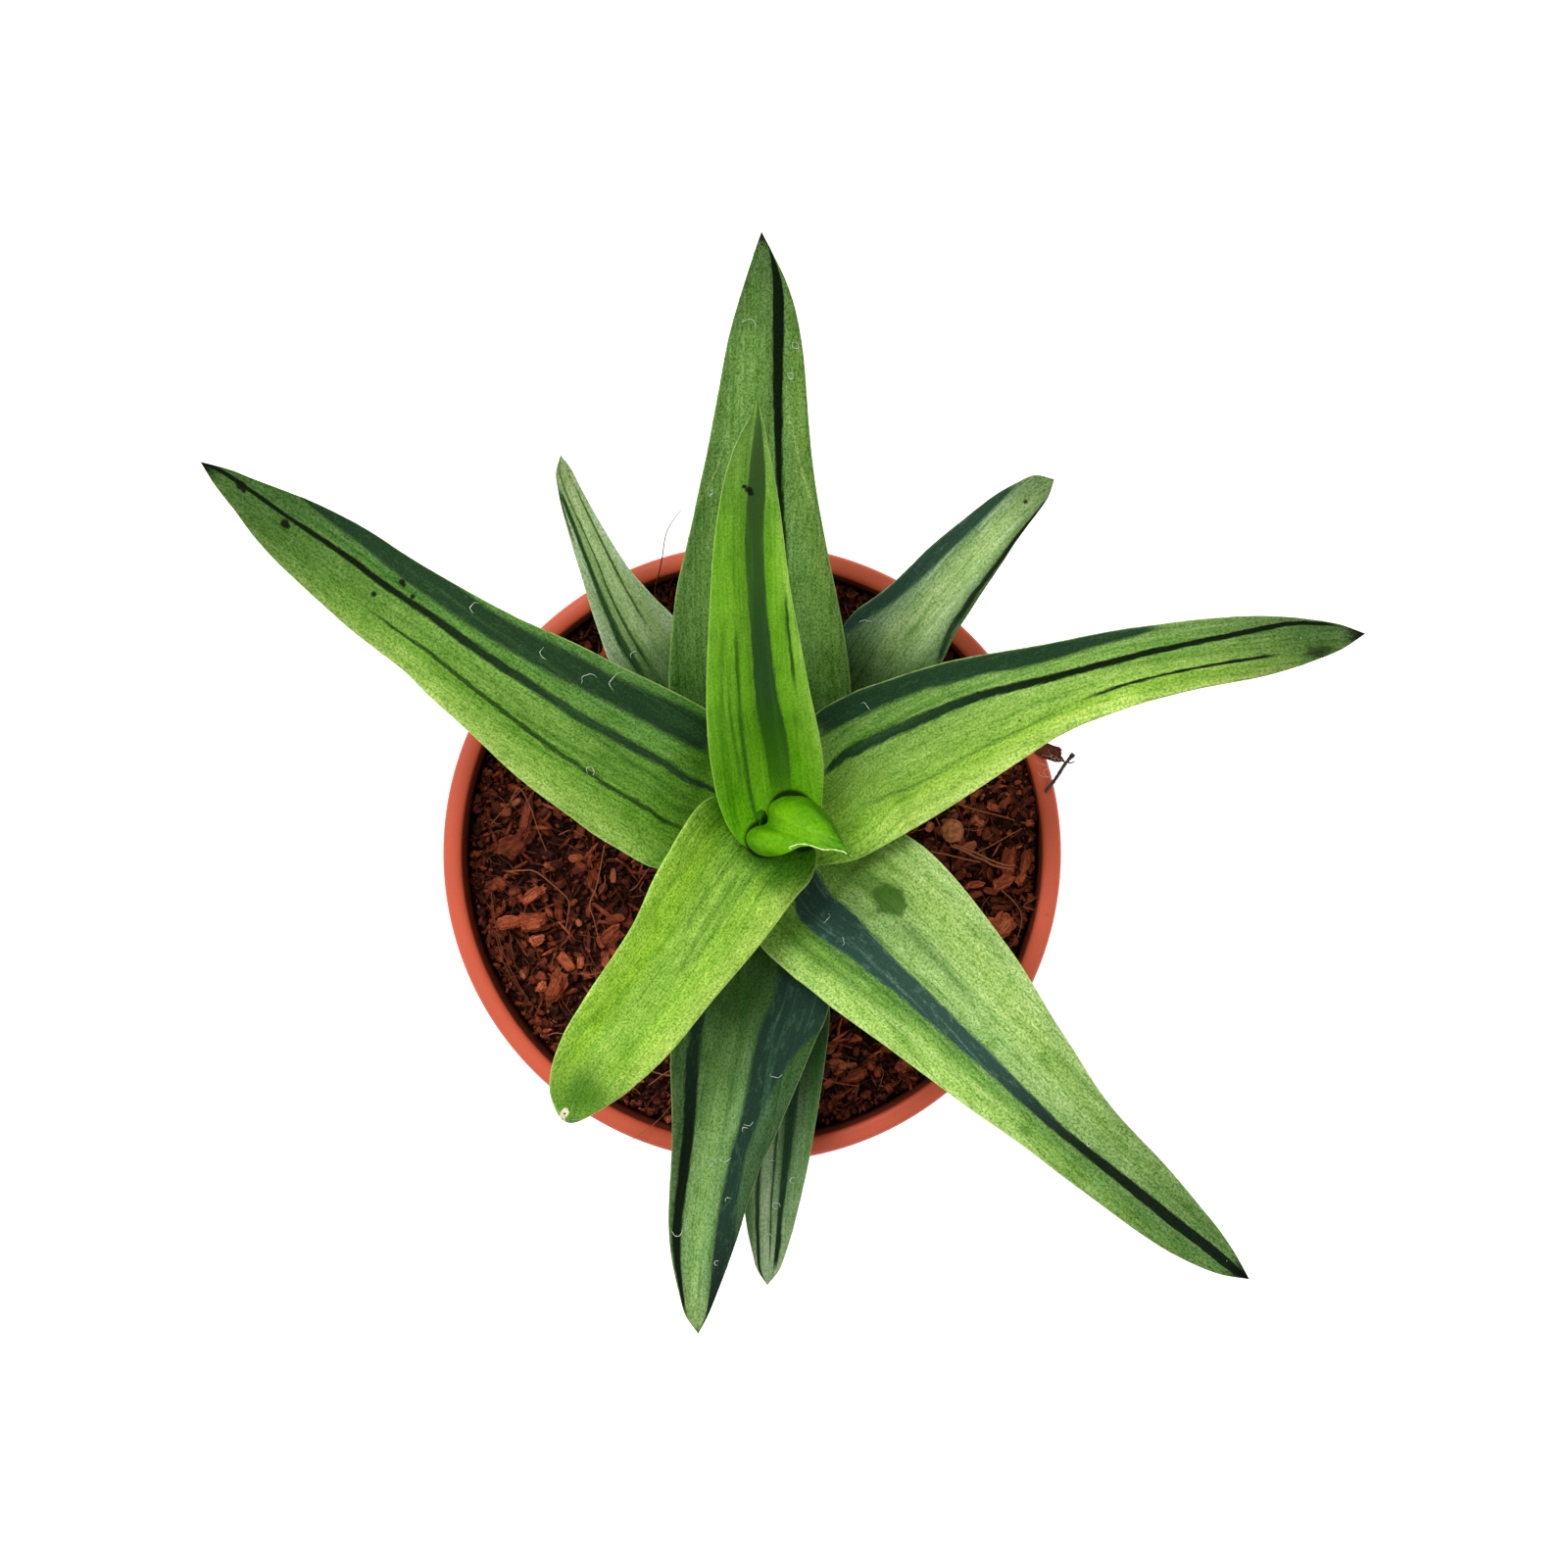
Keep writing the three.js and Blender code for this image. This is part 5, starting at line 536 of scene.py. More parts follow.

# ------------------------------------------------------------------ leaves
# bands: tone across the blade at mid length, from the left edge (-1) to the right (1), as display values; besides the
# leaf's own colour they hold painted light, with the margins that turn up to the light painted lighter.
# base and tip: tone near the stem and at the point, each with the stretch of the length over which it fades in. The
# base tone is partly the blade's deeper green near the stem and partly painted shade where the blades pass under one
# another.
LOOK = {
    "leaf_left": dict(bands=[(-1.0, (166, 198, 100)), (-0.80, (152, 188, 84)), (-0.52, (112, 158, 56)), (-0.15, (110, 152, 62)), (0.05, (110, 154, 62)), (0.40, (104, 148, 68)), (0.75, (92, 134, 66)), (1.0, (92, 136, 64))],
        base=(88, 142, 26), bu=(0.26, 0.0), tip=(60, 88, 42), tu=(0.50, 0.97), dark=(36, 62, 38), teal=(46, 78, 74), blacktip=0.970, pale=0.42, mott=1.0, seed=1.3),
    "leaf_right": dict(bands=[(-1.0, (128, 160, 90)), (-0.5, (124, 166, 78)), (0.0, (134, 172, 76)), (0.3, (142, 180, 78)), (0.6, (142, 182, 64)), (0.85, (166, 198, 90)), (1.0, (180, 206, 106))],
        base=(138, 188, 62), bu=(0.20, 0.0), tip=(66, 92, 48), tu=(0.62, 0.97), dark=(36, 64, 42), teal=(46, 78, 74), blacktip=0.968, pale=0.40, mott=0.9, seed=2.1),
    "leaf_front_right": dict(bands=[(-1.0, (160, 188, 114)), (-0.6, (150, 182, 94)), (-0.10, (154, 186, 110)), (0.45, (102, 144, 64)), (0.62, (130, 172, 76)), (0.85, (160, 196, 98)), (1.0, (164, 198, 106))],
        base=(120, 164, 64), bu=(0.22, 0.05), tip=(74, 106, 54), tu=(0.42, 0.99), dark=(22, 44, 30), teal=(42, 68, 62), wax=(102, 130, 112), blacktip=0.965, pale=0.45, mott=1.05, seed=3.7),
    "leaf_back": dict(bands=[(-1.0, (92, 126, 62)), (-0.85, (100, 138, 66)), (-0.5, (118, 158, 78)), (-0.15, (108, 146, 70)), (0.15, (92, 126, 60)), (0.5, (104, 142, 70)), (0.85, (112, 148, 68)), (1.0, (98, 130, 62))],
        base=(72, 112, 44), bu=(0.46, 0.10), tip=(78, 106, 56), tu=(0.74, 1.0), dark=(30, 54, 36), teal=(46, 78, 74), blacktip=0.975, pale=0.22, mott=1.1, seed=4.9),
    "leaf_inner_back": dict(bands=[(-1.0, (126, 184, 46)), (-0.85, (120, 182, 42)), (-0.5, (118, 176, 40)), (-0.15, (98, 152, 34)), (0.2, (92, 148, 30)), (0.5, (110, 170, 32)), (0.85, (132, 186, 54)), (1.0, (144, 194, 72))],
        base=(98, 166, 8), bu=(0.28, 0.02), tip=(104, 140, 62), tu=(0.62, 0.98), dark=(38, 72, 26), teal=(40, 90, 40), blacktip=1.2, pale=0.42, mott=0.6, seed=5.5),
    "leaf_inner_front_left": dict(bands=[(-1.0, (168, 198, 88)), (-0.85, (160, 194, 82)), (-0.5, (152, 196, 70)), (-0.15, (144, 190, 72)), (0.15, (146, 192, 72)), (0.5, (146, 192, 54)), (0.85, (154, 200, 66)), (1.0, (162, 204, 78))],
        base=(48, 104, 2), bu=(0.22, 0.05), tip=(94, 134, 46), tu=(0.74, 0.99), dark=(60, 130, 40), teal=(60, 120, 50), blacktip=1.2, pale=0.45, mott=1.0, seed=6.2),
    "leaf_front": dict(bands=[(-1.0, (60, 86, 50)), (-0.5, (76, 108, 68)), (-0.15, (126, 164, 98)), (0.15, (134, 172, 98)), (0.5, (116, 152, 88)), (0.85, (72, 98, 56)), (1.0, (84, 112, 64))],
        base=(54, 86, 38), bu=(0.60, 0.32), tip=(124, 152, 88), tu=(0.85, 1.0), dark=(30, 52, 40), teal=(34, 56, 46), wax=(74, 106, 84), blacktip=0.99, pale=0.25, mott=0.9, seed=7.8),
    "leaf_small_front": dict(bands=[(-1.0, (108, 138, 88)), (-0.5, (106, 134, 88)), (-0.10, (112, 140, 96)), (0.22, (160, 182, 142)), (0.5, (140, 166, 118)), (0.8, (84, 114, 70)), (1.0, (84, 114, 72))],
        base=(46, 74, 44), bu=(0.74, 0.42), tip=(146, 168, 124), tu=(0.80, 1.0), dark=(34, 58, 42), teal=(36, 60, 48), wax=(78, 108, 86), blacktip=1.2, pale=0.30, mott=0.65, seed=8.4),
    "leaf_small_back_left": dict(bands=[(-1.0, (160, 182, 140)), (-0.8, (162, 182, 138)), (-0.35, (132, 158, 98)), (-0.1, (140, 166, 104)), (0.15, (162, 184, 130)), (0.5, (140, 164, 100)), (0.85, (160, 182, 138)), (1.0, (160, 182, 136))],
        base=(62, 94, 44), bu=(0.64, 0.36), tip=(126, 142, 92), tu=(0.82, 1.0), dark=(30, 60, 26), teal=(46, 78, 74), blacktip=1.2, pale=0.40, mott=0.8, seed=9.1),
    "leaf_small_back_right": dict(bands=[(-1.0, (96, 126, 84)), (-0.5, (130, 158, 112)), (-0.15, (154, 182, 116)), (0.15, (158, 186, 116)), (0.5, (160, 188, 124)), (0.82, (96, 122, 76)), (1.0, (80, 104, 62))],
        base=(62, 92, 48), bu=(0.62, 0.34), tip=(102, 124, 76), tu=(0.80, 0.98), dark=(32, 52, 36), teal=(44, 70, 56), wax=(84, 114, 94), blacktip=1.2, pale=0.25, mott=0.8, seed=10.6),
}
NU = 210          # stations along a blade
NSH = 22          # stations of the clasping base below it
NTOP, NUND = 26, 20
AX = (4.35, 4.83)                # the plant's axis
STAND = {"leaf_small_back_left": 0, "leaf_small_back_right": 0, "leaf_small_front": 0, "leaf_front": 1, "leaf_back": 1,
         "leaf_front_right": 2, "leaf_left": 3, "leaf_right": 3, "leaf_inner_front_left": 4, "leaf_inner_back": 5}


def hermite(rows, n):
    r = np.array(rows, float)
    m = len(r)
    t = np.linspace(0, m - 1, n)
    i = np.clip(t.astype(int), 0, m - 2)
    s = (t - i)[:, None]
    d = np.zeros_like(r)
    d[1:-1] = (r[2:] - r[:-2]) / 2
    d[0] = r[1] - r[0]
    d[-1] = r[-1] - r[-2]
    return (2*s**3 - 3*s**2 + 1)*r[i] + (s**3 - 2*s**2 + s)*d[i] + (-2*s**3 + 3*s**2)*r[i+1] + (s**3 - s**2)*d[i+1]


def leaf_mesh(name, rows, seed):
    q = hermite(rows, NU)
    left, right = q[:, 0:3], q[:, 3:6]
    mid = (left + right) / 2
    tang = np.gradient(mid, axis=0)
    tang /= np.linalg.norm(tang, axis=1)[:, None]
    half = (right - left) / 2
    w = np.linalg.norm(half, axis=1)
    across = half / (w[:, None] + 1e-9)
    nrm = np.cross(across, tang)
    nrm /= np.linalg.norm(nrm, axis=1)[:, None] + 1e-9
    # the frame near the very tip is taken from just before it
    for i in range(NU - 4, NU):
        nrm[i] = nrm[NU - 5]
        across[i] = across[NU - 5]
    arc = np.r_[0, np.cumsum(np.linalg.norm(np.diff(mid, axis=0), axis=1))]
    length = arc[-1]
    u = arc / length
    hollow = q[:, 6]
    thick = np.maximum(q[:, 7], 0.6)
    # thickness can't be more than the leaf is wide at the tip
    thick = np.minimum(thick, w * 0.95 + 0.25)
    # margins: a firm thin rim with tiny knobs
    knob_l = np.array([max(0.0, noise.noise(Vector((a * 0.9, seed, 0.3)))) ** 2 * 0.9 for a in arc])
    knob_r = np.array([max(0.0, noise.noise(Vector((a * 0.9, seed + 7.1, 4.3)))) ** 2 * 0.9 for a in arc])
    fade = np.clip(u / 0.15, 0, 1) * np.clip((1 - u) / 0.03, 0, 1)
    top_v = -np.cos(np.linspace(0, math.pi, NTOP))          # -1..1, closer together at the margins
    und_a = np.linspace(0, math.pi, NUND + 2)[1:-1]
    und_v = np.cos(und_a)                                    # 1..-1
    verts, uvs, side = [], [], []
    first = []
    for i in range(NU - 1):
        edge = min(0.42, 0.25 * w[i])                          # rounded margin's half thickness
        for v in top_v:
            lift = -hollow[i] * (1 - v * v)
            # gentle long ribs on the upper face, none at the margin
            rib = 0.10 * math.sin(v * 9.0 + seed) * (1 - v * v) * min(1.0, w[i] / 6.0)
            wob = 0.22 * noise.noise(Vector((arc[i] * 0.07, v * 1.3, seed))) * (1 - v ** 4)
            x = v * w[i]
            if v < -0.999:
                x -= 0.16 * knob_l[i] * fade[i]
            if v > 0.999:
                x += 0.16 * knob_r[i] * fade[i]
            # the face turns down into the margin
            roll = -edge * max(0.0, (abs(v) - 0.955) / 0.045) ** 2
            verts.append(mid[i] + across[i] * x + nrm[i] * (lift + rib + wob + roll))
            uvs.append((u[i], (v + 1) / 2, arc[i] / 10, v * w[i] / 10))
            side.append(0.0)
        for v in und_v:
            a = abs(v)
            lift = -hollow[i] * (1 - v * v)
            body = (1 - a ** 2.3) ** 0.85
            keel = 0.16 * math.exp(-(v / 0.16) ** 2) * min(1.0, w[i] / 5.0) * math.sin(math.pi * min(1.0, u[i] * 1.1)) ** 0.5
            verts.append(mid[i] + across[i] * (v * w[i] * (1 - 0.012 * (1 - a))) + nrm[i] * (lift - thick[i] * (body + keel) - edge * 1.2))
            uvs.append((u[i], (v + 1) / 2, arc[i] / 10, v * w[i] / 10))
            side.append(1.0)
        if i == 0:
            first = list(verts)
    ring = NTOP + NUND
    # the clasping base: the blade narrows into a sheath wrapped round the stem
    rank = STAND[name]
    r_in = 5.1 - 0.16 * rank
    sheet = 1.5 if rank > 0 else 1.2
    span = 2.75 if w[0] > 5 else 2.2
    c = np.array([AX[0], AX[1]])
    cen = math.atan2(*(mid[0][:2] - c)[::-1])
    la = math.atan2(*(left[0][:2] - c)[::-1])
    rel = (la - cen + math.pi) % (2 * math.pi) - math.pi
    sgn = -1.0 if rel > 0 else 1.0
    drop = min(10.0, mid[0][2] - 93.5)
    vv = list(top_v) + list(und_v)
    pre_v, pre_uv, pre_s = [], [], []
    for k in range(NSH):
        b = 1 - k / NSH                       # 1 at the foot of the sheath, towards 0 at the blade
        h0, h1 = 2*b**3 - 3*b**2 + 1, b**3 - 2*b**2 + b
        h2, h3 = -2*b**3 + 3*b**2, b**3 - b**2
        for j, v in enumerate(vv):
            outer = j >= NTOP
            r = r_in + (sheet * (1 - abs(v) ** 3) + 0.25 if outer else 0.0) + 0.12 * noise.noise(Vector((v * 2.0, b * 2.0, seed)))
            a = cen + sgn * v * span / 2
            foot = np.array([c[0] + r * math.cos(a), c[1] + r * math.sin(a), mid[0][2] - drop + 0.5 * math.cos(v * 2)])
            p = h0 * first[j] + h1 * (-tang[0] * 6.0) + h2 * foot + h3 * np.array([0, 0, -6.0])
            pre_v.append(p); pre_uv.append((0.0, (v + 1) / 2, -0.8 * b, v * 0.7)); pre_s.append(1.0 if outer else 0.0)
    verts = pre_v + verts; uvs = pre_uv + uvs; side = pre_s + side
    rows_n = NSH + NU - 1
    faces = []
    for i in range(rows_n - 1):
        for j in range(ring):
            a, b = i * ring + j, i * ring + (j + 1) % ring
            faces.append((a, b, b + ring, a + ring))
    tip = len(verts)
    verts.append(mid[-1]); uvs.append((1.0, 0.5, arc[-1] / 10, 0.0)); side.append(0.5)
    o = (rows_n - 1) * ring
    for j in range(ring):
        faces.append((o + j, o + (j + 1) % ring, tip))
    faces.append(tuple(reversed(range(ring))))
    ob = new_object(name + "_skin", [Vector(v) * MM for v in verts], faces)
    me = ob.data
    bm = bmesh.new(); bm.from_mesh(me)
    if bm.calc_volume(signed=True) < 0:
        bmesh.ops.reverse_faces(bm, faces=bm.faces)
    bm.to_mesh(me); bm.free()
    a = me.uv_layers.new(name="blade"); b = me.uv_layers.new(name="flow"); c = me.uv_layers.new(name="side")
    n = len(me.loops)
    vi = np.zeros(n, int); me.loops.foreach_get("vertex_index", vi)
    uvs = np.array(uvs); side = np.array(side)
    a.data.foreach_set("uv", uvs[vi][:, 0:2].ravel())
    b.data.foreach_set("uv", uvs[vi][:, 2:4].ravel())
    c.data.foreach_set("uv", np.stack([side[vi], side[vi] * 0 + 0.5], 1).ravel())
    return ob, length


def leaf_material(name, length):
    k = LOOK[name]
    m = Nodes(name + "_tissue")
    blade = m.n("ShaderNodeUVMap", uv_map="blade").outputs[0]
    flow = m.n("ShaderNodeUVMap", uv_map="flow").outputs[0]
    sidev = m.n("ShaderNodeUVMap", uv_map="side").outputs[0]
    sx = m.n("ShaderNodeSeparateXYZ"); m.link(blade, sx.inputs[0])
    u, vv = sx.outputs[0], sx.outputs[1]
    v = m.math("MULTIPLY_ADD", vv, 2.0, -1.0)
    av = m.math("ABSOLUTE", v)
    ss = m.n("ShaderNodeSeparateXYZ"); m.link(sidev, ss.inputs[0])
    under = ss.outputs[0]
    fx = m.n("ShaderNodeSeparateXYZ"); m.link(flow, fx.inputs[0])
    sd = k["seed"]
    # noises: fine grain, soft clouds, long streaks (flow is in centimetres)
    grain = m.noise(m.scaled(flow, 0.8, 1.1, 1, sd, sd), 22.0, 2.0, 0.8)
    cloud = m.noise(m.scaled(flow, 0.6, 1.0, 1, sd * 2, 1.0), 1.7, 2.0, 0.55)
    patch = m.noise(m.scaled(flow, 0.55, 1.15, 1, sd * 5, 4.0), 6.0, 2.0, 0.72)
    streak = m.noise(m.scaled(flow, 0.14, 3.2, 1, sd, 3.0), 2.2, 2.0, 0.6)
    hair = m.noise(m.scaled(flow, 0.10, 6.5, 1, sd, 9.0), 3.2, 2.0, 0.5)
    # ground colour: the bands across the blade, which hold painted light on the margins that turn up to the light
    wv = m.math("MULTIPLY_ADD", cloud, 0.05, m.math("ADD", vv, -0.025))
    col = m.ramp(wv, [((p + 1) / 2, srgb(*c)) for p, c in k["bands"]])
    # the tone near the stem: partly the blade's deeper green and partly painted shade where blades pass under one
    # another
    col = m.mix(m.math("MULTIPLY", m.step(m.math("MULTIPLY_ADD", cloud, 0.12, m.math("ADD", u, -0.06)), k["bu"][0], k["bu"][1]), 0.92), col, srgb(*k["base"]))
    col = m.mix(m.math("MULTIPLY", m.step(u, k["tu"][0], k["tu"][1]), 0.92), col, srgb(*k["tip"]))
    DEEP, PALE = (0.44, 0.60, 0.34, 1), (1.32, 1.20, 1.42, 1)
    g = k["mott"]

    def tint(c, fac, by):
        return m.mix(fac, c, by, "MULTIPLY")

    col = tint(col, m.math("MULTIPLY", m.step(cloud, 0.48, 0.70), 0.45), PALE)
    col = tint(col, m.math("MULTIPLY", m.step(cloud, 0.50, 0.30), 0.35), DEEP)
    col = tint(col, m.math("MULTIPLY", m.step(patch, 0.53, 0.68), 0.55 * g), DEEP)
    col = tint(col, m.math("MULTIPLY", m.step(patch, 0.47, 0.32), 0.65 * g), PALE)
    col = tint(col, m.math("MULTIPLY", m.step(streak, 0.53, 0.70), 0.45), DEEP)
    col = tint(col, m.math("MULTIPLY", m.step(streak, 0.47, 0.30), 0.50), PALE)
    col = tint(col, m.math("MULTIPLY", m.step(hair, 0.53, 0.68), 0.40), DEEP)
    col = tint(col, m.math("MULTIPLY", m.step(hair, 0.47, 0.32), 0.45), PALE)
    # stripes, laid along the leaf
    jit = m.math("MULTIPLY_ADD", m.noise(m.scaled(flow, 0.40, 3.4, 1, sd, 5.0), 7.0, 2.0, 0.7), 0.085, -0.0425)
    vj = m.math("ADD", v, jit)
    tone = {
        "dark": (srgb(*k["dark"]), 0.99), "teal": (srgb(*k["teal"]), 0.985), "line": (srgb(24, 58, 18), 0.88),
        "faint": (srgb(42, 92, 24), 0.55), "pale": (srgb(186, 210, 128), 0.40), "lime": (srgb(112, 176, 26), 0.55),
    }
    moss = m.ramp(u, [(0.10, srgb(58, 108, 10)), (0.22, srgb(46, 92, 20)), (0.34, srgb(34, 66, 34)), (0.46, srgb(36, 66, 34)), (0.60, srgb(42, 76, 30)), (0.78, srgb(42, 70, 30)), (1.0, srgb(52, 78, 36))])
    tone["moss"] = (moss, 0.95)
    for s in STRIPES.get(name, []):
        us = s["u"]
        lo = m.curve(u, list(zip(us, s["lo"])))
        hi = m.curve(u, list(zip(us, s["hi"])))
        soft = s["soft"]
        a = m.step(m.math("SUBTRACT", vj, lo), -soft, soft)
        b = m.step(m.math("SUBTRACT", hi, vj), -soft, soft)
        mk = m.math("MULTIPLY", a, b)
        d = 0.02 if s["kind"] in ("dark", "teal") else 0.04
        if us[0] > 0.06:
            mk = m.math("MULTIPLY", mk, m.step(u, us[0] - d, us[0] + d))
        if us[-1] < 0.97:
            mk = m.math("MULTIPLY", mk, m.step(u, us[-1] + d, us[-1] - d))
        c, amount = tone[s["kind"]]
        amount = s.get("amt", amount)
        if s["kind"] in ("dark", "teal"):
            # dark tissue: streaky, with a thin waxy bloom, black towards the point
            b0, b1 = s.get("blk", (0.50, 0.92))
            wax = srgb(62, 94, 52) if s["kind"] == "dark" else srgb(*k.get("wax", (88, 118, 100)))
            c = m.mix(m.math("MULTIPLY", m.step(streak, 0.47, 0.32), 0.40), c, wax)
            c = m.mix(m.math("MULTIPLY", m.step(patch, 0.52, 0.68), 0.35), c, wax)
            c = m.mix(m.math("MULTIPLY", m.step(grain, 0.52, 0.66), 0.45), c, wax)
            c = m.mix(m.math("MULTIPLY", m.step(u, b0, b1), 0.96), c, srgb(9, 19, 9))
        if s["kind"] == "moss":
            c = m.mix(m.math("MULTIPLY", m.step(grain, 0.50, 0.66), 0.40), c, srgb(84, 124, 60))
            c = m.mix(m.math("MULTIPLY", m.step(streak, 0.48, 0.30), 0.35), c, srgb(70, 116, 40))
        if s["kind"] not in ("dark", "teal", "moss", "line"):
            mk = m.math("MULTIPLY", mk, m.step(streak, 0.70, 0.50))
        col = m.mix(m.math("MULTIPLY", mk, amount), col, c)
    # fine speckle over everything
    col = tint(col, m.math("MULTIPLY", m.step(grain, 0.49, 0.62), min(1.0, 0.95 * g)), (0.42, 0.57, 0.32, 1))
    col = tint(col, m.math("MULTIPLY", m.step(grain, 0.48, 0.35), min(1.0, 0.85 * g)), (1.46, 1.28, 1.62, 1))
    # underside: plainer, greyer and a little darker
    dull = m.mix(0.45, col, srgb(92, 134, 70))
    dull = m.mix(m.math("MULTIPLY", m.step(hair, 0.5, 0.75), 0.35), dull, srgb(44, 84, 44))
    col = m.mix(m.math("MULTIPLY", under, 0.85), col, dull)
    # the sheath round the stem is pale and drier
    col = m.mix(m.math("MULTIPLY", m.step(m.math("MULTIPLY_ADD", hair, -0.12, fx.outputs[0]), -0.06, -0.62), 0.85), col, srgb(158, 176, 104))
    # black tip
    if k["blacktip"] < 1:
        col = m.mix(m.math("MULTIPLY", m.step(m.math("MULTIPLY_ADD", grain, 0.03, u), k["blacktip"] + 0.005, k["blacktip"] + 0.035), 0.93), col, srgb(7, 12, 7))
    # dark dots and scars (s and t in centimetres along and across)
    def around(s0, t0, kx=1.0, wob=0.05, src=None):
        dx = m.math("MULTIPLY", m.math("SUBTRACT", fx.outputs[0], s0), kx)
        dy = m.math("SUBTRACT", fx.outputs[1], t0)
        dd = m.math("SQRT", m.math("ADD", m.math("MULTIPLY", dx, dx), m.math("MULTIPLY", dy, dy)))
        return m.math("MULTIPLY_ADD", src if src is not None else grain, wob, dd)
    for (s0, t0, r0) in DOTS.get(name, []):
        dd = around(s0 / 10, t0 / 10)
        col = m.mix(m.math("MULTIPLY", m.step(dd, r0 / 10 + 0.045, r0 / 10 + 0.0), 0.95), col, srgb(14, 18, 8))
    if name == "leaf_front_right":
        # a bruise near the base and a small healed scar lower down
        e = length / 10
        dd = around(e * 0.205 - 0.22, -0.56, 0.80, 0.42, patch)
        col = m.mix(m.math("MULTIPLY", m.step(dd, 0.58, 0.44), 0.86), col, srgb(52, 90, 22))
        dd = around(e * 0.150, -0.60, 0.45, 0.42, patch)
        col = m.mix(m.math("MULTIPLY", m.step(dd, 0.46, 0.30), 0.50), col, srgb(70, 110, 36))
        dd = around(7.58, 0.66, 0.8, 0.16, patch)
        col = m.mix(m.math("MULTIPLY", m.step(dd, 0.22, 0.15), 0.55), col, srgb(60, 112, 34))
    if name == "leaf_right":
        # a dark smear near the point
        e = length / 10
        dd = around(e * 0.925, 0.24, 0.45, 0.30, patch)
        col = m.mix(m.math("MULTIPLY", m.step(dd, 0.34, 0.18), 0.85), col, srgb(22, 38, 18))
    if name == "leaf_inner_front_left":
        # the blunt, pale, corky tip with its dark eye, and the deep green patch behind it
        e = length / 10
        dd = around(e - 0.75, -0.12, 0.8, 0.42, patch)
        col = m.mix(m.math("MULTIPLY", m.step(dd, 0.72, 0.36), 0.60), col, srgb(52, 102, 18))
        dd = around(e - 0.13, 0.10, 0.75, 0.05)
        col = m.mix(m.math("MULTIPLY", m.step(dd, 0.115, 0.085), 0.92), col, srgb(226, 220, 180))
        dd = around(e - 0.105, 0.10, 1.0, 0.02)
        col = m.mix(m.math("MULTIPLY", m.step(dd, 0.045, 0.028), 0.9), col, srgb(84, 66, 38))
    if "inner" in name:
        # painted shade: the deep fold round the heart leaf is darkened in the colour, softly out to a few millimetres
        # from the heart's lobes and near-black in the crevice itself
        pos = m.n("ShaderNodeTexCoord").outputs["Object"]
        sp = m.n("ShaderNodeSeparateXYZ"); m.link(pos, sp.inputs[0])
        near = None
        for (cx, cy, r) in ((7.6, 7.95, 3.75), (2.4, 2.95, 3.0), (9.6, 5.3, 4.1)):
            dx = m.math("MULTIPLY_ADD", sp.outputs[0], 1000.0, -cx)
            dy = m.math("MULTIPLY_ADD", sp.outputs[1], 1000.0, -cy)
            dd = m.math("SUBTRACT", m.math("SQRT", m.math("ADD", m.math("MULTIPLY", dx, dx), m.math("MULTIPLY", dy, dy))), r)
            near = dd if near is None else m.math("MINIMUM", near, dd)
        near = m.math("MULTIPLY_ADD", grain, 0.25, near)
        col = m.mix(m.math("MULTIPLY", m.step(near, 5.0, 0.6), 0.42), col, (0.40, 0.55, 0.25, 1), "MULTIPLY")
        col = m.mix(m.math("MULTIPLY", m.step(near, 1.35, 0.45), 0.94), col, srgb(10, 24, 4))
    # pale horny margin
    rim = m.math("MULTIPLY_ADD", grain, 0.012, av)
    rimf = m.math("MULTIPLY", m.step(rim, 0.984, 0.997), m.step(patch, 0.30, 0.62, k["pale"] * 0.35, min(1.0, k["pale"] * 1.25)))
    col = m.mix(rimf, col, srgb(188, 212, 124))
    # glassy flecks of dried water
    fleck = m.noise(m.scaled(flow, 1, 1, 1, sd * 3, 2.0), 11.0, 2.0, 0.7)
    fmask = m.math("MULTIPLY", m.step(fleck, 0.755, 0.785), 0.7)
    col = m.mix(fmask, col, srgb(214, 226, 204))
    m.link(col, m.bsdf.inputs["Base Color"])
    rough = m.math("MULTIPLY_ADD", grain, 0.18, 0.40)
    m.link(m.math("MULTIPLY_ADD", under, 0.06, rough), m.bsdf.inputs["Roughness"])
    m.bsdf.inputs["Specular IOR Level"].default_value = 0.03
    h1 = m.math("MULTIPLY_ADD", hair, 1.0, m.math("MULTIPLY", streak, 1.2))
    nb = m.bump(h1, 0.30, 0.0006)
    nb = m.bump(grain, 0.32, 0.00025, nb)
    m.link(nb, m.bsdf.inputs["Normal"])
    return m.mat


def on_blade(rows, u, v, lift):
    """A point (mm) over the upper face at u along and v across, raised by lift along the face's normal."""
    q = hermite(rows, NU)
    left, right = q[:, 0:3], q[:, 3:6]
    mid = (left + right) / 2
    arc = np.r_[0, np.cumsum(np.linalg.norm(np.diff(mid, axis=0), axis=1))]
    i = int(np.clip(np.searchsorted(arc, u * arc[-1]), 2, NU - 6))
    t = mid[i + 1] - mid[i - 1]; t /= np.linalg.norm(t)
    h = (right[i] - left[i]) / 2
    a = h / np.linalg.norm(h)
    nr = np.cross(a, t); nr /= np.linalg.norm(nr)
    return mid[i] + h * v - nr * q[i, 6] * (1 - v * v) + nr * lift


for node, rows in LEAF.items():
    ob, length = leaf_mesh(node, rows, LOOK[node]["seed"])
    ob.data.materials.append(leaf_material(node, length))
    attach(ob, "root")
    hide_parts(node)

# ------------------------------------------------------------------ rolled heart leaf and the bud beside it
def closed_resample(pts, n):
    p = np.array(pts, float)
    m = len(p)
    t = np.arange(n) * m / n
    i = t.astype(int) % m
    s = (t - np.floor(t))[:, None]
    p0, p1, p2, p3 = p[(i - 1) % m], p[i], p[(i + 1) % m], p[(i + 2) % m]
    return 0.5 * (2*p1 + (p2 - p0)*s + (2*p0 - 5*p1 + 4*p2 - p3)*s**2 + (3*p1 - 3*p2 + p3 - p0)*s**3)


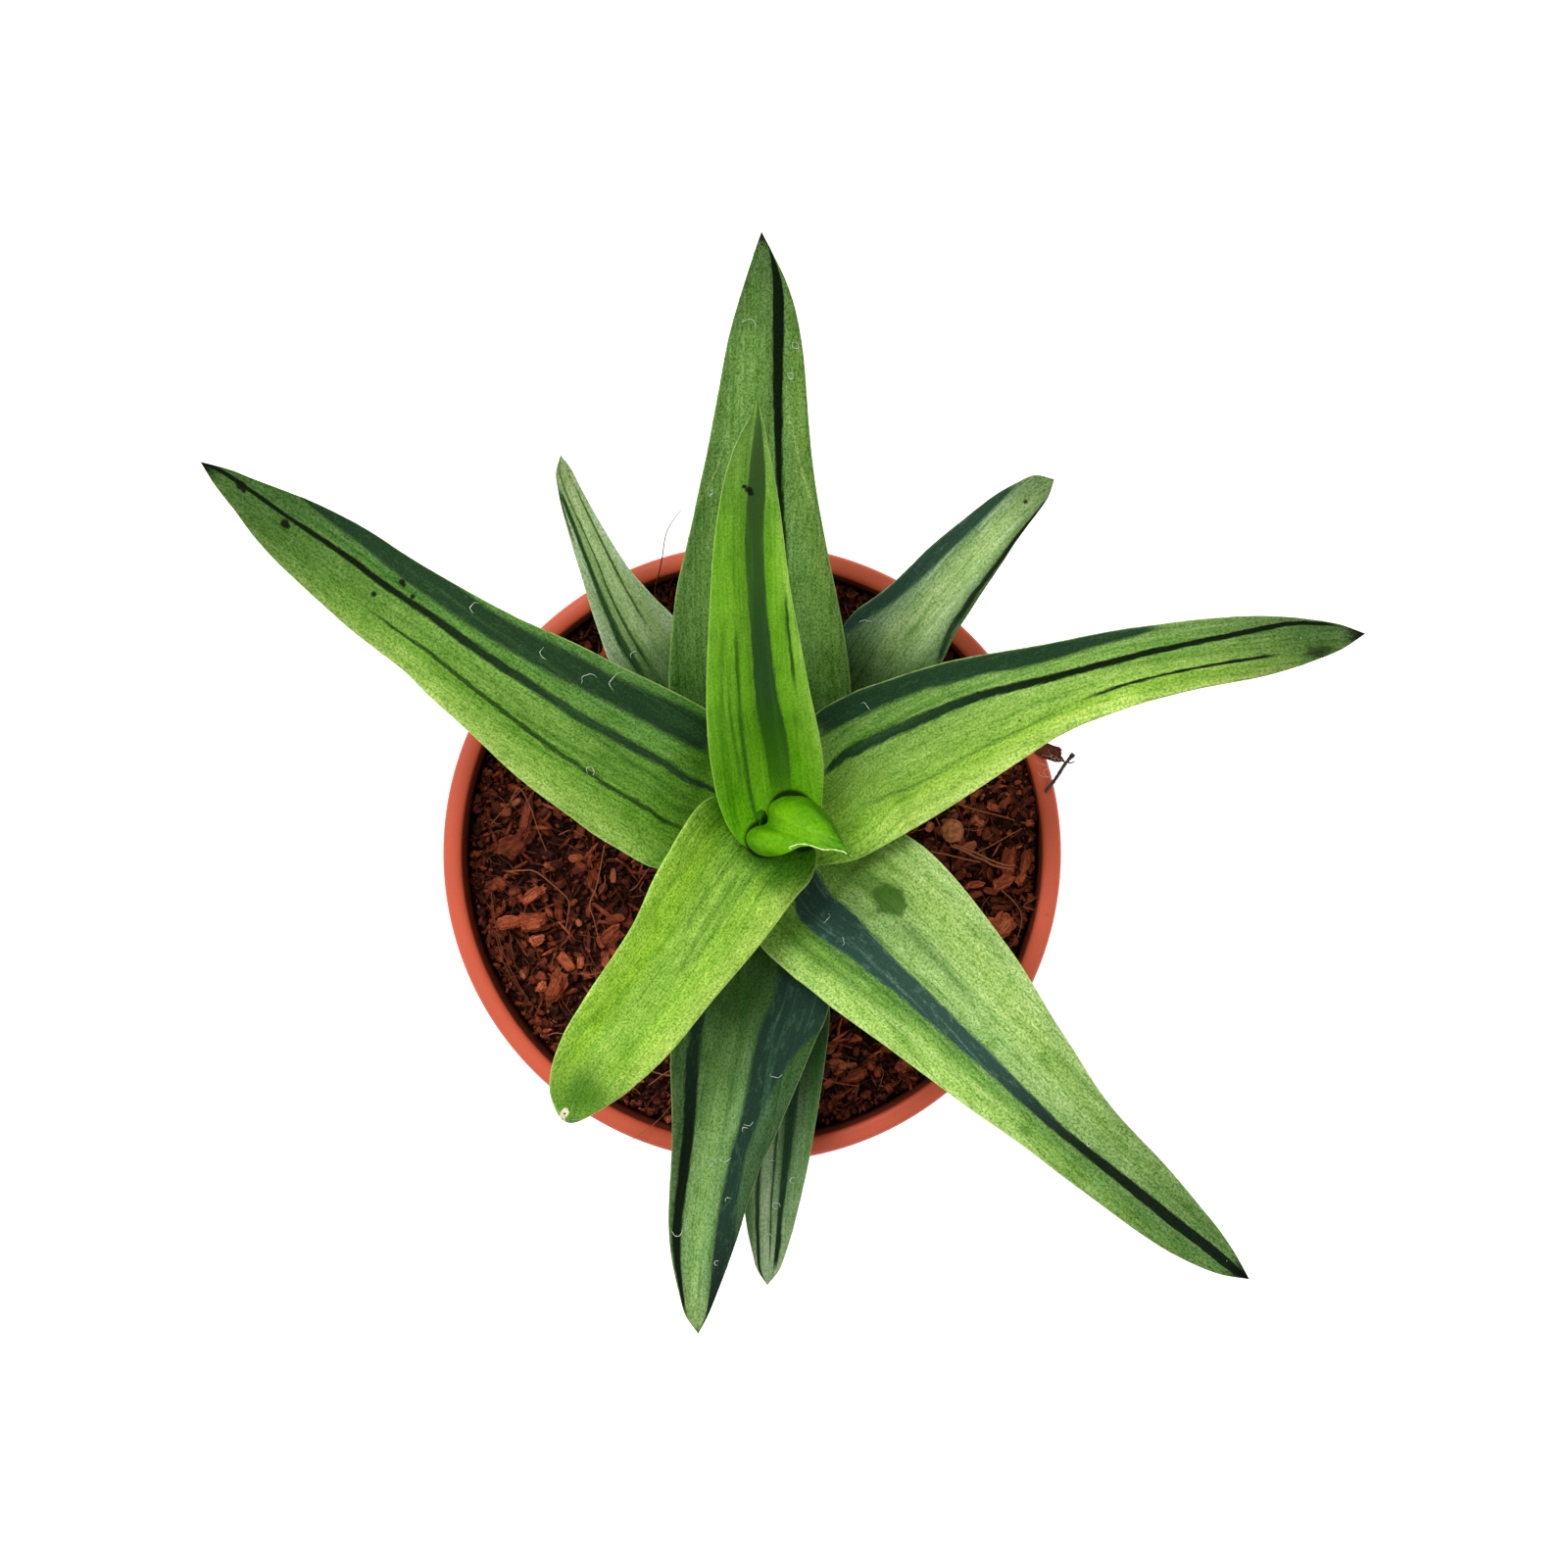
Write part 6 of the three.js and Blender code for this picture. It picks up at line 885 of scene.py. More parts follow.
def heart_mesh():
    n = 128
    rings = []
    for z, pts in HEART:
        c = closed_resample(pts, n)
        rings.append(np.c_[c, np.full(n, z)].ravel())
    # below, it is a tight roll standing on the growing point
    for z, cx0, cy0, r in ((121.5, 5.3, 4.5, 2.9), (113.0, 4.4, 4.8, 3.6)):
        top = closed_resample(HEART[0][1], n)
        a0 = np.unwrap(np.arctan2(top[:, 1] - top[:, 1].mean(), top[:, 0] - top[:, 0].mean()))
        a0 = np.linspace(a0[0], a0[0] + np.sign(a0[-1] - a0[0]) * 2 * math.pi * (n - 1) / n, n)
        rings.insert(0, np.c_[cx0 + r * np.cos(a0), cy0 + r * np.sin(a0), np.full(n, z)].ravel())
    rings = np.array(rings)
    dense = hermite(rings, 110)
    verts = dense.reshape(-1, 3)
    k = len(dense)
    out = []
    cx, cy = 7.5, 4.0
    # the open lower side follows the free margin of the rolled blade, and is undercut below it
    mx = [4.4, 5.44, 6.8, 8.2, 9.3, 10.97, 12.3, 13.75, 15.4, 17.3, 18.4, 19.0]
    my = [-0.2, 0.0, 0.58, 1.3, 1.85, 1.95, 1.5, 1.05, 1.1, 0.7, -0.35, -0.6]
    for q in verts:
        if q[0] > 4.4 and q[2] > 128:
            ym = float(np.interp(q[0], mx, my)) + max(0.0, 143.0 - q[2]) * 0.09 * min(1.0, (q[0] - 4.4) / 2.0)
            over = ym - q[1]
            if over > -0.5:
                # soft clamp to the margin
                q[1] = ym + 0.12 * math.log1p(math.exp(-over / 0.12)) if over < 3 else ym
        a = 0.10 * fbm((q[0] * 0.35, q[1] * 0.35, q[2] * 0.2), 3)
        d = Vector((q[0] - cx, q[1] - cy, 2.0)).normalized()
        out.append(Vector(q) + d * a)
    faces = []
    for i in range(k - 1):
        for j in range(n):
            faces.append((i*n + j, i*n + (j+1) % n, (i+1)*n + (j+1) % n, (i+1)*n + j))
    tip = len(out); out.append(Vector(HEART_TIP))
    for j in range(n):
        faces.append(((k-1)*n + j, (k-1)*n + (j+1) % n, tip))
    low = len(out); out.append(Vector(verts[:n].mean(0)) + Vector((0, 0, -0.6)))
    for j in range(n):
        faces.append(((j+1) % n, j, low))
    ob = new_object("leaf_heart_skin", [v * MM for v in out], faces)
    bm = bmesh.new(); bm.from_mesh(ob.data)
    if bm.calc_volume(signed=True) < 0:
        bmesh.ops.reverse_faces(bm, faces=bm.faces)
    bm.to_mesh(ob.data); bm.free()
    return ob


def young_material(name, seed, tip_dark=True, base=(84, 144, 2), dark=(34, 104, 6), high=(106, 166, 8)):
    m = Nodes(name)
    pos = m.n("ShaderNodeTexCoord").outputs["Object"]
    # turned so that x runs towards the tip, in millimetres
    mp = m.n("ShaderNodeMapping")
    mp.inputs["Rotation"].default_value = (0, 0, math.radians(24))
    mp.inputs["Scale"].default_value = (1000, 1000, 1000)
    m.link(pos, mp.inputs["Vector"])
    loc = mp.outputs[0]
    sx = m.n("ShaderNodeSeparateXYZ"); m.link(loc, sx.inputs[0])
    grain = m.noise(m.scaled(loc, 1, 1, 1, seed), 1.9, 3.0, 0.65)
    cloud = m.noise(m.scaled(loc, 0.10, 0.16, 0.1, seed), 1.0, 3.0, 0.5)
    streak = m.noise(m.scaled(loc, 0.14, 1.5, 0.4, seed), 1.0, 3.0, 0.6)
    col = m.mix(m.step(cloud, 0.35, 0.68), srgb(*base), srgb(*high))
    col = m.mix(m.math("MULTIPLY", m.step(streak, 0.50, 0.72), 0.35), col, srgb(60, 142, 6))
    if tip_dark:
        t = m.step(m.math("MULTIPLY_ADD", streak, 5.0, sx.outputs[0]), 10.5, 17.5)
        col = m.mix(m.math("MULTIPLY", t, 0.55), col, srgb(*dark))
        fine = m.noise(m.scaled(loc, 0.30, 2.6, 0.4, seed, 4), 1.0, 2.0, 0.6)
        d = m.math("MULTIPLY", m.step(fine, 0.53, 0.66), m.step(sx.outputs[0], 10.0, 14.5))
        col = m.mix(m.math("MULTIPLY", d, 0.85), col, srgb(14, 62, 8))
    col = m.mix(m.math("MULTIPLY", m.step(grain, 0.50, 0.66), 0.42), col, srgb(50, 116, 6))
    col = m.mix(m.math("MULTIPLY", m.step(grain, 0.47, 0.32), 0.32), col, srgb(140, 196, 50))
    # painted shade: the steeper flanks of the roll, turned away from the light above, are darkened in the colour
    gn = m.n("ShaderNodeSeparateXYZ"); m.link(m.n("ShaderNodeNewGeometry").outputs["Normal"], gn.inputs[0])
    col = m.mix(m.math("MULTIPLY", m.step(gn.outputs[2], 0.72, 0.25), 0.75), col, (0.42, 0.55, 0.35, 1), "MULTIPLY")
    fleck = m.noise(m.scaled(loc, 0.9, 0.9, 0.9, 3 + seed), 1.0, 3.0, 0.7)
    fm = m.math("MULTIPLY", m.step(fleck, 0.76, 0.80), 0.6)
    col = m.mix(fm, col, srgb(200, 224, 170))
    m.link(col, m.bsdf.inputs["Base Color"])
    m.link(m.math("MULTIPLY_ADD", grain, 0.16, 0.36), m.bsdf.inputs["Roughness"])
    m.bsdf.inputs["Specular IOR Level"].default_value = 0.07
    nb = m.bump(streak, 0.22, 0.0005)
    nb = m.bump(grain, 0.20, 0.0002, nb)
    m.link(nb, m.bsdf.inputs["Normal"])
    return m.mat


def tube(path, radii, sides=6, cap=True):
    """Verts and faces of a tube along path (Vectors, mm) with a radius at each point."""
    path = [Vector(p) for p in path]
    n = len(path)
    verts, faces = [], []
    ref = Vector((0.3, 0.2, 1.0)).normalized()
    prev = None
    for i, p in enumerate(path):
        t = (path[min(i + 1, n - 1)] - path[max(i - 1, 0)])
        t = t.normalized() if t.length > 1e-9 else Vector((1, 0, 0))
        a = (prev if prev is not None else t.cross(ref))
        a = (a - t * a.dot(t))
        a = a.normalized() if a.length > 1e-6 else t.orthogonal().normalized()
        prev = a
        b = t.cross(a)
        for j in range(sides):
            w = 2 * math.pi * j / sides
            verts.append(p + (a * math.cos(w) + b * math.sin(w)) * radii[i])
    for i in range(n - 1):
        for j in range(sides):
            faces.append((i*sides + j, i*sides + (j+1) % sides, (i+1)*sides + (j+1) % sides, (i+1)*sides + j))
    if cap:
        faces.append(tuple(reversed(range(sides))))
        faces.append(tuple(range((n-1)*sides, n*sides)))
    return verts, faces


heart = heart_mesh()
heart.data.materials.append(young_material("heart_leaf_tissue", 1.0))
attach(heart, "root"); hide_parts("leaf_heart")

# pale horny margin of the heart leaf, laid on its surface, ending in the soft spine
bpy.context.view_layer.update()
dg = bpy.context.evaluated_depsgraph_get()
from mathutils.bvhtree import BVHTree
bm = bmesh.new(); bm.from_mesh(heart.data)
heart_tree = BVHTree.FromBMesh(bm); bm.free()


def on_heart(x, y):
    hit = heart_tree.ray_cast(Vector((x, y, 200)) * MM, Vector((0, 0, -1)))
    return hit[0].z / MM if hit[0] is not None else None


MARGIN = [(7.6, 1.35), (8.2, 2.0), (8.9, 2.3), (9.8, 2.32), (10.8, 2.15), (11.8, 1.85), (12.8, 1.5), (13.7, 1.25), (14.6, 1.3), (15.5, 1.3), (16.5, 1.1), (17.3, 0.9), (18.0, 0.35), (18.4, -0.2)]
mp_, last = [], None
for x, y in closed_resample(MARGIN, 96)[:88]:
    z = on_heart(x, y)
    if z is None:
        z = last if last is not None else 147.5
    last = z
    mp_.append(Vector((x, y, z)))
for _ in range(4):
    mp_ = [mp_[0]] + [(mp_[i-1] + mp_[i]*2 + mp_[i+1]) / 4 for i in range(1, len(mp_) - 1)] + [mp_[-1]]
radii = [0.105 + 0.07 * noise.noise(p * 1.7) for p in mp_]
radii[-3:] = [0.14, 0.09, 0.03]
v, f = tube(mp_, radii, 8)
margin = new_object("leaf_heart_margin", [p * MM for p in v], f)


def margin_material():
    m = Nodes("horny_margin")
    pos = m.n("ShaderNodeTexCoord").outputs["Object"]
    nz = m.noise(m.scaled(pos, 1000, 1000, 1000), 1.6, 3.0, 0.6)
    col = m.mix(m.step(nz, 0.35, 0.65), srgb(196, 222, 120), srgb(232, 238, 190))
    m.link(col, m.bsdf.inputs["Base Color"])
    m.link(m.math("MULTIPLY_ADD", nz, 0.25, 0.3), m.bsdf.inputs["Roughness"])
    m.link(m.bump(nz, 0.3, 0.0002), m.bsdf.inputs["Normal"])
    return m.mat


horn = margin_material()
margin.data.materials.append(horn)
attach(margin, "root")

# the bud: a small folded leaf in the hollow behind the heart leaf
lo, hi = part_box("leaf_bud")
bx, by = (lo.x + hi.x) / 2 / MM, (lo.y + hi.y) / 2 / MM
bz0, bz1 = lo.z / MM, hi.z / MM
verts, faces = [], []
NB, MB = 40, 36
for i in range(NB):
    t = i / (NB - 1)
    r = 1.45 * (1 - t ** 2.2) * (0.75 + 0.35 * math.sin(math.pi * min(1, t * 1.3))) + 0.05 * (1 - t)
    for j in range(MB):
        w = 2 * math.pi * j / MB
        fold = 1 - 0.42 * math.exp(-((w - math.pi * 1.25 + math.pi) % (2 * math.pi) - math.pi) ** 2 / 0.12)
        rib = 1 + 0.03 * math.sin(w * 9)
        verts.append(Vector((bx + r * fold * rib * math.cos(w) * 0.8, by + r * fold * rib * math.sin(w) * 1.15, bz0 + (bz1 - bz0) * t)))
for i in range(NB - 1):
    for j in range(MB):
        faces.append((i*MB + j, i*MB + (j+1) % MB, (i+1)*MB + (j+1) % MB, (i+1)*MB + j))
faces.append(tuple(reversed(range(MB)))); faces.append(tuple(range((NB-1)*MB, NB*MB)))
bud = new_object("leaf_bud_skin", [p * MM for p in verts], faces)
bud.data.materials.append(young_material("bud_leaf_tissue", 5.0, False, (44, 96, 14), (20, 60, 6), (70, 128, 28)))
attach(bud, "root"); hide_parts("leaf_bud")

# ------------------------------------------------------------------ stem with dry leaf bases
def stem_mesh():
    verts, faces, kind = [], [], []
    ns, nz = 72, 70
    z0, z1 = 84.0, 123.0
    for i in range(nz):
        t = i / (nz - 1)
        z = z0 + (z1 - z0) * t
        r = 6.4 - 1.6 * min(1.0, max(0.0, (z - 90) / 12)) if z < 112 else 4.6 - 1.3 * (z - 112) / 12
        for j in range(ns):
            w = 2 * math.pi * j / ns
            scar = 0.30 * abs(math.sin((z - 84) * 0.85 + 0.9 * math.sin(w * 2 + z * 0.13))) ** 6
            k = r + scar + 0.22 * fbm((math.cos(w) * 2.2, math.sin(w) * 2.2, z * 0.4), 3)
            verts.append(Vector((AX[0] + k * math.cos(w), AX[1] + k * math.sin(w), z)))
            kind.append(0.0)
    for i in range(nz - 1):
        for j in range(ns):
            faces.append((i*ns + j, i*ns + (j+1) % ns, (i+1)*ns + (j+1) % ns, (i+1)*ns + j))
    faces.append(tuple(reversed(range(ns)))); faces.append(tuple(range((nz-1)*ns, nz*ns)))
    # dry, papery remains of old leaf bases round the foot
    rr = random.Random(11)
    for s in range(7):
        a0 = s * 2.4 + rr.uniform(-0.3, 0.3)
        span = rr.uniform(1.1, 1.7)
        zb, zt = 94.0 + s * 0.9, 101.5 + s * 1.5 + rr.uniform(-1, 1)
        nu_, nv_ = 26, 16
        start = len(verts)
        for side in (0, 1):
            for i in range(nv_):
                q = i / (nv_ - 1)
                for j in range(nu_):
                    a = a0 + span * (j / (nu_ - 1) - 0.5) * (1.0 - 0.35 * q)
                    rag = 1.6 * fbm((j * 0.35, s * 3.1, 0.5), 3) * q
                    z = zb + (zt - zb) * q + rag
                    r = 6.0 + 0.16 * s + 2.3 * q ** 2.2 + 0.25 * fbm((j * 0.4, q * 3, s), 3) + (0.22 if side else 0.0)
                    verts.append(Vector((AX[0] + r * math.cos(a), AX[1] + r * math.sin(a), z)))
                    kind.append(1.0)
        m_ = nu_ * nv_
        for i in range(nv_ - 1):
            for j in range(nu_ - 1):
                a, b, c, d = start + i*nu_ + j, start + i*nu_ + j + 1, start + (i+1)*nu_ + j + 1, start + (i+1)*nu_ + j
                faces.append((a, d, c, b)); faces.append((a + m_, b + m_, c + m_, d + m_))
        for i in range(nv_ - 1):
            a, d = start + i*nu_, start + (i+1)*nu_
            faces.append((a, a + m_, d + m_, d))
            a, d = start + i*nu_ + nu_ - 1, start + (i+1)*nu_ + nu_ - 1
            faces.append((a, d, d + m_, a + m_))
        for j in range(nu_ - 1):
            a, b = start + j, start + j + 1
            faces.append((a, b, b + m_, a + m_))
            a, b = start + (nv_-1)*nu_ + j, start + (nv_-1)*nu_ + j + 1
            faces.append((a, a + m_, b + m_, b))
    ob = new_object("stem_skin", [p * MM for p in verts], faces)
    at = ob.data.attributes.new("dry", "FLOAT", "POINT")
    at.data.foreach_set("value", kind)
    return ob


def stem_material():
    m = Nodes("stem_bark")
    pos = m.n("ShaderNodeTexCoord").outputs["Object"]
    mm = m.scaled(pos, 1000, 1000, 1000)
    dry = m.n("ShaderNodeAttribute", attribute_name="dry").outputs["Fac"]
    sp = m.n("ShaderNodeSeparateXYZ"); m.link(mm, sp.inputs[0])
    fib = m.noise(m.scaled(mm, 1.2, 1.2, 0.16), 1.0, 4.0, 0.65)
    gr = m.noise(mm, 1.7, 4.0, 0.65)
    stem = m.mix(m.step(gr, 0.35, 0.65), srgb(146, 160, 96), srgb(196, 202, 140))
    stem = m.mix(m.step(m.math("MULTIPLY_ADD", gr, 4.0, sp.outputs[2]), 104.0, 98.0), stem, srgb(112, 92, 58))
    paper = m.mix(m.step(fib, 0.32, 0.68), srgb(104, 72, 44), srgb(196, 164, 118))
    paper = m.mix(m.math("MULTIPLY", m.step(gr, 0.55, 0.72), 0.5), paper, srgb(70, 44, 26))
    col = m.mix(dry, stem, paper)
    m.link(col, m.bsdf.inputs["Base Color"])
    m.link(m.math("MULTIPLY_ADD", gr, 0.3, 0.5), m.bsdf.inputs["Roughness"])
    m.link(m.bump(m.math("ADD", fib, gr), 0.5, 0.0005), m.bsdf.inputs["Normal"])
    return m.mat


stem = stem_mesh()
stem.data.materials.append(stem_material())
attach(stem, "root"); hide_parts("stem")

# ------------------------------------------------------------------ lint and dried water marks on the blades
# leaf, u, v, size mm, how much of a turn, heading
CURLS = [
    ("leaf_front", 0.45, -0.72, 3.2, 1.2, 0.3), ("leaf_front", 0.56, -0.50, 2.6, 0.8, 0.1), ("leaf_front", 0.64, -0.30, 3.4, 1.0, 0.2), ("leaf_front", 0.665, -0.02, 4.2, 2.2, 1.3),
    ("leaf_front", 0.585, -0.38, 2.4, 1.6, 2.0), ("leaf_front", 0.80, 0.62, 3.6, 1.0, 0.2), ("leaf_front", 0.86, -0.62, 2.2, 1.8, 1.0), ("leaf_front", 0.73, -0.42, 2.0, 1.2, 2.4),
    ("leaf_small_front", 0.82, -0.25, 4.0, 2.2, 0.8), ("leaf_small_front", 0.71, -0.02, 3.6, 1.6, 0.4), ("leaf_small_front", 0.90, 0.18, 3.0, 1.6, 2.4), ("leaf_small_front", 0.76, -0.68, 2.6, 2.0, 1.0),
    ("leaf_left", 0.29, 0.68, 6.5, 1.5, 0.1), ("leaf_left", 0.34, 0.55, 4.5, 1.2, 0.6), ("leaf_left", 0.41, 0.60, 4.0, 1.4, -0.2), ("leaf_left", 0.25, -0.42, 4.2, 2.6, 0.5), ("leaf_left", 0.55, 0.70, 3.0, 1.2, 0.2),
    ("leaf_back", 0.565, -0.80, 3.2, 2.6, 1.6), ("leaf_back", 0.77, 0.60, 3.4, 2.2, 1.4), ("leaf_back", 0.82, 0.84, 3.6, 2.6, 2.0), ("leaf_back", 0.85, -0.72, 4.4, 1.4, 0.8), ("leaf_back", 0.63, -0.45, 2.4, 1.6, 1.0),
    ("leaf_front_right", 0.69, -0.10, 3.2, 2.4, 1.2), ("leaf_front_right", 0.12, 0.20, 2.6, 1.2, 0.2), ("leaf_front_right", 0.16, 0.32, 2.4, 0.8, 0.0),
    ("leaf_right", 0.20, -0.82, 3.0, 1.0, 0.2), ("leaf_small_back_right", 0.47, -0.80, 3.0, 1.0, 0.1), ("leaf_small_back_left", 0.49, -0.50, 2.6, 1.2, 0.2),
]
cv, cf, cn = [], [], 0
for i, (node, u0, v0, size, turns, head) in enumerate(CURLS):
    rows = LEAF[node]
    here = on_blade(rows, u0, v0, 0.0)
    du = np.linalg.norm(on_blade(rows, u0 + 0.02, v0, 0.0) - on_blade(rows, u0 - 0.02, v0, 0.0)) / 0.04
    dv = np.linalg.norm(on_blade(rows, u0, v0 + 0.05, 0.0) - on_blade(rows, u0, v0 - 0.05, 0.0)) / 0.10
    pts, x, y, h = [], 0.0, 0.0, head
    n = 22
    for k in range(n):
        pts.append(Vector(on_blade(rows, u0 + x / du, v0 + y / dv, 0.16 + 0.10 * noise.noise(Vector((k * 0.4, i, 0.0))))))
        x += math.cos(h) * size / n; y += math.sin(h) * size / n
        h += turns * 2.2 / n + 0.25 * noise.noise(Vector((k * 0.3, i * 3.1, 1.0)))
    for _ in range(3):
        pts = [pts[0]] + [(pts[k-1] + pts[k]*2 + pts[k+1]) / 4 for k in range(1, n - 1)] + [pts[-1]]
    v, f = tube(pts, [0.045 * (0.5 + math.sin(math.pi * (k + 0.5) / n)) for k in range(n)], 5)
    cv.extend(v); cf.extend([tuple(q + cn for q in p) for p in f]); cn += len(v)
lint = new_object("leaf_lint", [p * MM for p in cv], cf)
m = Nodes("lint_fibre")
mm_ = m.scaled(m.n("ShaderNodeTexCoord").outputs["Object"], 1000, 1000, 1000)
a = m.noise(mm_, 1.2, 3.0, 0.6)
col = m.mix(m.step(a, 0.35, 0.65), srgb(160, 186, 152), srgb(232, 238, 224))
m.link(col, m.bsdf.inputs["Base Color"])
m.link(m.math("MULTIPLY_ADD", a, 0.3, 0.5), m.bsdf.inputs["Roughness"])
m.link(m.bump(a, 0.3, 0.0001), m.bsdf.inputs["Normal"])
lint.data.materials.append(m.mat)
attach(lint, "root")

# ------------------------------------------------------------------ pot
POT_PROFILE = [
    # radius, height: foot, outer wall, lip, inner wall, inner floor
    (0.0, 0.55), (3.0, 0.5), (3.4, 0.0), (4.2, 0.0), (4.6, 0.6), (22.0, 0.7), (24.0, 0.65), (36.8, 0.6), (37.6, 0.0), (40.4, 0.0), (41.3, 0.2), (41.9, 0.55), (42.25, 1.1),
    (42.5, 1.8), (42.75, 3.0), (43.02, 5.4), (43.10, 5.7), (43.10, 6.3), (43.35, 7.2), (45.3, 21.5), (47.3, 36.0), (49.3, 50.5), (51.3, 65.0), (53.3, 79.5), (54.35, 85.5), (54.62, 86.8),
    (55.3, 87.25), (56.9, 87.6), (57.55, 87.85), (57.85, 88.5), (57.98, 89.5), (58.25, 92.4), (58.33, 92.65), (58.33, 93.1), (58.45, 93.4), (59.1, 100.3), (59.5, 101.1), (60.1, 101.7), (60.4, 102.3), (60.5, 103.2), (60.45, 103.9),
    (60.25, 104.4), (59.9, 104.8), (59.4, 104.97), (58.6, 105.05), (57.8, 105.0), (57.2, 104.85), (56.8, 104.45), (56.62, 103.7), (56.55, 100.8), (56.2, 89.6), (55.95, 88.2), (55.2, 87.3), (52.75, 85.1), (52.55, 84.0),
    (41.55, 5.0), (41.2, 3.6), (40.3, 2.7), (39.2, 2.4), (20.0, 2.4), (0.0, 2.4),
]


def pot_mesh():
    seg = 192
    verts, faces = [], []
    prof = POT_PROFILE
    first, last = prof[0], prof[-1]
    ring = prof[1:-1]
    for r, z in ring:
        for j in range(seg):
            w = 2 * math.pi * j / seg
            k = 1.0 + (0.00035 * math.sin(2 * w + 0.6) if z > 60 else 0.0)      # a thin wall is never quite round
            verts.append((r * k * math.cos(w) * MM, r * k * math.sin(w) * MM, z * MM))
    for i in range(len(ring) - 1):
        for j in range(seg):
            faces.append((i*seg + j, i*seg + (j+1) % seg, (i+1)*seg + (j+1) % seg, (i+1)*seg + j))
    a = len(verts); verts.append((0, 0, first[1] * MM))
    b = len(verts); verts.append((0, 0, last[1] * MM))
    for j in range(seg):
        faces.append((a, (j+1) % seg, j))
        o = (len(ring) - 1) * seg
        faces.append((o + j, o + (j+1) % seg, b))
    ob = new_object("pot_shell", verts, faces)
    bm = bmesh.new(); bm.from_mesh(ob.data)
    bmesh.ops.recalc_face_normals(bm, faces=bm.faces)
    if bm.calc_volume(signed=True) < 0:
        bmesh.ops.reverse_faces(bm, faces=bm.faces)
    bm.to_mesh(ob.data); bm.free()
    # drain holes
    cv, cf = [], []
    for h in range(6):
        w = 2 * math.pi * h / 6 + 0.3
        cx, cy = 30 * math.cos(w), 30 * math.sin(w)
        s = len(cv); n = 40
        for z in (-2.0, 5.0):
            for j in range(n):
                t = 2 * math.pi * j / n
                cv.append(((cx + 3.5 * math.cos(t)) * MM, (cy + 3.5 * math.sin(t)) * MM, z * MM))
        cf.append(tuple(reversed(range(s, s + n)))); cf.append(tuple(range(s + n, s + 2*n)))
        for j in range(n):
            cf.append((s + j, s + (j+1) % n, s + n + (j+1) % n, s + n + j))
    cutter = new_object("hole_cutter", cv, cf, smooth=False)
    md = ob.modifiers.new("holes", "BOOLEAN")
    md.operation = "DIFFERENCE"; md.solver = "EXACT"; md.object = cutter
    bpy.context.view_layer.update()
    dgr = bpy.context.evaluated_depsgraph_get()
    me = bpy.data.meshes.new_from_object(ob.evaluated_get(dgr))
    ob.modifiers.clear()
    ob.data = me
    bpy.data.objects.remove(cutter)
    me.polygons.foreach_set("use_smooth", [True] * len(me.polygons))
    me.set_sharp_from_angle(angle=math.radians(38))
    return ob


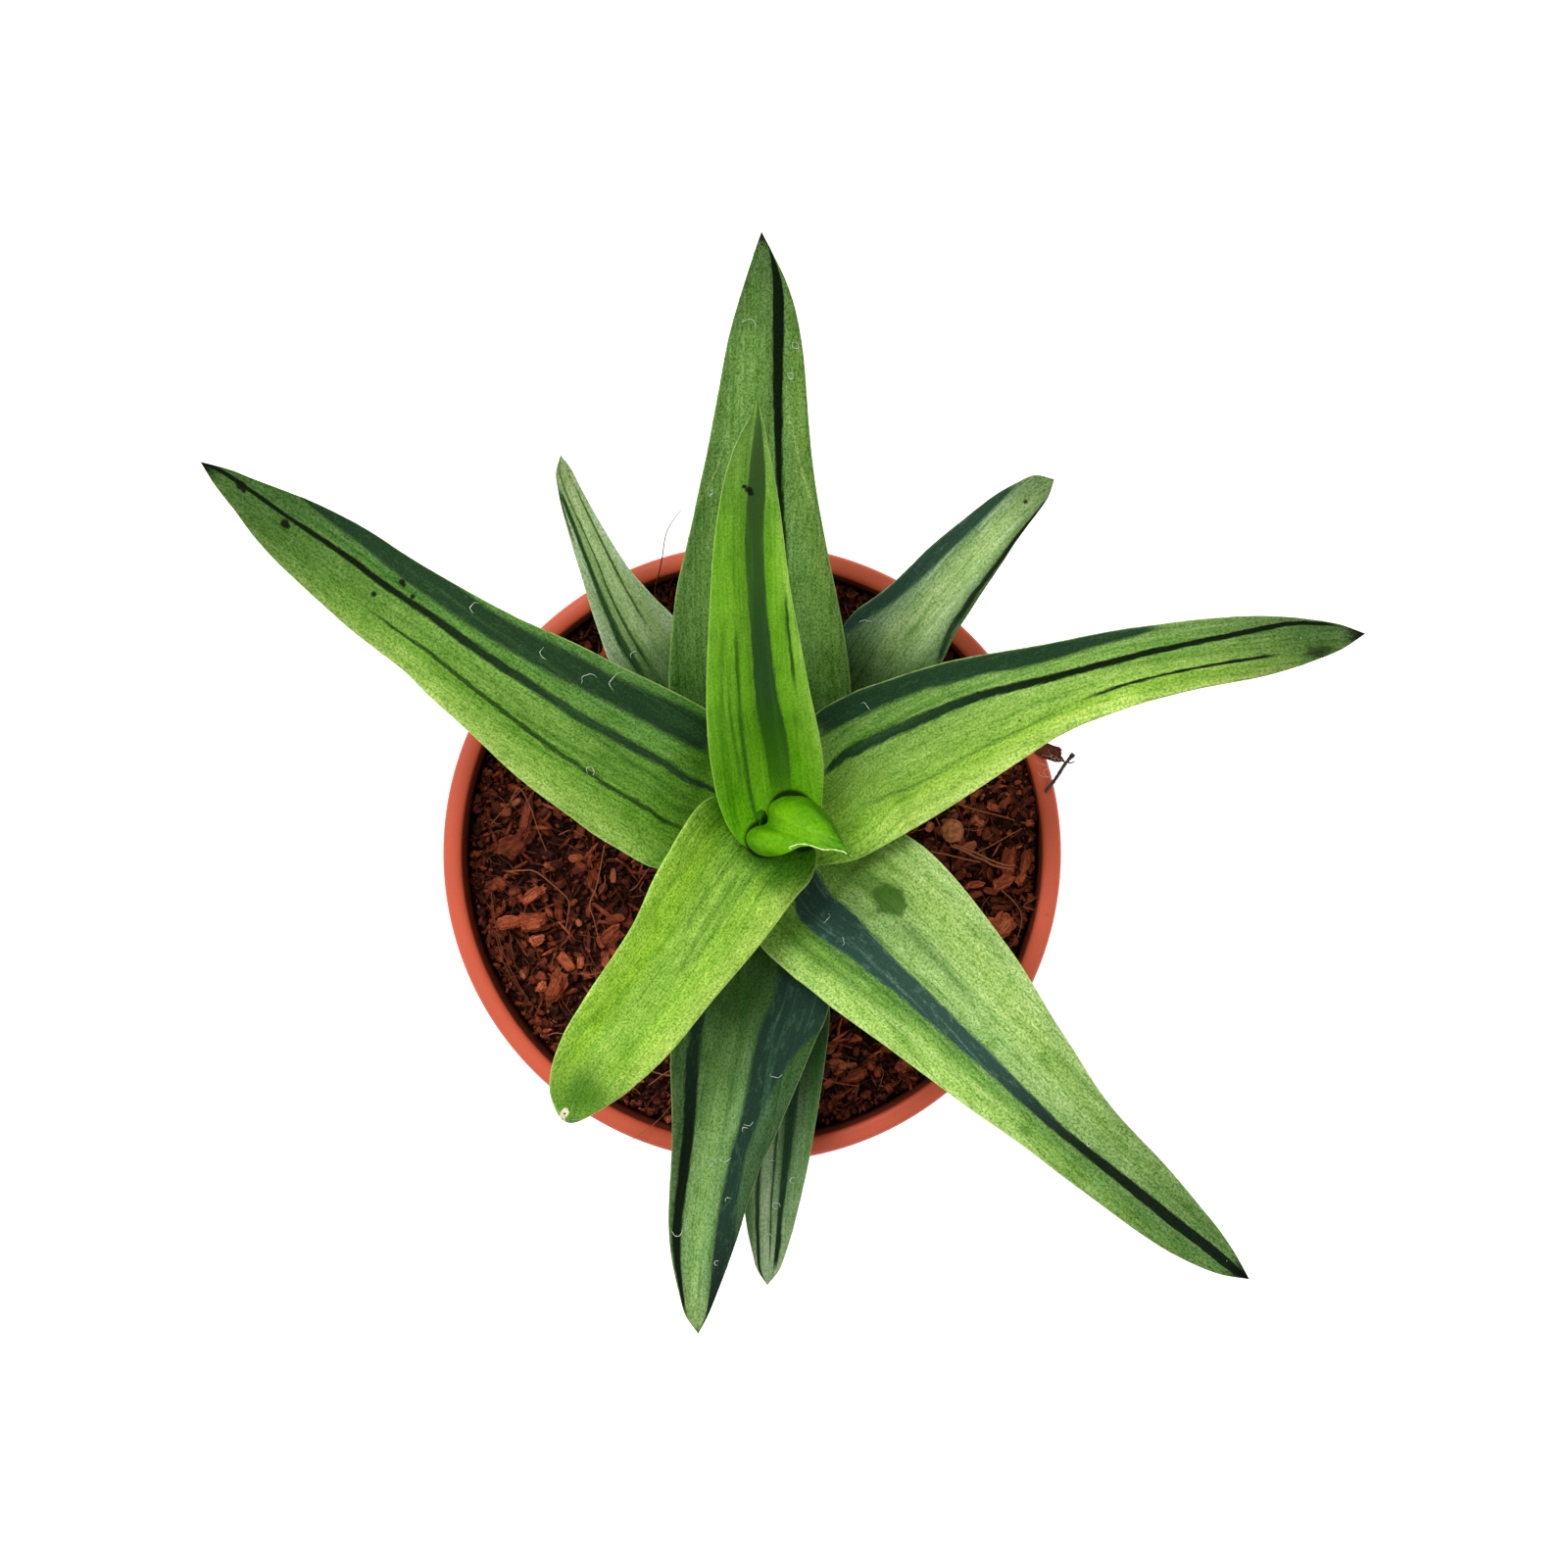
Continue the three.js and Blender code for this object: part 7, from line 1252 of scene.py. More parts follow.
def pot_material():
    m = Nodes("pot_plastic")
    pos = m.n("ShaderNodeTexCoord").outputs["Object"]
    mm = m.scaled(pos, 1000, 1000, 1000)
    sp = m.n("ShaderNodeSeparateXYZ"); m.link(mm, sp.inputs[0])
    x, y, z = sp.outputs
    r = m.math("SQRT", m.math("ADD", m.math("MULTIPLY", x, x), m.math("MULTIPLY", y, y)))
    ang = m.math("ARCTAN2", y, x)
    big = m.noise(mm, 0.035, 3.0, 0.55)
    fine = m.noise(mm, 2.6, 3.0, 0.6)
    # faint rings left by the mould, fine and irregular with height
    cz = m.n("ShaderNodeCombineXYZ")
    m.put(cz.inputs[0], m.math("MULTIPLY", ang, 0.25)); m.put(cz.inputs[1], m.math("MULTIPLY", z, 1.6)); m.put(cz.inputs[2], 0.0)
    rings = m.noise(cz.outputs[0], 1.0, 4.0, 0.7)
    # scuffs: short thin scratches
    cs = m.n("ShaderNodeCombineXYZ")
    m.put(cs.inputs[0], m.math("MULTIPLY", ang, 9.0)); m.put(cs.inputs[1], m.math("MULTIPLY", z, 0.16)); m.put(cs.inputs[2], m.math("MULTIPLY", r, 0.2))
    sc = m.noise(cs.outputs[0], 3.2, 5.0, 0.72, 0.6)
    scuff = m.step(sc, 0.66, 0.74)
    col = m.mix(m.step(big, 0.3, 0.7), srgb(186, 76, 51), srgb(198, 85, 59))
    col = m.mix(m.math("MULTIPLY", m.step(rings, 0.45, 0.75), 0.16), col, srgb(160, 60, 40))
    col = m.mix(m.math("MULTIPLY", m.step(fine, 0.5, 0.8), 0.10), col, srgb(232, 140, 112))
    col = m.mix(m.math("MULTIPLY", scuff, 0.16), col, srgb(236, 170, 146))
    # painted highlight: the rounded top and outer edge of the lip are made paler
    lip = m.math("MULTIPLY", m.step(z, 101.5, 104.4), m.step(r, 57.2, 58.6))
    col = m.mix(m.math("MULTIPLY", lip, 0.22), col, srgb(206, 104, 78))
    # painted shade: the inner wall above the growing mix is darkened in the colour, with a noisy brown mottle over it
    inner = m.math("MULTIPLY", m.math("MULTIPLY", m.step(r, 57.25, 56.75), m.step(z, 104.9, 103.9)), m.step(z, 88.0, 89.2))
    wall_mottle = m.math("MULTIPLY", inner, m.step(m.math("MULTIPLY_ADD", m.noise(mm, 0.55, 5.0, 0.7), 1.0, 0.0), 0.38, 0.66))
    col = m.mix(m.math("MULTIPLY", inner, 0.80), col, srgb(94, 36, 23))
    col = m.mix(m.math("MULTIPLY", wall_mottle, 0.60), col, srgb(84, 44, 31))
    # deeper painted shade lower down the inner wall
    col = m.mix(m.math("MULTIPLY", m.math("MULTIPLY", inner, m.step(z, 98.5, 95.5)), 0.45), col, srgb(60, 28, 20))
    foot = m.math("MULTIPLY", m.step(z, 14.0, 0.0), m.step(m.noise(mm, 0.25, 5.0, 0.7), 0.45, 0.7))
    col = m.mix(m.math("MULTIPLY", foot, 0.16), col, srgb(226, 196, 180))
    m.link(col, m.bsdf.inputs["Base Color"])
    ro = m.math("MULTIPLY_ADD", fine, 0.14, 0.36)
    ro = m.math("MULTIPLY_ADD", scuff, 0.14, ro)
    m.link(ro, m.bsdf.inputs["Roughness"])
    m.bsdf.inputs["Specular IOR Level"].default_value = 0.18
    nb = m.bump(m.math("MULTIPLY_ADD", rings, 0.6, m.math("MULTIPLY", scuff, -0.5)), 0.18, 0.0002)
    nb = m.bump(fine, 0.12, 0.00012, nb)
    m.link(nb, m.bsdf.inputs["Normal"])
    return m.mat


pot = pot_mesh()
pot.data.materials.append(pot_material())
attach(pot, "root"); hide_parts("pot")

# ------------------------------------------------------------------ growing mix
SOIL_R = 55.9
SOIL_Z = 95.0


def soil_h(x, y):
    """Height of the mix (mm): lumpy, with a little heaped against the wall on the right."""
    h = SOIL_Z - 0.6 + 0.9 * fbm((x * 0.09, y * 0.09, 2.0), 3) + 0.35 * fbm((x * 0.45, y * 0.45, 7.0), 3)
    r = math.hypot(x, y)
    heap = math.exp(-((math.atan2(y, x) - 0.14) / 0.34) ** 2) * max(0.0, (r - 44.0) / 9.0) ** 1.5
    return h + 2.6 * heap


def soil_base():
    nr, na = 78, 230
    verts, faces = [], []
    for i in range(1, nr + 1):
        r = SOIL_R * (i / nr) ** 0.9
        for j in range(na):
            w = 2 * math.pi * j / na
            x, y = r * math.cos(w), r * math.sin(w)
            rough = 0.55 * fbm((x * 1.1, y * 1.1, 4.0), 3)
            verts.append((x, y, soil_h(x, y) - 0.7 + rough))
    centre = len(verts); verts.append((0, 0, soil_h(0, 0) - 0.7))
    for j in range(na):
        faces.append((centre, j, (j+1) % na))
    for i in range(nr - 1):
        for j in range(na):
            faces.append((i*na + j, (i+1)*na + j, (i+1)*na + (j+1) % na, i*na + (j+1) % na))
    # the wall side and the flat bottom, following the inside of the pot
    prev = (nr - 1) * na
    for r, z in ((55.9, 90.4), (52.6, 85.2), (50.0, 70.0), (45.8, 38.0), (41.2, 5.6), (39.0, 3.2), (36.0, 2.75), (24.0, 2.7)):
        s = len(verts)
        for j in range(na):
            w = 2 * math.pi * j / na
            k = r - 0.25
            verts.append((k * math.cos(w), k * math.sin(w), z))
        for j in range(na):
            faces.append((prev + j, s + j, s + (j+1) % na, prev + (j+1) % na))
        prev = s
    low = len(verts); verts.append((0, 0, 2.7))
    for j in range(na):
        faces.append((prev + j, low, prev + (j+1) % na))
    ob = new_object("mix_bed", [(a*MM, b*MM, c*MM) for a, b, c in verts], faces)
    return ob


def ico(level):
    b = bmesh.new()
    bmesh.ops.create_icosphere(b, subdivisions=level, radius=1.0)
    b.verts.ensure_lookup_table()
    v = np.array([x.co[:] for x in b.verts])
    f = np.array([[q.index for q in x.verts] for x in b.faces])
    b.free()
    return v, f


def rot_from(rng, flat):
    """Random turn; flat pieces keep near level."""
    yaw = rng.uniform(0, 2 * math.pi)
    tilt = rng.normal(0, 0.28 if flat else 1.0)
    roll = rng.normal(0, 0.28 if flat else 1.0)
    cy, sy, ct, st, cr, sr = math.cos(yaw), math.sin(yaw), math.cos(tilt), math.sin(tilt), math.cos(roll), math.sin(roll)
    rz = np.array([[cy, -sy, 0], [sy, cy, 0], [0, 0, 1]])
    rx = np.array([[1, 0, 0], [0, ct, -st], [0, st, ct]])
    ry = np.array([[cr, 0, sr], [0, 1, 0], [-sr, 0, cr]])
    return rz @ rx @ ry


class Bits:
    """Many small solid pieces gathered in one mesh, with a tone and its own grain for each."""

    def __init__(self):
        self.v, self.f, self.tone, self.loc, self.n = [], [], [], [], 0

    def add(self, v, f, tone, loc):
        self.v.append(v); self.f.append(np.asarray(f) + self.n)
        self.tone.append(np.full(len(v), tone)); self.loc.append(loc)
        self.n += len(v)

    def object(self, name, smooth=False):
        v = np.concatenate(self.v); f = np.concatenate(self.f)
        me = bpy.data.meshes.new(name)
        me.vertices.add(len(v)); me.vertices.foreach_set("co", (v * MM).ravel())
        k = f.shape[1]
        me.loops.add(len(f) * k); me.loops.foreach_set("vertex_index", f.ravel())
        me.polygons.add(len(f)); me.polygons.foreach_set("loop_start", np.arange(len(f)) * k)
        me.update(calc_edges=True)
        me.validate()
        me.polygons.foreach_set("use_smooth", [smooth] * len(me.polygons))
        a = me.attributes.new("tone", "FLOAT", "POINT"); a.data.foreach_set("value", np.concatenate(self.tone).astype(np.float32))
        b = me.attributes.new("grain", "FLOAT_VECTOR", "POINT"); b.data.foreach_set("vector", np.concatenate(self.loc).astype(np.float32).ravel())
        ob = bpy.data.objects.new(name, me)
        scene.collection.objects.link(ob)
        return ob


ICO1, ICO2, ICO3 = ico(1), ico(2), ico(3)


def lump(rng, size, aspect, at, tone, shape, flat=False, rough=0.22, turn=None, blocky=0.0):
    v0, f0 = shape
    v = v0.copy()
    if blocky:
        # cut faces: squashed towards a box
        v = np.sign(v) * np.abs(v) ** (1 - blocky)
    # irregular outline: low-order bumps plus per-corner jitter
    for _ in range(3):
        d = rng.normal(size=3); d /= np.linalg.norm(d)
        v = v * (1 + rough * 0.8 * rng.uniform(-1, 1) * (v0 @ d)[:, None])
    v = v * (1 + rough * rng.uniform(-0.5, 0.5, len(v))[:, None])
    v = v * (np.array(aspect) * size / 2)
    loc = v + rng.uniform(0, 400, 3)
    m = rot_from(rng, flat) if turn is None else turn
    return v @ m.T + np.array(at), f0, tone, loc


def yaw_tilt(yaw, tilt=0.0, roll=0.0):
    cy, sy, ct, st, cr, sr = math.cos(yaw), math.sin(yaw), math.cos(tilt), math.sin(tilt), math.cos(roll), math.sin(roll)
    return np.array([[cy, -sy, 0], [sy, cy, 0], [0, 0, 1]]) @ np.array([[1, 0, 0], [0, ct, -st], [0, st, ct]]) @ np.array([[cr, 0, sr], [0, 1, 0], [-sr, 0, cr]])


rng = np.random.default_rng(41)


def disc(rmax):
    r = rmax * math.sqrt(rng.uniform()); w = rng.uniform(0, 2 * math.pi)
    return r * math.cos(w), r * math.sin(w)


fines, chips = Bits(), Bits()
for _ in range(7000):
    x, y = disc(55.5)
    s = rng.uniform(0.5, 1.3)
    z = soil_h(x, y) - 0.25 + rng.uniform(-0.25, 0.45)
    fines.add(*lump(rng, s, (1.0, rng.uniform(0.55, 0.95), rng.uniform(0.4, 0.8)), (x, y, z), rng.beta(1.5, 2.6), ICO1, rough=0.3))
for _ in range(2000):
    x, y = disc(54.9)
    s = 1.2 + 2.4 * rng.beta(1.3, 2.6)
    z = soil_h(x, y) + rng.uniform(-0.25, 0.75)
    chips.add(*lump(rng, s, (1.0, rng.uniform(0.4, 0.8), rng.uniform(0.3, 0.6)), (x, y, z), rng.beta(1.7, 2.2), ICO2, flat=rng.uniform() < 0.5, rough=0.24, blocky=0.25))
# flatter, paler flakes lying on top
for _ in range(150):
    x, y = disc(53.6)
    s = rng.uniform(2.0, 4.3)
    z = soil_h(x, y) + rng.uniform(0.35, 1.1)
    chips.add(*lump(rng, s, (1.0, rng.uniform(0.3, 0.62), rng.uniform(0.14, 0.3)), (x, y, z), rng.beta(2.4, 2.4), ICO2, flat=True, rough=0.26, blocky=0.35))
# shreds of coir husk, long and thin, every way about
for _ in range(1300):
    x, y = disc(54.6)
    s = rng.uniform(2.2, 6.0)
    z = soil_h(x, y) + rng.uniform(0.0, 0.9)
    fines.add(*lump(rng, s, (1.0, rng.uniform(0.09, 0.20), rng.uniform(0.06, 0.12)), (x, y, z), 0.12 + 0.75 * rng.beta(2.0, 2.2), ICO1, flat=True, rough=0.3))
# dark crumbs heaped against the wall on the right, up to the lip
for cx, cy, cz, rad, n in ((55.0, 14.7, 99.5, 1.7, 26), (54.3, 8.9, 99.2, 3.0, 70), (55.4, -10.0, 99.3, 1.5, 22), (53.4, 12.0, 98.0, 2.4, 36), (52.6, 18.2, 97.6, 2.2, 30)):
    for _ in range(n):
        q = rng.normal(0, 0.5, 3) * rad
        x, y, z = cx + q[0], cy + q[1], cz + q[2] * 0.8
        if math.hypot(x, y) > 55.9:
            k = 55.9 / math.hypot(x, y); x, y = x * k, y * k
        chips.add(*lump(rng, rng.uniform(0.7, 1.9), (1, 0.8, 0.65), (x, y, z), rng.beta(1.3, 3.4), ICO2, rough=0.3))


def mix_material(name, stops, wet=0.0):
    m = Nodes(name)
    tone = m.n("ShaderNodeAttribute", attribute_name="tone").outputs["Fac"]
    loc = m.n("ShaderNodeAttribute", attribute_name="grain").outputs["Vector"]
    fib = m.noise(m.scaled(loc, 0.42, 2.6, 2.6), 1.0, 3.0, 0.7)
    gr = m.noise(loc, 2.4, 3.0, 0.7)
    blot = m.noise(loc, 0.8, 2.0, 0.5)
    base = m.ramp(m.math("MULTIPLY_ADD", blot, 0.22, m.math("ADD", tone, -0.11)), stops)
    lighter = m.mix(0.42, base, srgb(196, 122, 78))
    darker = m.mix(0.62, base, srgb(26, 10, 6))
    col = m.mix(m.math("MULTIPLY", m.step(fib, 0.48, 0.62), 0.85), base, darker)
    col = m.mix(m.math("MULTIPLY", m.step(fib, 0.44, 0.28), 0.45), col, lighter)
    col = m.mix(m.math("MULTIPLY", m.step(gr, 0.52, 0.66), 0.65), col, darker)
    # painted shade: pieces lying deeper, down among the others, are darkened in the colour
    so = m.n("ShaderNodeSeparateXYZ"); m.link(m.n("ShaderNodeTexCoord").outputs["Object"], so.inputs[0])
    zz = m.math("MULTIPLY_ADD", so.outputs[2], 1000.0, m.math("MULTIPLY_ADD", blot, 0.8, -0.4))
    col = m.mix(m.math("MULTIPLY", m.step(zz, SOIL_Z + 1.0, SOIL_Z - 0.6), 0.62), col, (0.30, 0.24, 0.22, 1), "MULTIPLY")
    m.link(col, m.bsdf.inputs["Base Color"])
    m.link(m.math("MULTIPLY_ADD", gr, 0.4, 0.45 - wet), m.bsdf.inputs["Roughness"])
    m.bsdf.inputs["Specular IOR Level"].default_value = 0.12
    m.link(m.bump(m.math("MULTIPLY_ADD", fib, 1.3, gr), 0.6, 0.0003), m.bsdf.inputs["Normal"])
    return m.mat


COIR = [(0.0, srgb(24, 10, 7)), (0.18, srgb(60, 26, 17)), (0.38, srgb(110, 49, 31)), (0.58, srgb(154, 70, 42)), (0.78, srgb(194, 96, 60)), (1.0, srgb(220, 136, 94))]


def bed_material():
    m = Nodes("mix_bed_soil")
    pos = m.n("ShaderNodeTexCoord").outputs["Object"]
    mm = m.scaled(pos, 1000, 1000, 1000)
    a = m.noise(mm, 0.9, 5.0, 0.7)
    v = m.n("ShaderNodeTexVoronoi"); v.inputs["Scale"].default_value = 1.1
    m.link(mm, v.inputs["Vector"])
    m.bsdf.inputs["Specular IOR Level"].default_value = 0.08
    col = m.mix(m.step(a, 0.35, 0.7), srgb(18, 9, 6), srgb(74, 36, 25))
    col = m.mix(m.math("MULTIPLY", m.step(v.outputs["Distance"], 0.5, 0.2), 0.4), col, srgb(92, 42, 26))
    m.link(col, m.bsdf.inputs["Base Color"])
    m.link(m.math("MULTIPLY_ADD", a, 0.3, 0.6), m.bsdf.inputs["Roughness"])
    m.link(m.bump(m.math("SUBTRACT", a, v.outputs["Distance"]), 0.8, 0.0008), m.bsdf.inputs["Normal"])
    return m.mat


bed = soil_base()
bed.data.materials.append(bed_material())
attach(bed, "root"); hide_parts("growing_mix")
coir = mix_material("coir_chips", COIR)
# crumbs banked up against the wall
er = np.random.default_rng(77)
edge = Bits()
for _ in range(1500):
    an, rr = er.uniform(0, 2 * math.pi), 55.3 - 3.2 * er.uniform(0, 1) ** 1.4
    x, y = rr * math.cos(an), rr * math.sin(an)
    sz = er.uniform(0.7, 2.3)
    edge.add(*lump(er, sz, (1.0, er.uniform(0.4, 0.9), er.uniform(0.3, 0.7)), (x, y, soil_h(x, y) + er.uniform(0.5, 1.5)), 0.10 + 0.65 * er.beta(1.8, 2.2), ICO1, rough=0.3))
eo = edge.object("mix_edge_crumbs"); eo.data.materials.append(coir)
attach(eo, "root")
fo = fines.object("mix_fines"); fo.data.materials.append(coir)
co = chips.object("mix_chips", smooth=False); co.data.materials.append(coir)
for o in (fo, co):
    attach(o, "root")

# named bark flakes and the clay pellet, in the places and sizes of their CAD solids
# node, length, width, thickness, x, y, yaw, tone
FLAKES = [
    ("bark_chip_left", 5.8, 3.6, 2.0, -43.3, -14.2, 0.2, 0.70), ("bark_chip_left_low", 7.0, 3.6, 2.0, -38.5, -27.0, 1.1, 0.62),
    ("bark_chip_front_left", 5.4, 3.4, 1.9, -30.5, -38.5, 0.7, 0.72), ("bark_chip_right", 6.2, 2.9, 2.0, 50.6, -2.2, 1.45, 0.70),
    ("bark_chip_right_low", 5.6, 3.8, 2.1, 47.6, -15.5, 2.5, 0.78), ("bark_chip_front", 6.6, 3.4, 2.0, 31.0, -41.0, 1.0, 0.66),
    ("bark_chip_back_left", 5.6, 3.6, 2.0, -27.5, 39.5, 0.5, 0.66), ("bark_chip_back_right", 5.8, 3.4, 2.0, 40.5, 31.5, 2.3, 0.70),
]


def flake(name, ln, wd, th, x, y, z, yaw, tone, tilt=0.0, roll=0.0, seed=0):
    """A split piece of bark: a flat core with steps where its layers have broken away."""
    g = np.random.default_rng(900 + seed)
    b = Bits()
    turn = yaw_tilt(yaw, tilt, roll)
    layers = 4
    for q in range(layers):
        k = 1 - 0.13 * q - g.uniform(0, 0.08)
        off = np.array([g.uniform(-0.06, 0.06) * ln, g.uniform(-0.08, 0.08) * wd, th * (-0.5 + (q + 0.5) / layers)])
        v0, f0 = ICO3
        v = np.sign(v0) * np.abs(v0) ** 0.62
        ang = np.arctan2(v0[:, 1], v0[:, 0])
        edge = 1 + 0.13 * np.sin(ang * 3 + g.uniform(0, 6)) + 0.09 * np.sin(ang * 5 + g.uniform(0, 6)) + 0.08 * np.sin(ang * 9 + g.uniform(0, 6)) + 0.06 * np.sin(ang * 15 + g.uniform(0, 6))
        taper = 1 - 0.28 * np.abs(v0[:, 0]) ** 2
        v = v * np.c_[edge, edge * taper, np.ones_like(edge)]
        v = v * np.array([ln * k / 2, wd * k / 2, th / layers * 0.62])
        v[:, 2] += 0.05 * np.sin(v[:, 0] * 3.1 + q) + 0.06 * np.sin(v[:, 1] * 5.0 + q * 2)
        v = v + off
        loc = v + g.uniform(0, 400, 3) * 0 + seed * 13.7
        b.add(v @ turn.T + np.array([x, y, z]), f0, tone - 0.10 + g.uniform(-0.12, 0.12), loc)
    ob = b.object(name)
    ob.data.materials.append(coir)
    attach(ob, "root")
    return ob


for i, (node, ln, wd, th, x, y, yaw, tone) in enumerate(FLAKES):
    lo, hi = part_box(node)
    zc = (lo.z + hi.z) / 2 / MM
    o = flake(node + "_split", ln, wd, th, (lo.x + hi.x) / 2 / MM, (lo.y + hi.y) / 2 / MM, zc, yaw, tone, rng.normal(0, 0.10), rng.normal(0, 0.10), i)
    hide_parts(node)

# more loose flakes that lie about the mix
LOOSE = [
    (5.6, 2.5, 0.9, -48.0, -13.9, 97.2, 0.03, 0.78), (5.4, 2.3, 0.9, -43.4, -8.5, 97.3, 0.62, 0.74), (3.1, 2.2, 0.9, -42.4, -17.4, 97.1, 0.25, 0.92),
    (5.8, 4.6, 0.8, -47.0, 1.5, 97.0, 0.5, 0.50), (4.9, 3.6, 0.9, -27.7, -16.6, 97.1, 0.7, 0.66), (8.9, 2.3, 1.0, -44.7, 6.6, 97.4, 1.38, 0.55),
    (2.3, 1.7, 0.9, -41.7, -26.5, 97.2, 0.9, 0.84), (5.3, 2.1, 0.9, 54.0, -1.8, 98.6, 1.28, 0.70), (3.9, 1.5, 0.9, 43.9, -6.4, 97.4, 0.1, 0.82),
    (4.6, 2.6, 0.8, 49.6, -5.8, 97.9, 0.5, 0.78), (3.2, 1.6, 0.8, 53.0, -5.0, 98.6, 1.1, 0.72), (5.9, 4.2, 1.2, 49.6, -14.5, 97.8, 1.0, 0.84),
    (4.2, 1.6, 0.8, 31.0, -35.5, 97.2, 1.2, 0.62), (5.2, 2.2, 0.9, 20.5, -44.0, 97.2, 0.4, 0.60), (3.6, 1.8, 0.8, -20.4, -41.2, 97.2, -0.4, 0.64),
    (3.0, 1.6, 0.8, 44.0, 11.5, 97.4, 0.8, 0.60), (2.6, 1.5, 0.8, 47.5, 9.0, 97.6, -0.3, 0.74), (3.8, 1.5, 0.8, 41.0, -1.5, 97.5, 0.9, 0.58),
]
for i, (ln, wd, th, x, y, z, yaw, tone) in enumerate(LOOSE):
    o = flake(f"loose_flake_{i+1}", ln, wd, th, x, y, z + 0.3, yaw, tone, rng.normal(0, 0.16), rng.normal(0, 0.16), 40 + i)
# pieces caught on the lip at the right
lo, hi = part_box("bark_chip_lip")
o = flake("bark_chip_lip_split", 7.2, 3.0, 1.3, (lo.x + hi.x) / 2 / MM, (lo.y + hi.y) / 2 / MM, (lo.z + hi.z) / 2 / MM, -0.39, 0.40, 0.06, -0.05, 71)
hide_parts("bark_chip_lip")

pl = ICO3[0].copy()
lo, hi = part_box("clay_pellet")
pc = np.array([(lo.x + hi.x) / 2, (lo.y + hi.y) / 2, (lo.z + hi.z) / 2]) / MM
ps = np.array([hi.x - lo.x, hi.y - lo.y, hi.z - lo.z]) / MM / 2
bm = bmesh.new(); bmesh.ops.create_icosphere(bm, subdivisions=5, radius=1.0)
for vtx in bm.verts:
    d = Vector(vtx.co)
    k = 1 + 0.07 * fbm(d * 1.6, 3) + 0.025 * fbm(d * 9.0, 3) - 0.10 * max(0.0, noise.noise(d * 4.0 + Vector((3, 1, 2))) - 0.35)
    vtx.co = (Vector((d.x * ps[0], d.y * ps[1], d.z * ps[2])) * k + Vector(pc)) * MM
me = bpy.data.meshes.new("clay_pellet_grain"); bm.to_mesh(me); bm.free()
me.polygons.foreach_set("use_smooth", [True] * len(me.polygons))
pellet = bpy.data.objects.new("clay_pellet_grain", me); scene.collection.objects.link(pellet)
m = Nodes("clay_pellet")
mm_ = m.scaled(m.n("ShaderNodeTexCoord").outputs["Object"], 1000, 1000, 1000)
a = m.noise(mm_, 0.8, 4.0, 0.65); b = m.noise(mm_, 4.5, 3.0, 0.6)
col = m.mix(m.step(a, 0.3, 0.7), srgb(150, 78, 38), srgb(212, 134, 78))
col = m.mix(m.math("MULTIPLY", m.step(b, 0.55, 0.7), 0.6), col, srgb(66, 30, 16))
m.link(col, m.bsdf.inputs["Base Color"]); m.link(m.math("MULTIPLY_ADD", b, 0.2, 0.62), m.bsdf.inputs["Roughness"])
m.link(m.bump(m.math("ADD", a, b), 0.5, 0.0004), m.bsdf.inputs["Normal"])
pellet.data.materials.append(m.mat)
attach(pellet, "root"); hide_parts("clay_pellet")

# ------------------------------------------------------------------ fibres and roots
fib_v, fib_f, fib_t, fib_n = [], [], [], 0


def add_fibre(path, r0, r1, tone, sides=5):
    global fib_n
    n = len(path)
    rad = [r0 + (r1 - r0) * i / (n - 1) for i in range(n)]
    v, f = tube(path, rad, sides)
    fib_v.extend(v); fib_f.extend([tuple(i + fib_n for i in q) for q in f]); fib_t.extend([tone] * len(v))
    fib_n += len(v)


def smooth_path(pts, n):
    p = np.array(pts, float)
    q = np.vstack([2*p[0] - p[1], p, 2*p[-1] - p[-2]])
    out = []
    m_ = len(p) - 1
    for i in range(n):
        t = i * m_ / (n - 1)
        k = min(int(t), m_ - 1); s = t - k
        a, b, c, d = q[k], q[k+1], q[k+2], q[k+3]
        out.append(0.5 * (2*b + (c - a)*s + (2*a - 5*b + 4*c - d)*s*s + (3*b - 3*c + d - a)*s**3))
    return [Vector(o) for o in out]


for i in range(620):
    x, y = disc(54.0)
    h = rng.uniform(0, 2 * math.pi)
    ln = 2.5 + 13 * rng.beta(1.2, 3.0)
    n = 14
    curl = rng.normal(0, 0.10)
    arch = rng.uniform(0.1, 1.3)
    pts = []
    for k in range(n):
        t = k / (n - 1)
        if math.hypot(x, y) > 54.6:
            h += 1.2
        pts.append(Vector((x, y, soil_h(x, y) + 0.75 + arch * math.sin(math.pi * t) + 0.35 * noise.noise(Vector((x * 0.5, y * 0.5, i * 0.7))) - (0.8 if k in (0, n - 1) else 0.0))))
        x += math.cos(h) * ln / n; y += math.sin(h) * ln / n
        h += curl + rng.normal(0, 0.13)
        if math.hypot(x, y) > 55.3:
            g_ = 55.3 / math.hypot(x, y); x, y = x * g_, y * g_
    add_fibre(pts, rng.uniform(0.07, 0.15), rng.uniform(0.035, 0.08), rng.beta(2.0, 2.0), 4)
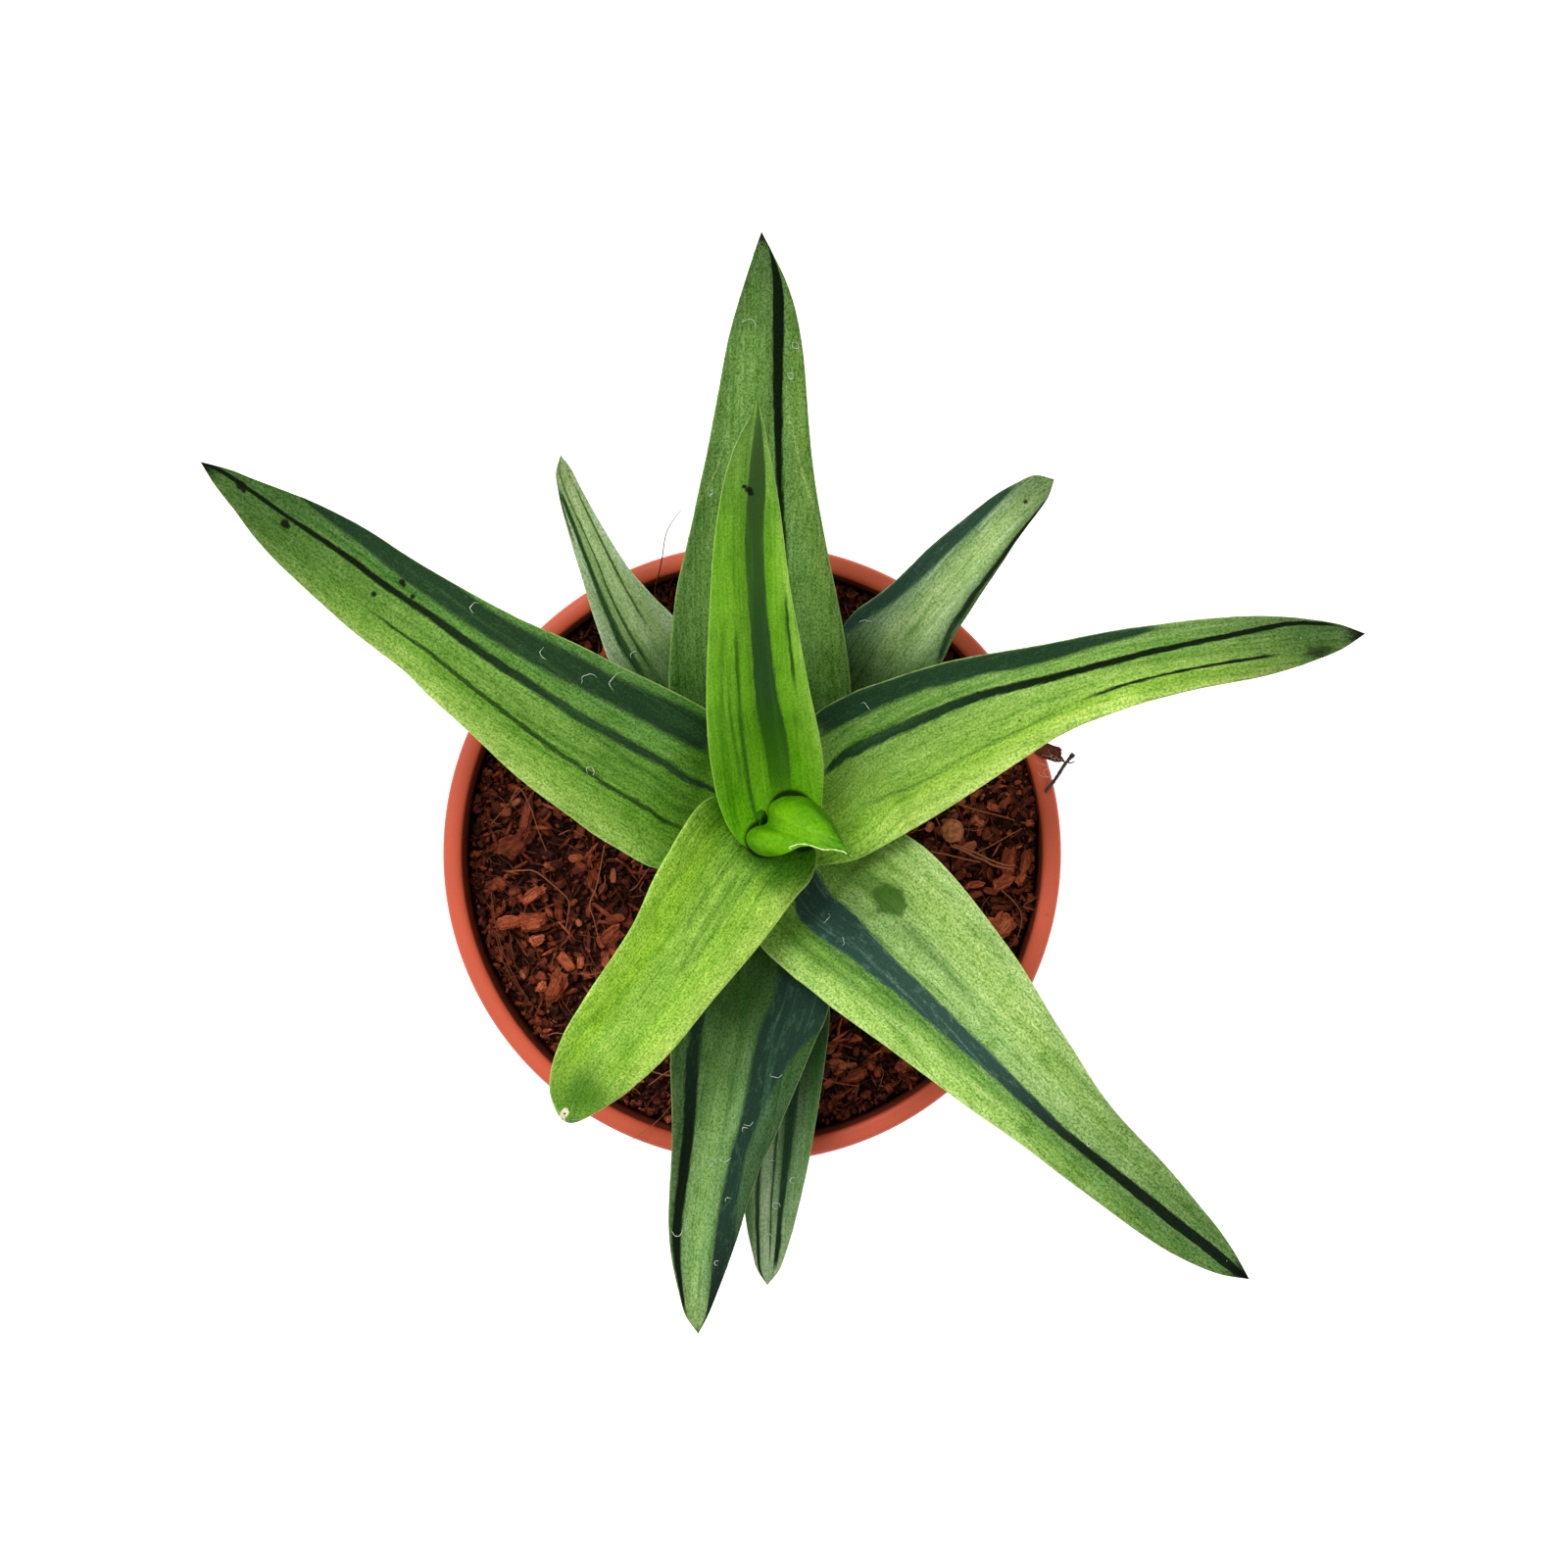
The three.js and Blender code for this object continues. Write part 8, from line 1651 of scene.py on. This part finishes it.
# the long ones that stand out, left then right
for pts, r0, r1, tone in [
    ([(-48.1, -3.7, 98.2), (-45.4, -3.5, 98.7), (-42.7, -3.7, 98.9), (-39.2, -6.4, 98.9), (-36.2, -9.4, 98.6), (-36.3, -12.5, 98.4), (-36.8, -15.4, 97.9)], 0.16, 0.11, 0.78),
    ([(-29.1, 1.4, 98.6), (-29.9, -3.0, 98.9), (-30.8, -7.1, 98.8), (-31.95, -10.2, 98.7), (-31.1, -13.4, 98.5), (-30.4, -16.6, 98.0)], 0.15, 0.10, 0.80),
    ([(39.0, 1.4, 98.6), (41.4, 0.5, 98.9), (43.8, -0.8, 99.0), (45.7, -1.5, 99.1), (47.5, -2.5, 99.2), (51.2, -3.3, 99.4)], 0.30, 0.20, 0.86),
    ([(39.6, 1.6, 98.8), (43.0, 0.4, 99.2), (46.6, -1.3, 99.3), (49.6, -2.4, 99.6), (51.8, -2.5, 99.3)], 0.20, 0.14, 0.92),
    ([(35.2, 0.2, 98.4), (38.7, -0.5, 98.8), (42.1, -1.3, 98.9), (45.0, -1.9, 98.8)], 0.22, 0.15, 0.84),
    ([(40.4, 9.6, 98.6), (44.0, 8.4, 98.9), (48.0, 7.4, 99.3), (52.3, 6.2, 100.0), (55.4, 5.3, 100.6)], 0.17, 0.12, 0.74),
    ([(44.2, 0.0, 98.9), (47.0, 1.4, 99.3), (50.2, 3.2, 99.6), (53.1, 4.8, 99.7)], 0.14, 0.09, 0.80),
    ([(36.1, 6.95, 98.6), (37.4, 4.3, 99.2), (39.2, 1.4, 98.9)], 0.14, 0.10, 0.78),
    ([(53.2, -10.6, 99.6), (55.2, -11.2, 101.2), (56.6, -11.7, 104.2), (57.8, -12.0, 105.25)], 0.12, 0.07, 0.82),
    ([(53.4, -10.3, 99.2), (54.9, -9.3, 101.6), (56.1, -8.4, 103.8), (57.0, -7.8, 104.9)], 0.11, 0.07, 0.82),
    ([(49.0, -7.4, 98.6), (51.4, -9.6, 99.2), (53.0, -12.6, 99.4), (52.0, -17.0, 98.9), (49.2, -20.0, 98.2)], 0.14, 0.08, 0.76),
    ([(-51.4, -8.0, 97.9), (-50.6, -14.0, 98.3), (-48.9, -20.0, 98.4), (-46.0, -26.0, 98.3), (-44.1, -28.8, 97.9)], 0.13, 0.09, 0.50),
    ([(-50.6, -16.0, 98.2), (-48.6, -22.4, 98.6), (-45.0, -28.0, 98.6), (-41.8, -31.4, 98.0)], 0.12, 0.08, 0.44),
    ([(-47.6, 10.2, 98.3), (-45.8, 12.6, 98.6), (-43.6, 8.8, 98.9), (-42.0, 4.0, 98.8), (-40.5, 0.2, 98.2)], 0.16, 0.10, 0.72),
    ([(-51.5, 5.5, 98.2), (-48.8, 8.6, 98.7), (-45.9, 11.9, 98.7), (-43.6, 13.5, 98.2)], 0.12, 0.08, 0.70),
    ([(-22.6, -42.0, 98.2), (-18.0, -43.6, 98.7), (-13.2, -44.4, 98.8), (-8.6, -46.8, 98.1)], 0.16, 0.10, 0.76),
    ([(-20.4, -45.8, 98.2), (-15.6, -42.6, 98.9), (-10.0, -42.0, 98.6)], 0.14, 0.09, 0.74),
    ([(28.0, -30.0, 98.3), (27.6, -35.4, 98.9), (29.6, -40.2, 98.7), (31.8, -43.0, 98.1)], 0.14, 0.09, 0.78),
    ([(12.0, -43.6, 98.2), (16.2, -45.2, 98.8), (21.0, -46.0, 98.5)], 0.13, 0.08, 0.74),
    ([(-19.0, 45.5, 97.6), (-19.0, 51.7, 102.4), (-18.2, 54.4, 106.2), (-17.5, 57.5, 108.0), (-16.7, 62.2, 108.6), (-15.1, 65.2, 108.2), (-13.8, 66.9, 107.6)], 0.17, 0.07, 0.30),
    ([(-14.0, -47.5, 98.0), (-16.4, -50.2, 102.0), (-18.6, -52.4, 105.6), (-21.2, -54.4, 106.3), (-24.0, -56.2, 105.4)], 0.13, 0.06, 0.72),
]:
    add_fibre(smooth_path(pts, 40), r0, r1, tone, 7)
# wisps of grey lint on the lip beside the twig
for i in range(26):
    a, b, c = rng.normal(0, 1, 3)
    x, y, z = 58.9 + a * 0.8, 16.7 + b * 0.9, 105.9 + abs(c) * 0.5
    pts = []
    h, e = rng.uniform(0, 6.28), rng.uniform(-0.3, 0.5)
    for k in range(9):
        pts.append(Vector((x, y, max(105.1 if math.hypot(x, y) > 57 else 104.5, z))))
        x += math.cos(h) * 0.32; y += math.sin(h) * 0.32; z += math.sin(e) * 0.2
        h += rng.normal(0, 0.5); e += rng.normal(0, 0.3)
    add_fibre(pts, 0.035, 0.02, 1.6, 4)
fibres = new_object("mix_fibres", [p * MM for p in fib_v], fib_f)
at = fibres.data.attributes.new("tone", "FLOAT", "POINT")
at.data.foreach_set("value", fib_t)
m = Nodes("coir_fibre")
tone = m.n("ShaderNodeAttribute", attribute_name="tone").outputs["Fac"]
mm_ = m.scaled(m.n("ShaderNodeTexCoord").outputs["Object"], 1000, 1000, 1000)
a = m.noise(mm_, 1.4, 4.0, 0.7)
col = m.ramp(m.math("MULTIPLY_ADD", a, 0.3, m.math("MULTIPLY_ADD", tone, 0.62, -0.15)), [(0.0, srgb(52, 22, 14)), (0.3, srgb(104, 52, 30)), (0.55, srgb(162, 96, 60)), (0.74, srgb(196, 136, 90)), (0.86, srgb(190, 176, 160)), (1.0, srgb(198, 196, 192))])
m.link(col, m.bsdf.inputs["Base Color"])
m.link(m.math("MULTIPLY_ADD", a, 0.3, 0.42), m.bsdf.inputs["Roughness"])
m.link(m.bump(a, 0.4, 0.0001), m.bsdf.inputs["Normal"])
m.bsdf.inputs["Specular IOR Level"].default_value = 0.15
fibres.data.materials.append(m.mat)
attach(fibres, "root")

# the dark twig that leans on the lip
tw = smooth_path([(57.3, 11.9, 105.5), (58.3, 13.2, 105.9), (59.6, 15.1, 106.6), (60.9, 17.2, 107.3), (61.9, 18.5, 107.8), (62.6, 19.3, 108.2)], 48)
tv, tf = tube(tw, [0.34 + 0.10 * noise.noise(p * 1.7) + (0.16 if i > 40 else 0.0) for i, p in enumerate(tw)], 14)
tv2, tf2 = tube(smooth_path([(61.4, 17.9, 107.5), (62.0, 17.6, 107.9), (62.9, 17.9, 108.1)], 12), [0.22 - 0.012 * i for i in range(12)], 8)
k = len(tv)
twig = new_object("twig_on_lip", [p * MM for p in tv + tv2], tf + [tuple(i + k for i in q) for q in tf2])
m = Nodes("twig_bark")
mm_ = m.scaled(m.n("ShaderNodeTexCoord").outputs["Object"], 1000, 1000, 1000)
a = m.noise(m.scaled(mm_, 1.0, 0.35, 1.0), 2.6, 4.0, 0.7)
col = m.mix(m.step(a, 0.35, 0.7), srgb(26, 20, 20), srgb(84, 66, 62))
m.link(col, m.bsdf.inputs["Base Color"]); m.link(m.math("MULTIPLY_ADD", a, 0.3, 0.5), m.bsdf.inputs["Roughness"])
m.link(m.bump(a, 0.6, 0.0003), m.bsdf.inputs["Normal"])
twig.data.materials.append(m.mat)
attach(twig, "root"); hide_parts("lip_twig")

# ------------------------------------------------------------------ floor and light
fl = new_object("floor", [(-3, -3, -0.0002), (3, -3, -0.0002), (3, 3, -0.0002), (-3, 3, -0.0002)], [(0, 1, 2, 3)], smooth=False)
m = Nodes("floor_paper")
pos = m.n("ShaderNodeTexCoord").outputs["Object"]
nz = m.noise(pos, 40.0, 4.0, 0.6)
m.link(m.mix(nz, (0.86, 0.86, 0.86, 1), (0.90, 0.90, 0.90, 1)), m.bsdf.inputs["Base Color"])
m.bsdf.inputs["Roughness"].default_value = 0.9
m.bsdf.inputs["Specular IOR Level"].default_value = 0.0
m.bsdf.inputs["Emission Color"].default_value = (1, 1, 1, 1)
m.bsdf.inputs["Emission Strength"].default_value = 0.62
fl.data.materials.append(m.mat)

world = bpy.data.worlds.new("studio")
world.use_nodes = True
world.node_tree.nodes["Background"].inputs[0].default_value = (1, 1, 1, 1)
world.node_tree.nodes["Background"].inputs[1].default_value = 0.62
scene.world = world


def area(name, loc, target, size, watts, colour=(1, 1, 1)):
    d = bpy.data.lights.new(name, "AREA")
    d.shape = "SQUARE"; d.size = size; d.energy = watts; d.color = colour
    o = bpy.data.objects.new(name, d)
    o.location = loc
    o.rotation_euler = (Vector(target) - Vector(loc)).to_track_quat("-Z", "Y").to_euler()
    scene.collection.objects.link(o)
    return o


area("key", (-0.60, 0.66, 1.28), (0, 0, 0.1), 0.9, 18.0)
area("fill", (0.75, -0.6, 1.2), (0, 0, 0.1), 0.9, 3.0)

scene.view_settings.view_transform = "Standard"
scene.view_settings.look = "None"
scene.view_settings.exposure = 0.0
scene.view_settings.gamma = 1.0

bpy.context.view_layer.update()
